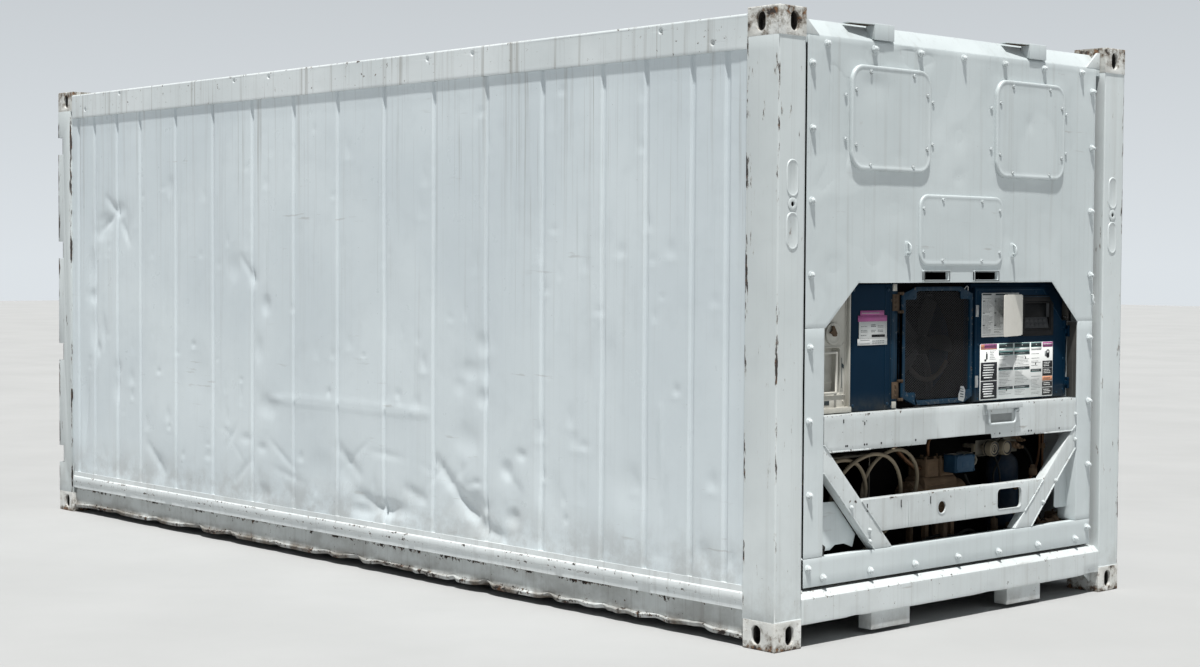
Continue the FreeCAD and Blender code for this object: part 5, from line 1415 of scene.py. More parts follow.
# vent disc: dished cover with a wing knob
b = B()
b.lathe([(.0469, .0002), (.0470, .0045), (.0455, .0068), (.041, .0078), (.037, .0060), (.030, .0052), (.024, .0058), (.016, .0070), (.013, .0078), (0, .0078)],
        (2.930, -.771, 1.270), (1, 0, 0), 44, caps=False)
b.lathe([(.0469, .0002), (0, .0002)], (2.930, -.771, 1.270), (1, 0, 0), 44, caps=False)
b.cyl(.0078, (2.9155, -.771, 1.270), (2.9305, -.771, 1.270), 18)
for k in range(12):
    a = 2 * math.pi * k / 12
    b.lathe([(.0016, .0030), (0, .0030)], (2.9352, -.771 + .0335 * math.cos(a), 1.270 + .0335 * math.sin(a)), (1, 0, 0), 8, caps=False)
put("vent_disc_skin", b.mesh("vent_disc_skin"), "vent_disc", "beige", 36, ["vent_disc"])
b = B()
b.lathe([(.0118, 0.0), (.0118, .0085), (.0100, .0105), (0, .0110)], (2.9378, -.771, 1.270), (1, 0, 0), 20, caps=False)
y, z = -.771, 1.270
b.prism([(2.9415, y - .0375, z + .0055), (2.9415, y + .0075, z - .0115), (2.9415, y + .0115, z + .0020), (2.9415, y - .0080, z + .0335), (2.9415, y - .0215, z + .0335),
         (2.9415, y - .0195, z + .0140)], (.0075, 0, 0), .0016)
put("vent_knob", b.mesh("vent_knob"), "vent_disc", "hinge", 40)

# ---------------------------------------------------------------- fan guard
gp = [(-.330, .983), (-.230, .947), (.102, .947), (.162, .973), (.162, 1.431), (.076, 1.463), (-.238, 1.463), (-.330, 1.433)]
gin = [(-.310, 1.013), (-.218, .967), (.080, .967), (.146, 1.003), (.146, 1.403), (.064, 1.445), (-.218, 1.445), (-.310, 1.405)]


def ring_x(b, outer, inner, x0, x1, bev=0.0):
    t = bmesh.new()
    vo = [[t.verts.new((x, y, z)) for y, z in outer] for x in (x0, x1)]
    vi = [[t.verts.new((x, y, z)) for y, z in inner] for x in (x0, x1)]
    n = len(outer)
    for k in range(n):
        k2 = (k + 1) % n
        t.faces.new((vo[0][k], vo[0][k2], vo[1][k2], vo[1][k]))
        t.faces.new((vi[0][k2], vi[0][k], vi[1][k], vi[1][k2]))
        t.faces.new((vo[1][k], vo[1][k2], vi[1][k2], vi[1][k]))
        t.faces.new((vo[0][k2], vo[0][k], vi[0][k], vi[0][k2]))
    bmesh.ops.recalc_face_normals(t, faces=t.faces)
    if bev:
        bmesh.ops.bevel(t, geom=[e for e in t.edges if e.calc_face_angle(0) > .5], offset=bev, segments=2, profile=.5, affect="EDGES", clamp_overlap=True)
    b.join(t)


b = B()
ring_x(b, gp, gin, 2.926, 2.9445, .0016)
lip = [(y * .994 + (-.084) * .006, z * .994 + 1.205 * .006) for y, z in gp]
ring_x(b, gp, lip, 2.924, 2.9460, .0008)
cor = [[(-.328, 1.432), (-.238, 1.4615), (-.236, 1.4615), (-.236, 1.418), (-.240, 1.411), (-.247, 1.408), (-.328, 1.408)],
       [(.160, 1.430), (.160, 1.408), (.082, 1.408), (.075, 1.411), (.072, 1.418), (.072, 1.4615), (.076, 1.4615)],
       [(-.328, .984), (-.328, 1.004), (-.247, 1.004), (-.240, 1.001), (-.236, .994), (-.236, .9485), (-.230, .9485)],
       [(.160, .974), (.160, 1.002), (.082, 1.002), (.075, .999), (.072, .992), (.072, .9485), (.102, .9485)]]
for c in cor:
    b.prism([(2.9412, y, z) for y, z in c], (.0040, 0, 0), .0010)
for z in (1.018, 1.396):
    b.box(2.9412, 2.9458, -.341, -.326, z - .030, z + .030, .0008)
    b.lathe([(.0031, 0), (.0069, 0), (.0070, .0006), (.0070, .0594), (.0069, .06), (.0031, .06)], (2.953, -.343, z - .030), (0, 0, 1), 20, caps=False)
    b.box(2.9435, 2.9525, -.3450, -.3372, z - .0295, z + .0295, .0008)
for y, z in ((-.290, 1.427), (-.255, 1.420), (.125, 1.425), (.092, 1.418), (-.290, .992), (.13, .989), (-.25, .965), (.09, .965)):
    b.lathe([(0.0, .0024), (.0035, .0024), (.0048, .0010), (.005, 0)], (2.9440, y, z), (1, 0, 0), 10, caps=False)
put("guard_frame_skin", b.mesh("guard_frame_skin"), "fan_guard", "guardblue", 34, ["guard_frame"])


def inside(poly, y, z):
    c = False
    n = len(poly)
    for i in range(n):
        y0, z0 = poly[i]
        y1, z1 = poly[(i + 1) % n]
        if (z0 > z) != (z1 > z) and y < (y1 - y0) * (z - z0) / (z1 - z0) + y0:
            c = not c
    return c


def guard_mesh():
    """Expanded metal: heavy strands one way, light ones the other, clipped to the frame."""
    V, F = [], []
    dy, slope, pitch = .0080, .64, .0112
    for fam, (sl, hw, hz, off) in enumerate(((slope, .0010, .0014, .0), (-slope, .0006, .0007, .0012))):
        c = .955 - .50
        while c < 1.98:
            y, prev = -.322, None
            while y < .156:
                z = c + sl * (y + .084)
                if inside(gin, y, z):
                    base = len(V)
                    for ox, oz in ((-hw, -hz * .6), (hw * .5, -hz), (hw, hz * .6), (-hw * .5, hz)):
                        V.append((2.9350 + off * .5 + ox, y, z + oz))
                    if prev is not None:
                        for q in range(4):
                            q2 = (q + 1) % 4
                            F.append((prev + q, base + q, base + q2, prev + q2))
                    prev = base
                else:
                    prev = None
                y += dy
            c += pitch
    me = bpy.data.meshes.new("guard_wire")
    me.from_pydata(V, [], F)
    me.update()
    bm = bmesh.new()
    bm.from_mesh(me)
    bmesh.ops.recalc_face_normals(bm, faces=bm.faces)
    bm.to_mesh(me)
    bm.free()
    put("guard_wire", me, "fan_guard", "wire", 40, ["guard_mesh"])


guard_mesh()
b = B()
# torn tag at the lower corner, a bent clip at the upper one
b.prism([(2.9456, .062, .958), (2.9456, .098, .950), (2.9456, .108, .966), (2.9456, .112, 1.000), (2.9456, .100, 1.018), (2.9456, .078, 1.020), (2.9456, .074, 1.000), (2.9456, .064, .985)],
        (.0012, 0, 0), .0004)
put("guard_tag", b.mesh("guard_tag"), "fan_guard", "galv", 34)
b = B()
for z0, h in ((.972, .004), (.983, .005), (.996, .004), (1.007, .003)):
    b.prism([(2.9467, .074, z0), (2.9467, .098, z0 - .004), (2.9467, .100, z0 + h - .004), (2.9467, .076, z0 + h)], (.0005, 0, 0))
put("guard_tag_marks", b.mesh("guard_tag_marks"), "fan_guard", "ink_dark", 34)
b = B()
b.tube([(2.944, .100, 1.452), (2.950, .104, 1.462), (2.952, .112, 1.466), (2.950, .120, 1.460), (2.946, .124, 1.446)], .0018, 8)
put("guard_clip", b.mesh("guard_clip"), "fan_guard", "galv", 60)

b = B()
hp = []
for k in range(25):
    t = k / 24
    a = -2.35 + 1.75 * t
    hp.append((2.905, -.125 + .165 * math.cos(a) + .015, 1.230 + .175 * math.sin(a)))
b.tube(hp, .0085, 10)
for k in range(1, 24):
    d = (Vector(hp[k + 1]) - Vector(hp[k - 1])).normalized()
    b.lathe([(.0085, -.0022), (.0110, -.0012), (.0110, .0012), (.0085, .0022)], hp[k], d, 14, caps=False)
put("fan_conduit", b.mesh("fan_conduit"), ROOT, "conduit", 60)
b = B()
for k in range(4):
    b.tube([(2.9375, -.178 + k * .013, 1.418), (2.9385, -.174 + k * .013, 1.428), (2.9385, -.168 + k * .013, 1.430), (2.9375, -.163 + k * .013, 1.421)], .0016, 6)
put("mesh_clip", b.mesh("mesh_clip"), "fan_guard", "wire", 60)

# hinge column beside the guard
b = B()
b.box(2.926, 2.940, -.400, -.374, .940, 1.478, .0014)
b.box(2.926, 2.9335, -.374, -.352, .940, 1.478, .0010)
put("hinge_column", b.mesh("hinge_column"), ROOT, "guardblue", 34, ["guard_hinges"])
b = B()
for z in (1.018, 1.396):
    b.box(2.9402, 2.9448, -.3965, -.3525, z - .036, z + .036, .0012)
    b.box(2.9398, 2.9458, -.3945, -.3600, z - .030, z + .030, .0018)
    for zz in (z - .046, z + .034):
        b.lathe([(.0, 0), (.0066, 0), (.0070, .0005), (.0070, .0115), (.0066, .012), (0, .012)], (2.953, -.343, zz), (0, 0, 1), 18, caps=False)
        b.box(2.9412, 2.9525, -.3600, -.3435, zz + .0004, zz + .0116, .0006)
    b.cyl(.0029, (2.953, -.343, z - .0458), (2.953, -.343, z + .0458), 14)
    for dz in (-.022, .0, .022):
        b.lathe([(0.0, .0050), (.0034, .0050), (.0050, .0040), (.0050, .0010), (.0062, 0)], (2.9448, -.378, z + dz), (1, 0, 0), 6, caps=False)
put("hinge_plates", b.mesh("hinge_plates"), ROOT, "hinge", 40)
b = B()
for z0, z1 in ((1.446, 1.476), (.941, .970)):
    b.box(2.9395, 2.9450, -.3955, -.3690, z0, z1, .002)
put("hinge_stops", b.mesh("hinge_stops"), ROOT, "beige", 40)

# ---------------------------------------------------------------- fan, shroud, coil
FY, FZ = -.082, 1.203
# fan shroud and motor fins near-black: their own dark colour deepened into painted shade in the recess
skin("fan_shroud", "fan_shroud_skin", "darkin", 0.001, (0, 0, 0), None, 1, 30, 40)
b = B()
for k in range(24):
    a = 2 * math.pi * k / 24
    m3 = Matrix.Rotation(a, 3, "X")
    b.box(2.705, 2.800, FY + .060, FY + .072, FZ - .0012, FZ + .0012, 0, rot=m3, about=(2.75, FY, FZ))
b.lathe([(.2215, 0.0), (.2225, .010), (.228, .019), (.236, .0245), (.248, .027)], (2.861, FY, FZ), (1, 0, 0), 64, caps=False)
for k in range(8):
    a = 2 * math.pi * (k + .5) / 8
    b.lathe([(0, .004), (.005, .004), (.006, 0)], (2.888, FY + .237 * math.cos(a), FZ + .237 * math.sin(a)), (1, 0, 0), 8, caps=False)
put("fan_motor_fins", b.mesh("fan_motor_fins"), ROOT, "darkin", 40)


def fan():
    b = B()
    for i in range(5):
        t = bmesh.new()
        nr, nc = 9, 9
        grid = {}
        for side in (0, 1):
            for r in range(nr):
                fr = r / (nr - 1)
                rad = .040 + (.2105 - .040) * fr
                pitch = math.radians(46 - 24 * fr)
                half = math.radians(25 + 5 * math.sin(fr * 2.4)) * (.075 / (.055 + .12 * fr)) * .78
                sweep = .16 * fr ** 1.5
                for c in range(nc):
                    u = -1 + 2 * c / (nc - 1)
                    ang = u * half + sweep + math.radians(72 * i + 10)
                    arc = u * half * rad
                    x = 2.849 + math.sin(pitch) * arc * .50 + .006 * (1 - u * u)
                    th = .0016 * (1 - u * u * .8) + .0004
                    x += th if side else -th
                    grid[side, r, c] = t.verts.new((x, FY + rad * math.sin(ang), FZ + rad * math.cos(ang)))
        for side in (0, 1):
            for r in range(nr - 1):
                for c in range(nc - 1):
                    q = [grid[side, r, c], grid[side, r, c + 1], grid[side, r + 1, c + 1], grid[side, r + 1, c]]
                    t.faces.new(q if side else q[::-1])
        for r in range(nr - 1):
            for c in (0, nc - 1):
                t.faces.new((grid[0, r, c], grid[0, r + 1, c], grid[1, r + 1, c], grid[1, r, c]))
        for c in range(nc - 1):
            for r in (0, nr - 1):
                t.faces.new((grid[0, r, c], grid[0, r, c + 1], grid[1, r, c + 1], grid[1, r, c]))
        bmesh.ops.recalc_face_normals(t, faces=t.faces)
        b.join(t)
    b.lathe([(.040, 0), (.044, .003), (.044, .036), (.041, .042), (.030, .0445), (.020, .0450), (.018, .0400), (.010, .0400), (.009, .0455), (0, .0458)],
            (2.826, FY, FZ), (1, 0, 0), 36)
    for k in range(5):
        a = 2 * math.pi * k / 5 + .3
        b.lathe([(0, .0025), (.004, .0025), (.0048, 0)], (2.8700, FY + .031 * math.cos(a), FZ + .031 * math.sin(a)), (1, 0, 0), 8, caps=False)
    b.cyl(.0088, (2.7725, FY, FZ), (2.8265, FY, FZ), 16)
    put("fan_rotor_skin", b.mesh("fan_rotor_skin"), "fan_rotor", "fan", 40, ["condenser_fan"])


fan()

# coil case and fins near-black: painted shade on the coil behind the fan
b = B()
b.box(2.632, 2.686, -.658, .170, .940, .952, .001)
b.box(2.632, 2.686, -.658, .170, 1.466, 1.478, .001)
for y in (-.658, .160):
    b.box(2.632, 2.686, y, y + .010, .950, 1.468, .001)
put("coil_case", b.mesh("coil_case"), ROOT, "darkin", 34)
b = B()
y = -.646
while y < .158:
    b.box(2.640, 2.684, y, y + .0007, .954, 1.464)
    y += .0042
for k in range(9):
    z = .982 + k * .056
    b.cyl(.0048, (2.6805, -.650, z), (2.6805, .160, z), 8)
put("coil_fins", b.mesh("coil_fins"), ROOT, "darkin", 34, ["condenser_coil"])

# ---------------------------------------------------------------- control box and door
skin("control_box", "control_box_skin", "blue", 0.0016, (0, 0, 0), None, 2)
skin("control_door", "control_door_skin", "blue", 0.0022, (0, 0.05, 0.05), soft_dent(0.0007, 7.0, 1.0, 2.943), 3)
skin("display_bezel", "display_bezel_skin", "black", 0.0014, (0, 0, 0), None, 2)
b = B()
b.box(2.9436, 2.9452, .186, .690, 1.4450, 1.4490, .0006)
b.prism([(2.9437, .690, 1.4490), (2.9437, .695, 1.4490), (2.9437, .846, 1.3028), (2.9437, .846, 1.2988)], (.0013, 0, 0), .0003)
b.box(2.9436, 2.9450, .186, .190, .950, 1.446, .0005)
b.box(2.9436, 2.9450, .870, .874, .950, 1.296, .0005)
for y, z in ((.212, 1.438), (.45, 1.438), (.64, 1.438), (.862, 1.27), (.862, 1.12), (.862, .975), (.812, .962), (.205, .957), (.205, 1.20)):
    b.lathe([(0.0, .0024), (.0040, .0024), (.0055, .0012), (.0058, 0)], (2.9438, y, z), (1, 0, 0), 10, caps=False)
put("control_door_trim", b.mesh("control_door_trim"), "control_door", "guardblue", 40)

b = B()
b.box(2.9488, 2.9500, .533, .738, 1.4130, 1.4155, .0006)
b.box(2.9488, 2.9496, .5310, .5330, 1.236, 1.413, .0004)
put("bezel_lip", b.mesh("bezel_lip"), "control_door", "guardblue", 40)
b = B()
b.box(2.9342, 2.9352, .553, .743, 1.318, 1.383, .0008)
put("display_glass", b.mesh("display_glass"), "control_door", "glass", 40)
b = B()
b.prism([(2.9342, .553, 1.318), (2.9356, .553, 1.318), (2.9462, .553, 1.2675), (2.9342, .553, 1.2675)], (0, .190, 0), .0008)
b.prism([(2.9342, .7355, 1.318), (2.9342, .7355, 1.382), (2.9450, .7430, 1.382), (2.9450, .7430, 1.318)], (0, .0004, 0))
for i in range(5):
    for j in range(2):
        y0 = .566 + i * .034
        z = 1.277 + j * .020
        x = 2.9462 - (z - 1.2675) * .21
        b.box(x - .001, x + .0006, y0, y0 + .024, z, z + .012, .0004)
put("display_keypad", b.mesh("display_keypad"), "control_door", "pad", 40)

# lid: bevelled panel with a raised border, built closed and swung open
t_ = Matrix.Translation((2.952, .524, 0)) @ Matrix.Rotation(math.radians(-163.0), 4, "Z") @ Matrix.Translation((-2.952, -.524, 0))
b = B()
L1 = rrect(.5295, .7735, 1.2365, 1.4255, .012, 6)


def inset_rr(d, r=.012):
    return rrect(.5295 + d, .7735 - d, 1.2365 + d, 1.4255 - d, max(.004, r - d), 6)


loft_x(b, [inset_rr(.0012), inset_rr(0), inset_rr(0), inset_rr(.0012), inset_rr(.014), inset_rr(.0165), inset_rr(.02)],
       [2.9505, 2.9512, 2.9530, 2.9539, 2.9539, 2.9529, 2.9529])
tb = bmesh.new()
vv = [tb.verts.new((2.9505, y, z)) for y, z in inset_rr(.0012)]
tb.faces.new(vv[::-1])
b.join(tb)
b.box(2.9505, 2.9537, .5245, .5315, 1.2405, 1.4215, .0006)
b.lathe([(0, 0), (.0024, 0), (.0026, .0003), (.0026, .1817), (.0024, .182), (0, .182)], (2.952, .524, 1.240), (0, 0, 1), 14, caps=False)
me = b.mesh("display_lid_skin")
me.transform(t_)
put("display_lid_skin", me, "display_lid", "lid", 36, ["display_lid"])

# toggle latches on the door's free edge
b = B()
for z in (1.035, 1.353):
    b.box(2.9443, 2.9462, .1845, .2035, z - .0265, z + .0265, .0006)
    b.box(2.9460, 2.9505, .1880, .2010, z - .018, z + .010, .0012)
    b.tube([(2.9485, .1890, z + .008), (2.9500, .1872, z + .018), (2.9500, .1870, z + .0245), (2.9500, .1990, z + .0245), (2.9500, .1990, z + .018), (2.9485, .1985, z + .008)], .0012, 6)
    b.tube([(2.9490, .1945, z - .017), (2.9512, .1945, z - .021), (2.9514, .1945, z - .026)], .0018, 6)
    for dz in (-.022, .0):
        b.lathe([(0, .0018), (.0024, .0018), (.003, 0)], (2.9460, .2005, z + dz), (1, 0, 0), 8, caps=False)
put("toggle_latches", b.mesh("toggle_latches"), "control_door", "galv", 36, ["door_latches"])
# liner plates and wires at the door's right-hand side; the plates are dark as painted shade on the strip's return
b = B()
b.box(2.700, 2.9390, .9085, .9120, .940, 1.4700, .0008)
b.box(2.9405, 2.9930, .8985, .9000, .938, 1.2950, .0005)
put("side_liner", b.mesh("side_liner"), ROOT, "liner", 40)
b = B()
b.tube([(2.934, .898, 1.30), (2.936, .902, 1.22), (2.930, .901, 1.12), (2.936, .903, 1.04), (2.928, .901, .97), (2.930, .899, .945)], .0032, 8)
b.tube([(2.922, .906, 1.26), (2.924, .910, 1.16), (2.918, .908, 1.05), (2.922, .906, .95)], .0045, 8)
put("side_wires", b.mesh("side_wires"), ROOT, "rubber", 60)
b = B()
for z in (1.315, 1.10, 1.03, .985):
    b.box(2.914, 2.932, .897, .911, z - .004, z + .004, .001)
b.tube([(2.928, .884, 1.034), (2.940, .892, 1.028), (2.946, .899, 1.020)], .0022, 6)
put("side_clips", b.mesh("side_clips"), ROOT, "galv", 40)


# ---------------------------------------------------------------- labels: plain sheets with unlettered blocks
class Labels:
    def __init__(s, x):
        s.x = x
        s.items = {}

    def rect(s, mat, y0, y1, z0, z1, lift=0, r=0.0):
        s.items.setdefault((mat, lift), []).append((y0, y1, z0, z1, r))

    def bars(s, mat, y0, y1, z0, z1, pitch, h, seed, lift=2, fill=(.5, 1.0), gap=.12):
        q = random.Random(seed)
        z = z1 - pitch * .6
        while z > z0 + h:
            w = (y1 - y0) * q.uniform(*fill)
            if q.random() > gap:
                y = y0
                while y < y0 + w:
                    ln = q.uniform(.004, .013)
                    s.rect(mat, y, min(y + ln, y0 + w), z - h, z, lift)
                    y += ln + .0022
            z -= pitch

    def make(s, prefix, body):
        for (mat, lift), rs in s.items.items():
            b = B()
            t = bmesh.new()
            x = s.x + .00035 * lift
            for y0, y1, z0, z1, r in rs:
                pts = rrect(y0, y1, z0, z1, r, 4) if r else [(y0, z0), (y1, z0), (y1, z1), (y0, z1)]
                v0 = [t.verts.new((x, y, z)) for y, z in pts]
                v1 = [t.verts.new((x - .0003, y, z)) for y, z in pts]
                f = t.faces.new(v0)
                if f.normal.x < 0:
                    f.normal_flip()
                n = len(pts)
                for k in range(n):
                    k2 = (k + 1) % n
                    t.faces.new((v0[k2], v0[k], v1[k], v1[k2]))
            t.normal_update()
            bmesh.ops.recalc_face_normals(t, faces=t.faces)
            for f in t.faces:
                if abs(f.normal.x) > .9 and f.normal.x < 0:
                    f.normal_flip()
            b.join(t)
            put("%s_%s_%d" % (prefix, mat, lift), b.mesh("lb"), body, mat, 0)


lab = Labels(2.9412)
lab.rect("ink_pink", -.607, -.451, 1.3435, 1.3640, 0)
lab.rect("ink_pink", -.622, -.432, 1.3175, 1.3430, 1)
lab.rect("label", -.615, -.432, 1.2450, 1.3172, 0)
lab.rect("label", -.624, -.430, 1.2170, 1.2447, 1)
lab.bars("ink_grey", -.597, -.462, 1.346, 1.362, .0105, .0048, 3, 1, (.8, 1))
lab.bars("ink_grey", -.612, -.442, 1.320, 1.341, .0115, .0052, 4, 2, (.85, 1))
for i, (a, c, z0, z1) in enumerate(((-.603, -.557, 1.290, 1.300), (-.603, -.557, 1.270, 1.283), (-.603, -.560, 1.252, 1.262), (-.535, -.500, 1.290, 1.306),
                                    (-.535, -.505, 1.268, 1.283), (-.492, -.450, 1.290, 1.302), (-.492, -.455, 1.268, 1.283))):
    lab.bars("ink_grey" if i != 3 else "ink_dark", a, c, z0 - .001, z1 + .002, .0062, .0034, 11 + i, 1, (.8, 1), 0)
lab.rect("ink_black", -.532, -.445, 1.2500, 1.2610, 1)
lab.bars("ink_grey", -.603, -.445, 1.305, 1.316, .006, .0022, 31, 1)
lab.rect("ink_grey", -.606, -.545, 1.2215, 1.2245, 2)
lab.rect("ink_grey", -.606, -.545, 1.2370, 1.2395, 2)
lab.bars("ink_grey", -.528, -.442, 1.222, 1.242, .009, .0048, 33, 2, (.8, 1), 0)
lab.make("cover_label", ROOT)

lab = Labels(2.9447)
lab.rect("label", .228, .508, 1.2340, 1.4330, 0, .003)
lab.rect("ink_dark", .234, .300, 1.4230, 1.4300, 1)
lab.rect("ink_dark", .330, .420, 1.4225, 1.4295, 1)
lab.rect("ink_grey", .236, .498, 1.2415, 1.2435, 1)
for k, (a, c) in enumerate(((.236, .312), (.322, .392), (.402, .446), (.452, .498))):
    lab.bars("ink_grey", a, c, 1.248, 1.412, .0052, .0019, 50 + k, 1, (.55, 1.0), .10)
for k in range(9):
    lab.rect("ink_dark", .236 + (k % 3) * .086, .250 + (k % 3) * .086, 1.395 - (k // 3) * .055, 1.3985 - (k // 3) * .055, 2)
# lower cluster
lab.rect("label", .219, .779, .9480, 1.2030, 0, .006)
lab.rect("ink_pink", .224, .345, 1.1815, 1.2020, 1)
lab.rect("ink_orange", .226, .252, 1.1830, 1.2000, 2)
lab.bars("ink_dark", .256, .340, 1.185, 1.200, .008, .0042, 61, 2, (.8, 1), 0)
lab.rect("ink_orange", .224, .346, 1.1775, 1.1812, 1)
lab.rect("ink_black", .264, .276, 1.132, 1.160, 1, .005)
lab.rect("ink_black", .252, .266, 1.124, 1.134, 1, .004)
lab.rect("ink_black", .266, .272, 1.160, 1.167, 1, .002)
lab.bars("ink_grey", .292, .340, 1.130, 1.176, .0075, .0022, 62, 1)
for z0, z1, sd, n in ((1.037, 1.119, 63, 6), (.953, 1.033, 64, 6)):
    lab.rect("ink_black", .226, .347, z0, z1, 1, .002)
    for i in range(n):
        zz = z1 - .010 - i * (z1 - z0 - .014) / n
        q = random.Random(sd + i)
        a = .240 + q.uniform(0, .012)
        lab.rect("label", a, .330 - q.uniform(0, .02), zz - .0052, zz, 2)
for y0, y1, bars_, sd in ((.359, .468, (1.1505, 1.081, .993), 70), (.478, .596, (1.150, 1.081, .994), 80), (.605, .689, (1.067,), 90)):
    lab.rect("ink_teal", y0, y1, 1.1560 if len(bars_) > 1 else 1.172, 1.2020, 1)
    lab.rect("ink_dark", y0 + .002, y1 - .002, 1.1820, 1.2000, 2)
    lab.rect("label", (y0 + y1) / 2 - .003, (y0 + y1) / 2 + .003, 1.190, 1.1935, 3)
    lab.rect("label", y0 + .002, y1 - .002, 1.1680, 1.1790, 2)
    for z in bars_:
        lab.rect("ink_dark", y0, y1, z, z + .0115, 2)
        lab.bars("ink_grey", y0 + .010, y1 - .012, z + .0025, z + .0105, .007, .0035, sd + 5, 3, (.7, 1), 0)
        lab.rect("ink_teal", y0, y1, z - .0022, z - .0002, 1)
    zs_ = [1.165] + [z for z in bars_]
    for i, z in enumerate(zs_):
        zt = z - .004
        zb = (zs_[i + 1] + .014) if i + 1 < len(zs_) else .956
        lab.bars("ink_grey", y0 + .006, y1 - .004, zb, zt, .0068, .0020, sd + i, 1, (.45, 1.0), .22)
for y, z in ((.56, 1.128), (.64, 1.098), (.418, .985)):
    lab.rect("ink_black", y, y + .007, z, z + .010, 2, .002)
lab.rect("ink_pink", .697, .777, 1.1790, 1.2020, 1)
lab.bars("label", .704, .770, 1.183, 1.199, .008, .0040, 95, 2, (.8, 1), 0)
lab.rect("ink_black", .728, .752, 1.128, 1.166, 1, .008)
lab.rect("ink_grey", .715, .729, 1.135, 1.160, 1, .005)
lab.rect("label", .734, .746, 1.150, 1.160, 2, .003)
for z0, z1, m_, sd in ((1.083, 1.114, "ink_black", 96), (1.044, 1.081, "ink_black", 97), (1.021, 1.042, "ink_orange", 98), (.993, 1.018, "ink_black", 99), (.953, .988, "ink_black", 100)):
    lab.rect(m_, .698, .776, z0, z1, 1, .0015)
    lab.bars("label" if m_ == "ink_black" else "ink_dark", .708, .768, z0 + .004, z1 - .002, .0078, .0034, sd, 2, (.7, 1), 0)
lab.make("door_label", "control_door")


# ================================================================ power cable
def cable():
    route = [(2.688, -.686, .540), (2.688, -.766, .540), (2.695, -.842, .543), (2.722, -.910, .553), (2.776, -.953, .574), (2.838, -.942, .608),
             (2.872, -.884, .648), (2.879, -.800, .690), (2.872, -.700, .722), (2.872, -.600, .730), (2.868, -.508, .694), (2.864, -.462, .606),
             (2.860, -.478, .508), (2.856, -.556, .436), (2.852, -.656, .446), (2.862, -.712, .530), (2.876, -.686, .630), (2.886, -.590, .714),
             (2.892, -.456, .752), (2.892, -.326, .722), (2.888, -.256, .620), (2.882, -.262, .500), (2.872, -.350, .418), (2.858, -.462, .460),
             (2.848, -.486, .580), (2.846, -.424, .684), (2.850, -.314, .748), (2.856, -.190, .748), (2.862, -.112, .668), (2.864, -.122, .560),
             (2.860, -.200, .470), (2.850, -.310, .400), (2.858, -.425, .352), (2.882, -.525, .318), (2.902, -.610, .289)]
    slots = [(.0990, .2868), (.0815, .2868), (.0740, .2700), (.0915, .2700), (.1090, .2700), (.1090, .2532), (.0915, .2532), (.0740, .2532),
             (.0740, .2366), (.0915, .2366), (.1090, .2366), (.1263, .2366), (.1263, .2620)]
    order = (7, 6, 5, 5, 4, 3, 3, 2, 1, 1, 1, 0)        # which stretch of a turn each step to the next slot takes
    cx, y0, y1 = 2.803, -.715, -.435
    pts = list(route)
    pts.append((2.902, -.672, .2874))
    n = 28
    for i in range(12):
        (ra, za), (rb, zb) = slots[i], slots[i + 1]
        a0 = order[i] / 8.0
        for k in range(n):
            ph = k / n
            f = min(1.0, max(0.0, (ph - a0) / .125))
            f = f * f * (3 - 2 * f)
            r, z = ra + (rb - ra) * f, za + (zb - za) * f
            per = 2 * (y1 - y0) + 2 * math.pi * r
            s = ph * per
            if s < math.pi * r:
                a = s / r
                p = (cx + r * math.cos(a), y0 - r * math.sin(a))
            elif s < math.pi * r + (y1 - y0):
                p = (cx - r, y0 + s - math.pi * r)
            elif s < 2 * math.pi * r + (y1 - y0):
                a = (s - math.pi * r - (y1 - y0)) / r
                p = (cx - r * math.cos(a), y1 + r * math.sin(a))
            else:
                p = (cx + r, y1 - (s - 2 * math.pi * r - (y1 - y0)))
            pts.append((p[0], p[1], z))
    pts += [(2.9293, -.715, .262), (2.9295, -.757, .262), (2.9295, -.799, .262)]
    cu = bpy.data.curves.new("cable", "CURVE")
    cu.dimensions = "3D"
    sp = cu.splines.new("NURBS")
    sp.points.add(len(pts) - 1)
    for q, p in zip(sp.points, pts):
        q.co = (p[0], p[1], p[2], 1.0)
    sp.order_u = 3
    sp.use_endpoint_u = True
    sp.resolution_u = 6
    cu.bevel_depth = .0085
    cu.bevel_resolution = 4
    cu.use_fill_caps = True
    cu.materials.append(M["cable"])
    ob = bpy.data.objects.new("cable", cu)
    bpy.context.scene.collection.objects.link(ob)
    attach(ob, ROOT)
    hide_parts("cable_tube", "cable_coil", "cable_tail")
    # plug: sleeve, grip ribs, collar and front ring
    x, z = 2.9295, .262
    b = B()
    b.lathe([(.0088, 0), (.0115, .001), (.0125, .006), (.0115, .0075), (.0130, .0115), (.0120, .0130), (.0138, .0175), (.0128, .0190), (.0155, .0235),
             (.0155, .0250), (.0230, .0262), (.0250, .0300), (.0250, .0420), (.0262, .0430), (.0262, .0470), (.0250, .0480), (.0250, .0520), (.0262, .0530), (.0262, .0570),
             (.0250, .0580), (.0250, .0620), (.0262, .0630), (.0262, .0670), (.0250, .0680), (.0250, .0760), (.0318, .0790), (.0330, .0810), (.0330, .1380), (.0318, .1412),
             (.0290, .1418), (.0280, .1410), (.0280, .1250), (0, .1250)], (x, -.798, z), (0, -1, 0), 44)
    for k in range(8):
        a = 2 * math.pi * k / 8 + .2
        b.box(x - .0020, x + .0020, -.934, -.884, z + .0318, z + .0329, .0005, rot=Matrix.Rotation(a, 3, "Y"), about=(x, -.9, z))
    for k in range(4):
        a = 2 * math.pi * k / 4 + .6
        b.cyl(.0038, (x + .0165 * math.cos(a), -.924, z + .0165 * math.sin(a)), (x + .0165 * math.cos(a), -.9375, z + .0165 * math.sin(a)), 14, .0006)
    plug = put("plug_body", b.mesh("plug_body"), ROOT, "rubber", 38, ["cable_plug"])


cable()

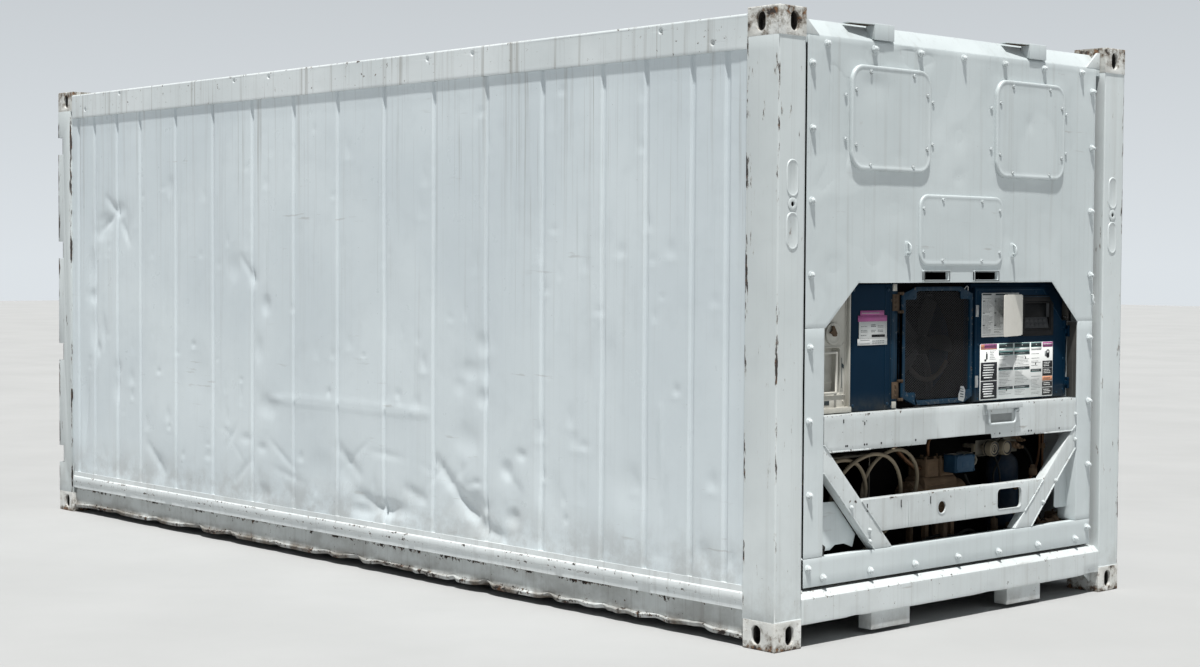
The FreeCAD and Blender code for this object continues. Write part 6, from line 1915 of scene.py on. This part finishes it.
# ================================================================ lower bay
b = B()
b.box(2.6305, 2.7405, -.6385, -.2935, .4715, .7245, .004, 3)
b.box(2.7385, 2.7420, -.6360, -.2960, .4740, .7220, .0012)
b.box(2.7405, 2.7420, -.6300, -.3020, .4800, .7160, .0010)
for y in (-.615, -.466, -.317):
    for z in (.492, .704):
        b.box(2.7405, 2.7420, y - .006, y + .006, z - .006, z + .006, .0006)
b.lathe([(.0170, 0), (.0170, .006), (.0160, .007), (.0160, .012), (.0170, .013), (.0170, .020), (.0130, .0205), (.0124, .026), (.0132, .029), (.0114, .034), (.0120, .037), (.0104, .042), (.0100, .046)],
        (2.688, -.640, .540), (0, -1, 0), 28)
put("power_box_skin", b.mesh("power_box_skin"), ROOT, "grey", 38, ["power_box"])

skin("machinery_tray", "machinery_tray_skin", "tray", 0.0010, (0.05, 0.05, 0), None, 1, 30, 30)
skin("compressor", "compressor_skin", "bronze", 0.006, (0, 0, 0), None, 3, 30, 50)
b = B()
for y in (.082, .190):
    for dx in (-.038, .038):
        for dy in (-.034, .034):
            b.cyl(.0070, (2.740 + dx, y + dy, .680), (2.740 + dx, y + dy, .691), 6, .0010)
    b.box(2.7885, 2.7945, y - .040, y + .040, .606, .674, .003)
    for k in range(5):
        z = .612 + k * .013
        b.box(2.7930, 2.7960, y - .036, y + .036, z, z + .003, .0008)
for k in range(10):
    a = 2 * math.pi * k / 10
    b.cyl(.0062, (2.735 + .050 * math.cos(a), -.040, .520 + .050 * math.sin(a)), (2.735 + .050 * math.cos(a), -.049, .520 + .050 * math.sin(a)), 6, .0010)
b.lathe([(.030, 0), (.030, .012), (.026, .016), (.012, .018), (.012, .030), (0, .030)], (2.735, -.040, .520), (0, -1, 0), 24, caps=False)
b.lathe([(.0575, 0), (.0600, .004), (.0600, .012), (.0575, .016)], (2.740, .262, .520), (0, 1, 0), 32, caps=False)
b.lathe([(.0440, 0), (.0400, .012), (.022, .020), (0, .022)], (2.740, .328, .520), (0, 1, 0), 28, caps=False)
for z in (.455, .500, .560):
    b.box(2.7985, 2.8030, .035, .235, z, z + .008, .0015)
b.cyl(.021, (2.800, .095, .475), (2.812, .095, .475), 20, .002)
put("compressor_details", b.mesh("compressor_details"), ROOT, "bronze", 40)

b = B()
bm = cad_bm("terminal_box")
bmesh.ops.bevel(bm, geom=list(bm.edges), offset=.006, segments=4, profile=.5, affect="EDGES", clamp_overlap=True)
b.join(bm)
put("terminal_box_skin", b.mesh("terminal_box_skin"), ROOT, "termblue", 40, ["terminal_box"])
b = B()
b.box(2.8705, 2.8760, .150, .282, .622, .696, .0025, 3)
for y in (.156, .276):
    for z in (.628, .690):
        b.lathe([(0, .0036), (.004, .0036), (.0055, .002), (.0058, 0)], (2.8755, y, z), (1, 0, 0), 12, caps=False)
b.box(2.8755, 2.8768, .190, .236, .640, .668, .0005)
put("terminal_cover", b.mesh("terminal_cover"), ROOT, "termblue", 40)
b = B()
t = bmesh.new()
g = {}
for i in range(13):
    for j in range(9):
        x, y = 2.801 + .072 * j / 8, .145 + .142 * i / 12
        z = .7005 + .0050 * (nz((x * 8, y * 8, 1.0), 5, 2) + .5) - .004 * math.exp(-((y - .21) / .03) ** 2)
        g[i, j] = t.verts.new((x, y, z))
for i in range(12):
    for j in range(8):
        t.faces.new((g[i, j], g[i, j + 1], g[i + 1, j + 1], g[i + 1, j]))
bmesh.ops.solidify(t, geom=t.faces[:], thickness=.003)
b.join(t)
b.lathe([(.011, 0), (.011, .010), (.009, .012), (.009, .022), (0, .022)], (2.845, .286, .645), (0, 1, 0), 18, caps=False)
put("terminal_top", b.mesh("terminal_top"), ROOT, "beige", 40)
b = B()
b.tube([(2.845, .300, .645), (2.846, .314, .646), (2.848, .324, .654), (2.849, .328, .668), (2.846, .324, .682), (2.836, .314, .692), (2.818, .300, .698), (2.790, .290, .700),
        (2.760, .285, .690), (2.740, .285, .670)], .0060, 12)
put("terminal_hose", b.mesh("terminal_hose"), ROOT, "grey", 60)
b = B()
for yy in (.469, .566):
    b.lathe([(.0305, .0480), (.0318, .0497), (.0298, .0498), (.0262, .0476), (.0240, .0462)], (2.800, yy, .709), (1, 0, 0), 36, caps=False)
    b.lathe([(.0362, .0120), (.0362, .0180)], (2.800, yy, .709), (1, 0, 0), 36, caps=False)
b.lathe([(.0168, .0470), (.0150, .0474), (.0122, .0464)], (2.800, .469, .709), (1, 0, 0), 24, caps=False)
b.box(2.8475, 2.8490, .4665, .4715, .690, .716, .0006)
put("cap_rings", b.mesh("cap_rings"), ROOT, "ink_black", 50)

b = B()
rp = [(0, .228 - .228)]
b.lathe([(.0600, .330), (.0700, .3305), (.0745, .336), (.0755, .345), (.0755, .470), (.0760, .4705), (.0760, .4735), (.0755, .474), (.0755, .600), (.0745, .618), (.0700, .6375), (.0620, .652),
         (.0480, .6655), (.0300, .6735), (.0120, .6760), (0, .6762)], (2.745, .668, 0), (0, 0, 1), 48, caps=False)
b.lathe([(.0755, .330), (0, .330)], (2.745, .668, 0), (0, 0, 1), 48, caps=False)
for a in (0, 120, 240):
    cx, cy = 2.745 + .060 * math.cos(math.radians(a)), .668 + .060 * math.sin(math.radians(a))
    b.box(cx - .008, cx + .008, cy - .008, cy + .008, .228, .360, .002)
b.cyl(.014, (2.745, .668, .672), (2.745, .668, .6755), 20)
put("receiver_skin", b.mesh("receiver_skin"), ROOT, "recblue", 40, ["liquid_receiver"])
b = B()
b.cyl(.018, (2.815, .668, .520), (2.828, .668, .520), 24, .002)
b.lathe([(.013, 0), (.013, .003), (.011, .004), (0, .0035)], (2.828, .668, .520), (1, 0, 0), 20, caps=False)
b.cyl(.018, (2.815, .668, .400), (2.828, .668, .400), 24, .002)
put("receiver_sights", b.mesh("receiver_sights"), ROOT, "bronze", 40)

b = B()
for i, yy in enumerate((.469, .566)):
    b.lathe([(.012, -.030), (.012, 0), (.030, .001), (.0352, .003), (.0360, .006), (.0360, .0440), (.0350, .0478), (.0320, .0495), (.0290, .0490), (.0275, .0462), (.0200, .0455),
             (.0185, .0470) if i == 0 else (.018, .0455), (.0150, .0470) if i == 0 else (.012, .0458), (.0130, .0452) if i == 0 else (.008, .0462), (0, .0455)], (2.800, yy, .709), (1, 0, 0), 40)
    for k in range(18):
        a = 2 * math.pi * k / 18
        b.box(2.806, 2.842, yy - .0015, yy + .0015, .709 + .0350, .709 + .0359, .0004, rot=Matrix.Rotation(a, 3, "X"), about=(2.82, yy, .709))
b.box(2.750, 2.770, .4205, .6145, .6905, .7275, .002)
b.box(2.641, 2.751, .5005, .5295, .7005, .7175, .001)
put("pressure_caps_skin", b.mesh("pressure_caps_skin"), ROOT, "cap", 38, ["pressure_caps"])
b = B()
b.box(2.7705, 2.7730, .424, .612, .672, .744, .002)
b.box(2.7705, 2.7900, .424, .612, .672, .6745, .001)
b.box(2.772, 2.775, .634, .742, .676, .748, .002)
put("cap_bracket", b.mesh("cap_bracket"), ROOT, "grey", 40)


# pipework behind the beams
def soft_tube(b, P, r, seg=10, sub=6):
    Q = [Vector(p) for p in P]
    out = []
    for i in range(len(Q) - 1):
        p0, p1, p2, p3 = Q[max(i - 1, 0)], Q[i], Q[i + 1], Q[min(i + 2, len(Q) - 1)]
        for k in range(sub):
            t = k / sub
            out.append(.5 * ((2 * p1) + (p2 - p0) * t + (2 * p0 - 5 * p1 + 4 * p2 - p3) * t * t + (3 * p1 - p0 - 3 * p2 + p3) * t ** 3))
    out.append(Q[-1])
    b.tube(out, r, seg)


b = B()
soft_tube(b, [(2.735, .120, .690), (2.735, .120, .745), (2.735, .150, .775), (2.735, .260, .782), (2.745, .420, .780), (2.745, .560, .770), (2.745, .650, .745), (2.745, .668, .705), (2.745, .668, .676)], .0080)
soft_tube(b, [(2.760, .030, .640), (2.775, -.030, .650), (2.775, -.110, .700), (2.770, -.180, .760), (2.750, -.240, .820)], .0110)
soft_tube(b, [(2.810, .668, .400), (2.842, .690, .395), (2.850, .740, .390), (2.850, .810, .400), (2.845, .850, .440), (2.840, .858, .520), (2.838, .858, .640), (2.836, .862, .760), (2.830, .866, .900)], .0065)
soft_tube(b, [(2.828, .668, .520), (2.858, .680, .526), (2.868, .720, .560), (2.868, .770, .620), (2.862, .800, .700), (2.852, .812, .780), (2.840, .815, .880)], .0060)
soft_tube(b, [(2.790, .520, .262), (2.815, .600, .262), (2.820, .700, .270), (2.815, .800, .262), (2.800, .900, .255), (2.770, .980, .250)], .0090)
soft_tube(b, [(2.830, -.060, .250), (2.845, .060, .246), (2.850, .180, .252), (2.842, .300, .246), (2.820, .410, .250), (2.780, .470, .262)], .0085)
put("copper_pipes", b.mesh("copper_pipes"), ROOT, "copper", 60)
b = B()
soft_tube(b, [(2.800, .400, .240), (2.830, .440, .300), (2.846, .470, .380), (2.850, .500, .470), (2.846, .515, .560), (2.836, .505, .640), (2.800, .500, .690), (2.760, .500, .700)], .0045, 8)
soft_tube(b, [(2.872, .215, .610), (2.880, .240, .560), (2.874, .300, .520), (2.862, .380, .515), (2.850, .455, .540), (2.836, .480, .600), (2.810, .566, .668), (2.790, .566, .700)], .0050, 8)
soft_tube(b, [(2.800, -.060, .300), (2.836, -.020, .330), (2.856, .060, .345), (2.862, .160, .335), (2.852, .260, .350), (2.836, .340, .330), (2.800, .380, .290)], .0070, 8)
soft_tube(b, [(2.770, .730, .720), (2.800, .760, .700), (2.822, .790, .640), (2.826, .800, .560), (2.812, .806, .470), (2.780, .810, .400)], .0050, 8)
put("bay_hoses", b.mesh("bay_hoses"), ROOT, "rubber", 60)
b = B()
for y, z, r in ((.690, .712, .016), (.726, .700, .012), (.742, .732, .010), (.704, .746, .009)):
    b.cyl(r, (2.772, y, z), (2.806, y, z), 6, .002)
    b.cyl(r * .6, (2.806, y, z), (2.822, y, z), 16, .002)
for y, z in ((.862, .560), (.815, .800), (.858, .700)):
    b.cyl(.012, (2.840, y, z - .012), (2.840, y, z + .012), 6, .002)
b.cyl(.020, (2.868, .742, .570), (2.868, .742, .606), 20, .003)
b.cyl(.012, (2.868, .742, .606), (2.868, .742, .620), 6, .002)
put("valve_bits", b.mesh("valve_bits"), ROOT, "bronze", 40)

b = B()
soft_tube(b, [(2.900, .640, .262), (2.905, .690, .300), (2.910, .740, .335), (2.912, .790, .345), (2.912, .840, .350)], .0150, 14)
b.lathe([(.015, 0), (.024, .004), (.027, .012), (.027, .022), (.022, .026), (.0, .026)], (2.912, .838, .350), (0, 1, .05), 24, caps=False)
b.lathe([(.022, -.008), (.024, -.004), (.024, .006), (.022, .010)], (2.911, .780, .3445), (0, 1, .12), 22, caps=False)
soft_tube(b, [(2.890, .700, .420), (2.893, .720, .400), (2.895, .740, .370), (2.900, .752, .340)], .0110, 12)
b.cyl(.018, (2.885, .520, .300), (2.905, .520, .300), 6, .002)
b.cyl(.013, (2.905, .520, .300), (2.915, .520, .300), 20, .002)
put("drain_fittings", b.mesh("drain_fittings"), ROOT, "hinge", 60)
# cast feet, blocks and grit on the tray
rq = random.Random(17)
b = B()
for k in range(95):
    x, y = rq.uniform(2.66, 2.93), rq.uniform(-.98, .98)
    if -.86 < y < -.28 and x > 2.655:
        continue
    s = rq.uniform(.002, .008)
    t = bmesh.new()
    bmesh.ops.create_icosphere(t, subdivisions=1, radius=s)
    for v in t.verts:
        v.co = Vector((x + v.co.x * rq.uniform(.8, 1.6), y + v.co.y * rq.uniform(.8, 1.8), .2275 + abs(v.co.z) * .7))
    b.join(t)
put("tray_grit", b.mesh("tray_grit"), ROOT, "tray", 50)
b = B()
for y0, y1, z1, x0, x1 in ((-.235, -.170, .335, 2.850, 2.905), (-.060, .030, .300, 2.868, 2.915), (.055, .085, .405, 2.850, 2.880), (.330, .405, .322, 2.842, 2.902), (.430, .455, .392, 2.856, 2.884),
                           (.560, .600, .360, 2.846, 2.890), (.760, .862, .318, 2.840, 2.905), (.905, .960, .380, 2.820, 2.880), (-.960, -.900, .372, 2.690, 2.760)):
    b.box(x0, x1, y0, y1, .228, z1, .005, 3)
    b.box(x0 - .008, x1 + .008, y0 - .012, y1 + .012, .228, .238, .003)
    b.cyl(.006, ((x0 + x1) / 2, (y0 + y1) / 2, z1), ((x0 + x1) / 2, (y0 + y1) / 2, z1 + .012), 6, .001)
put("bay_castings", b.mesh("bay_castings"), ROOT, "hinge", 40)


# ---------------------------------------------------------------- beams and braces
def beam_disp(amp, x1):
    def f(c, n):
        if c.x > x1:
            d = amp * (.5 + .5 * nz(c, 4.0, 7.0)) + amp * .6 * max(0.0, nz(c, 13.0, 3.0))
            return Vector((-d, 0, 0))
        return Vector((0, 0, 0))
    return f


skin("upper_beam", "upper_beam_skin", "beam", 0.0016, (0, 0.028, 0.026), beam_disp(.0022, 2.9985), 2)
skin("lower_beam", "lower_beam_skin", "beam", 0.0020, (0, 0.028, 0.026), beam_disp(.0024, 2.9965), 3)
skin("diagonal_braces", "diagonal_braces_skin", "beam", 0.0016, (0, 0.03, 0.03), beam_disp(.0020, 2.9965), 2)
skin("step_bracket", "step_bracket_skin", "beam", 0.0010, (0, 0, 0), None, 2)
b = B()
# hole and window rims, end seams and weld beads
b.lathe([(.0260, -.006), (.0272, .0002), (.0300, .0009), (.0330, .0002)], (2.998, -.110, .498), (1, 0, 0), 36, caps=False)
ro, ri, rm = rrect(.286, .477, .449, .551, .026, 8), rrect(.291, .472, .454, .546, .021, 8), rrect(.289, .475, .452, .548, .024, 8)
loft_x(b, [ro, rm, ri, ri], [2.9978, 2.9990, 2.9988, 2.985], cap=False)
for sgn, pts_ in ((-1, [(-.896, .700), (-.80, .600), (-.70, .494), (-.60, .390), (-.568, .356)]), (1, [(.896, .700), (.80, .607), (.70, .508), (.60, .406), (.552, .356)])):
    bead(b, [(2.9975, y, z) for y, z in pts_], .0035, 3)
bead(b, [(2.9985, -.896, .816), (2.9985, -.862, .784), (2.9985, -.750, .784), (2.9985, -.600, .783)], .0032, 5)
bead(b, [(2.9985, .896, .806), (2.9985, .862, .783), (2.9985, .750, .783), (2.9985, .640, .783)], .0032, 8)
bead(b, [(2.9978, -.6515, .566), (2.9978, -.588, .500), (2.9978, -.522, .432)], .0030, 9)
bead(b, [(2.9978, .642, .566), (2.9978, .576, .500), (2.9978, .503, .432)], .0030, 11)
for y in (-.34, .06, .52, .62):
    b.box(2.9968, 2.9984, y - .0008, y + .0008, .432, .566, .0004)
put("beam_welds", b.mesh("beam_welds"), ROOT, "beam", 50)
# black plates and discs: painted shade standing in for the beam's slits and holes, plus a few dark marks
b = B()
for y in (-.616, -.392, -.191):
    b.box(2.9976, 2.9990, y - .0026, y + .0026, .524, .552, .001)
    b.box(2.9976, 2.9988, y - .0008, y + .0040, .519, .526, .0006)
for y in (-.760, -.750, -.640, -.625, -.530, -.300, .300, .520, .540, .760):
    b.lathe([(0, .0008), (.0042, .0008), (.0048, 0)], (2.9992, y, .800 + (.004 if y < 0 else .0)), (1, 0, 0), 10, caps=False)
for y, z, w, h in ((-.775, .908, .006, .016), (-.640, .893, .006, .014), (-.628, .903, .004, .004), (-.652, .903, .004, .004), (.262, .800, .003, .003), (.300, .798, .003, .003)):
    b.box(2.9990, 3.0002, y - w / 2, y + w / 2, z - h / 2, z + h / 2, .0008)
put("beam_slits", b.mesh("beam_slits"), ROOT, "ink_black", 40)
mats = []
rr = random.Random(9)
for y, z, x in ((-.720, .545, .998), (-.600, .440, .998), (-.597, .392, .998), (.735, .556, .998), (.640, .462, .998),
                (.890, .860, .998), (.890, .740, .998)):
    mats.append(Matrix.Translation((2.0 + x, y + rr.uniform(-.002, .002), z)) @ rotx(rr.uniform(0, 1)) @ Matrix.Scale(.62, 4))
put("beam_bolts", instances(bolt_proto(), mats), ROOT, "beam", 40)
b = B()
# rubber stub and conduit at the foot of the left gusset
b.lathe([(.013, 0), (.015, .004), (.0155, .030), (.014, .042), (.010, .046), (0, .046)], (2.965, -.880, .360), (.55, -.25, .80), 20, caps=False)
b.lathe([(.020, 0), (.021, .003), (.021, .008), (.019, .011), (.0, .011)], (2.958, -.878, .352), (.55, -.25, .80), 20, caps=False)
put("gusset_stub", b.mesh("gusset_stub"), ROOT, "rubber", 40)

b = B()
AX, AZ, RB = 3.012, .902, .0055
Z0 = AZ - .056
rb = .016
P = [(AX, .182, AZ), (AX, .196, AZ)]
P += [(AX, .2015, AZ - .0014), (AX, .2035, AZ - .0048), (AX, .204, AZ - .009), (AX, .204, Z0 + rb)]
P += [(AX, .204 + rb - rb * math.cos(a), Z0 + rb - rb * math.sin(a)) for a in [math.pi / 2 * k / 6 for k in range(1, 7)]]
P += [(AX, .398 - rb + rb * math.sin(a), Z0 + rb - rb * math.cos(a)) for a in [math.pi / 2 * k / 6 for k in range(0, 7)]]
P += [(AX, .398, AZ - .009), (AX, .3985, AZ - .0048), (AX, .4005, AZ - .0014), (AX, .406, AZ), (AX, .420, AZ)]
b.tube(P, RB, 14)
for y in (.186, .416):
    b.lathe([(RB, 0), (.0075, .0004), (.0075, .0032), (RB, .0036)], (AX, y - .0018, AZ), (0, 1, 0), 16, caps=False)
put("folding_step_skin", b.mesh("folding_step_skin"), "folding_step", "white", 60, ["folding_step"])

# a grey plate behind the step's loop: painted shade standing for the recess
b = B()
b.box(2.9992, 3.0006, .214, .388, .852, .8895, .004)
put("step_recess_shade", b.mesh("step_recess_shade"), ROOT, "ink_grey", 40)

# ---------------------------------------------------------------- rear doors
for sy, nm in ((-1, "rear_door_left"), (1, "rear_door_right")):
    b = B()
    y0, y1 = sorted((sy * .0085, sy * 1.0785))
    b.box(-3.0085, -2.9405, y0, y1, .1975, 2.4385, .004, 2)
    a0, a1 = sorted((sy * .120, sy * .980))
    # frame bars around three shallow pressings, with corrugated fields
    ys = [y0, a0, a1, y1]
    for k in (0, 2):
        b.box(-3.0115, -3.0080, ys[k] + .001, ys[k + 1] - .001, .199, 2.437, .0015)
    for z0, z1 in ((.199, .310), (.810, 1.060), (1.560, 1.810), (2.310, 2.437)):
        b.box(-3.0115, -3.0080, a0 - .002, a1 + .002, z0, z1, .0015)
    for zc in (.560, 1.310, 2.060):
        y = a0 + .05
        while y < a1 - .04:
            b.box(-3.0108, -3.0070, y, y + .034, zc - .235, zc + .235, .0018)
            y += .078
    put(nm + "_skin", b.mesh(nm), ROOT, "wall", 34, [nm])

b = B()
o = rrect(-1.0975, 1.0975, .1875, 2.4485, .02, 5)
i_ = rrect(-1.0812, 1.0812, .1955, 2.4405, .012, 5)
o2 = rrect(-1.0940, 1.0940, .1910, 2.4450, .018, 5)
loft_x(b, [i_, i_, o2, o, o, i_], [-2.952, -2.984, -2.985, -2.979, -2.952, -2.952], cap=False)
for y in (-.0035, .0035):
    b.cyl(.0050, (-2.990, y, .200), (-2.990, y, 2.436), 10)
put("rear_gasket_skin", b.mesh("rear_gasket"), ROOT, "rubber", 50, ["rear_door_gasket"])

rear_frame_z = sorted(set(round((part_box("door_hinges")[0][2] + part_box("door_hinges")[1][2]) / 2, 4) for _ in (0,)))
bmh = cad_bm("door_hinges")
zs = sorted(set(round(v.co.z, 4) for v in bmh.verts))
bmh.free()
lows = [z for z in zs if any(abs(z + .096 - q) < 1.5e-3 for q in zs)]
HZ = [z + .048 for z in lows]
b = B()
for sy in (-1, 1):
    for z in HZ:
        a0, a1 = sorted((sy * 1.178, sy * .962))
        t = [(-3.0128, sy * 1.178, z - .044), (-3.0128, sy * 1.178, z + .044), (-3.0128, sy * .990, z + .030), (-3.0128, sy * .962, z + .020), (-3.0128, sy * .962, z - .020),
             (-3.0128, sy * .990, z - .030)]
        b.prism(t, (-.0078, 0, 0), .0016)
        b.lathe([(0, 0), (.0100, 0), (.0118, .0015), (.0118, .0305), (.0108, .0315), (.0118, .0325), (.0118, .0635), (.0108, .0645), (.0118, .0655), (.0118, .0945), (.0100, .096), (0, .096)],
                (-3.014, sy * 1.186, z - .048), (0, 0, 1), 24, caps=False)
        b.cyl(.0060, (-3.014, sy * 1.186, z - .0479), (-3.014, sy * 1.186, z + .0479), 12)
        for y in (.995, 1.045, 1.110):
            b.lathe([(0, .0060), (.0070, .0060), (.0100, .0040), (.0110, 0)], (-3.0205, sy * y, z), (-1, 0, 0), 12, caps=False)
put("door_hinge_skins", b.mesh("door_hinge_skins"), ROOT, "galv", 36, ["door_hinges"])

b = B()
for sy in (-1, 1):
    for yy in (.250, .820):
        c = sy * yy
        b.cyl(.0080, (-3.0203, c, .203), (-3.0203, c, 2.433), 18, .001)
        for z in (.245, .640, 1.140, 1.620, 2.000, 2.390):
            b.box(-3.0284, -3.0118, c - .0150, c + .0150, z - .020, z + .020, .003, 3)
            b.box(-3.0150, -3.0116, c - .034, c + .034, z - .016, z + .016, .0015)
            for q in (-.026, .026):
                b.lathe([(0, .0036), (.0045, .0036), (.0062, .0020), (.0065, 0)], (-3.0149, c + q, z), (-1, 0, 0), 10, caps=False)
        # cams with their keepers at both ends
        for z, s in ((.207, 1), (2.429, -1)):
            b.prism([(-3.0284, c - .015, z), (-3.0284, c + .015, z), (-3.0284, c + .024, z + s * .018), (-3.0284, c + .020, z + s * .030), (-3.0284, c - .012, z + s * .026)], (.0100, 0, 0), .0018)
        # handle hub, lever and its catch
        zh = 1.235 if yy < .5 else 1.185
        b.box(-3.0284, -3.0120, c - .0180, c + .0180, zh - .030, zh + .030, .004, 3)
        e = c + sy * (.360 if yy < .5 else -.330)
        b.prism([(-3.0275, c, zh - .010), (-3.0275, c, zh + .010), (-3.0275, e, zh + .0035 - .03), (-3.0275, e, zh - .0165 - .03)], (.0065, 0, 0), .0018)
        b.box(-3.0240, -3.0116, min(e, e - sy * .05), max(e, e - sy * .05), zh - .058, zh - .046, .0015)
        b.box(-3.0284, -3.0116, e - .006, e + .006, zh - .060, zh - .010, .0015)
put("lock_rod_skins", b.mesh("lock_rod_skins"), ROOT, "galv", 40, ["lock_rods"])
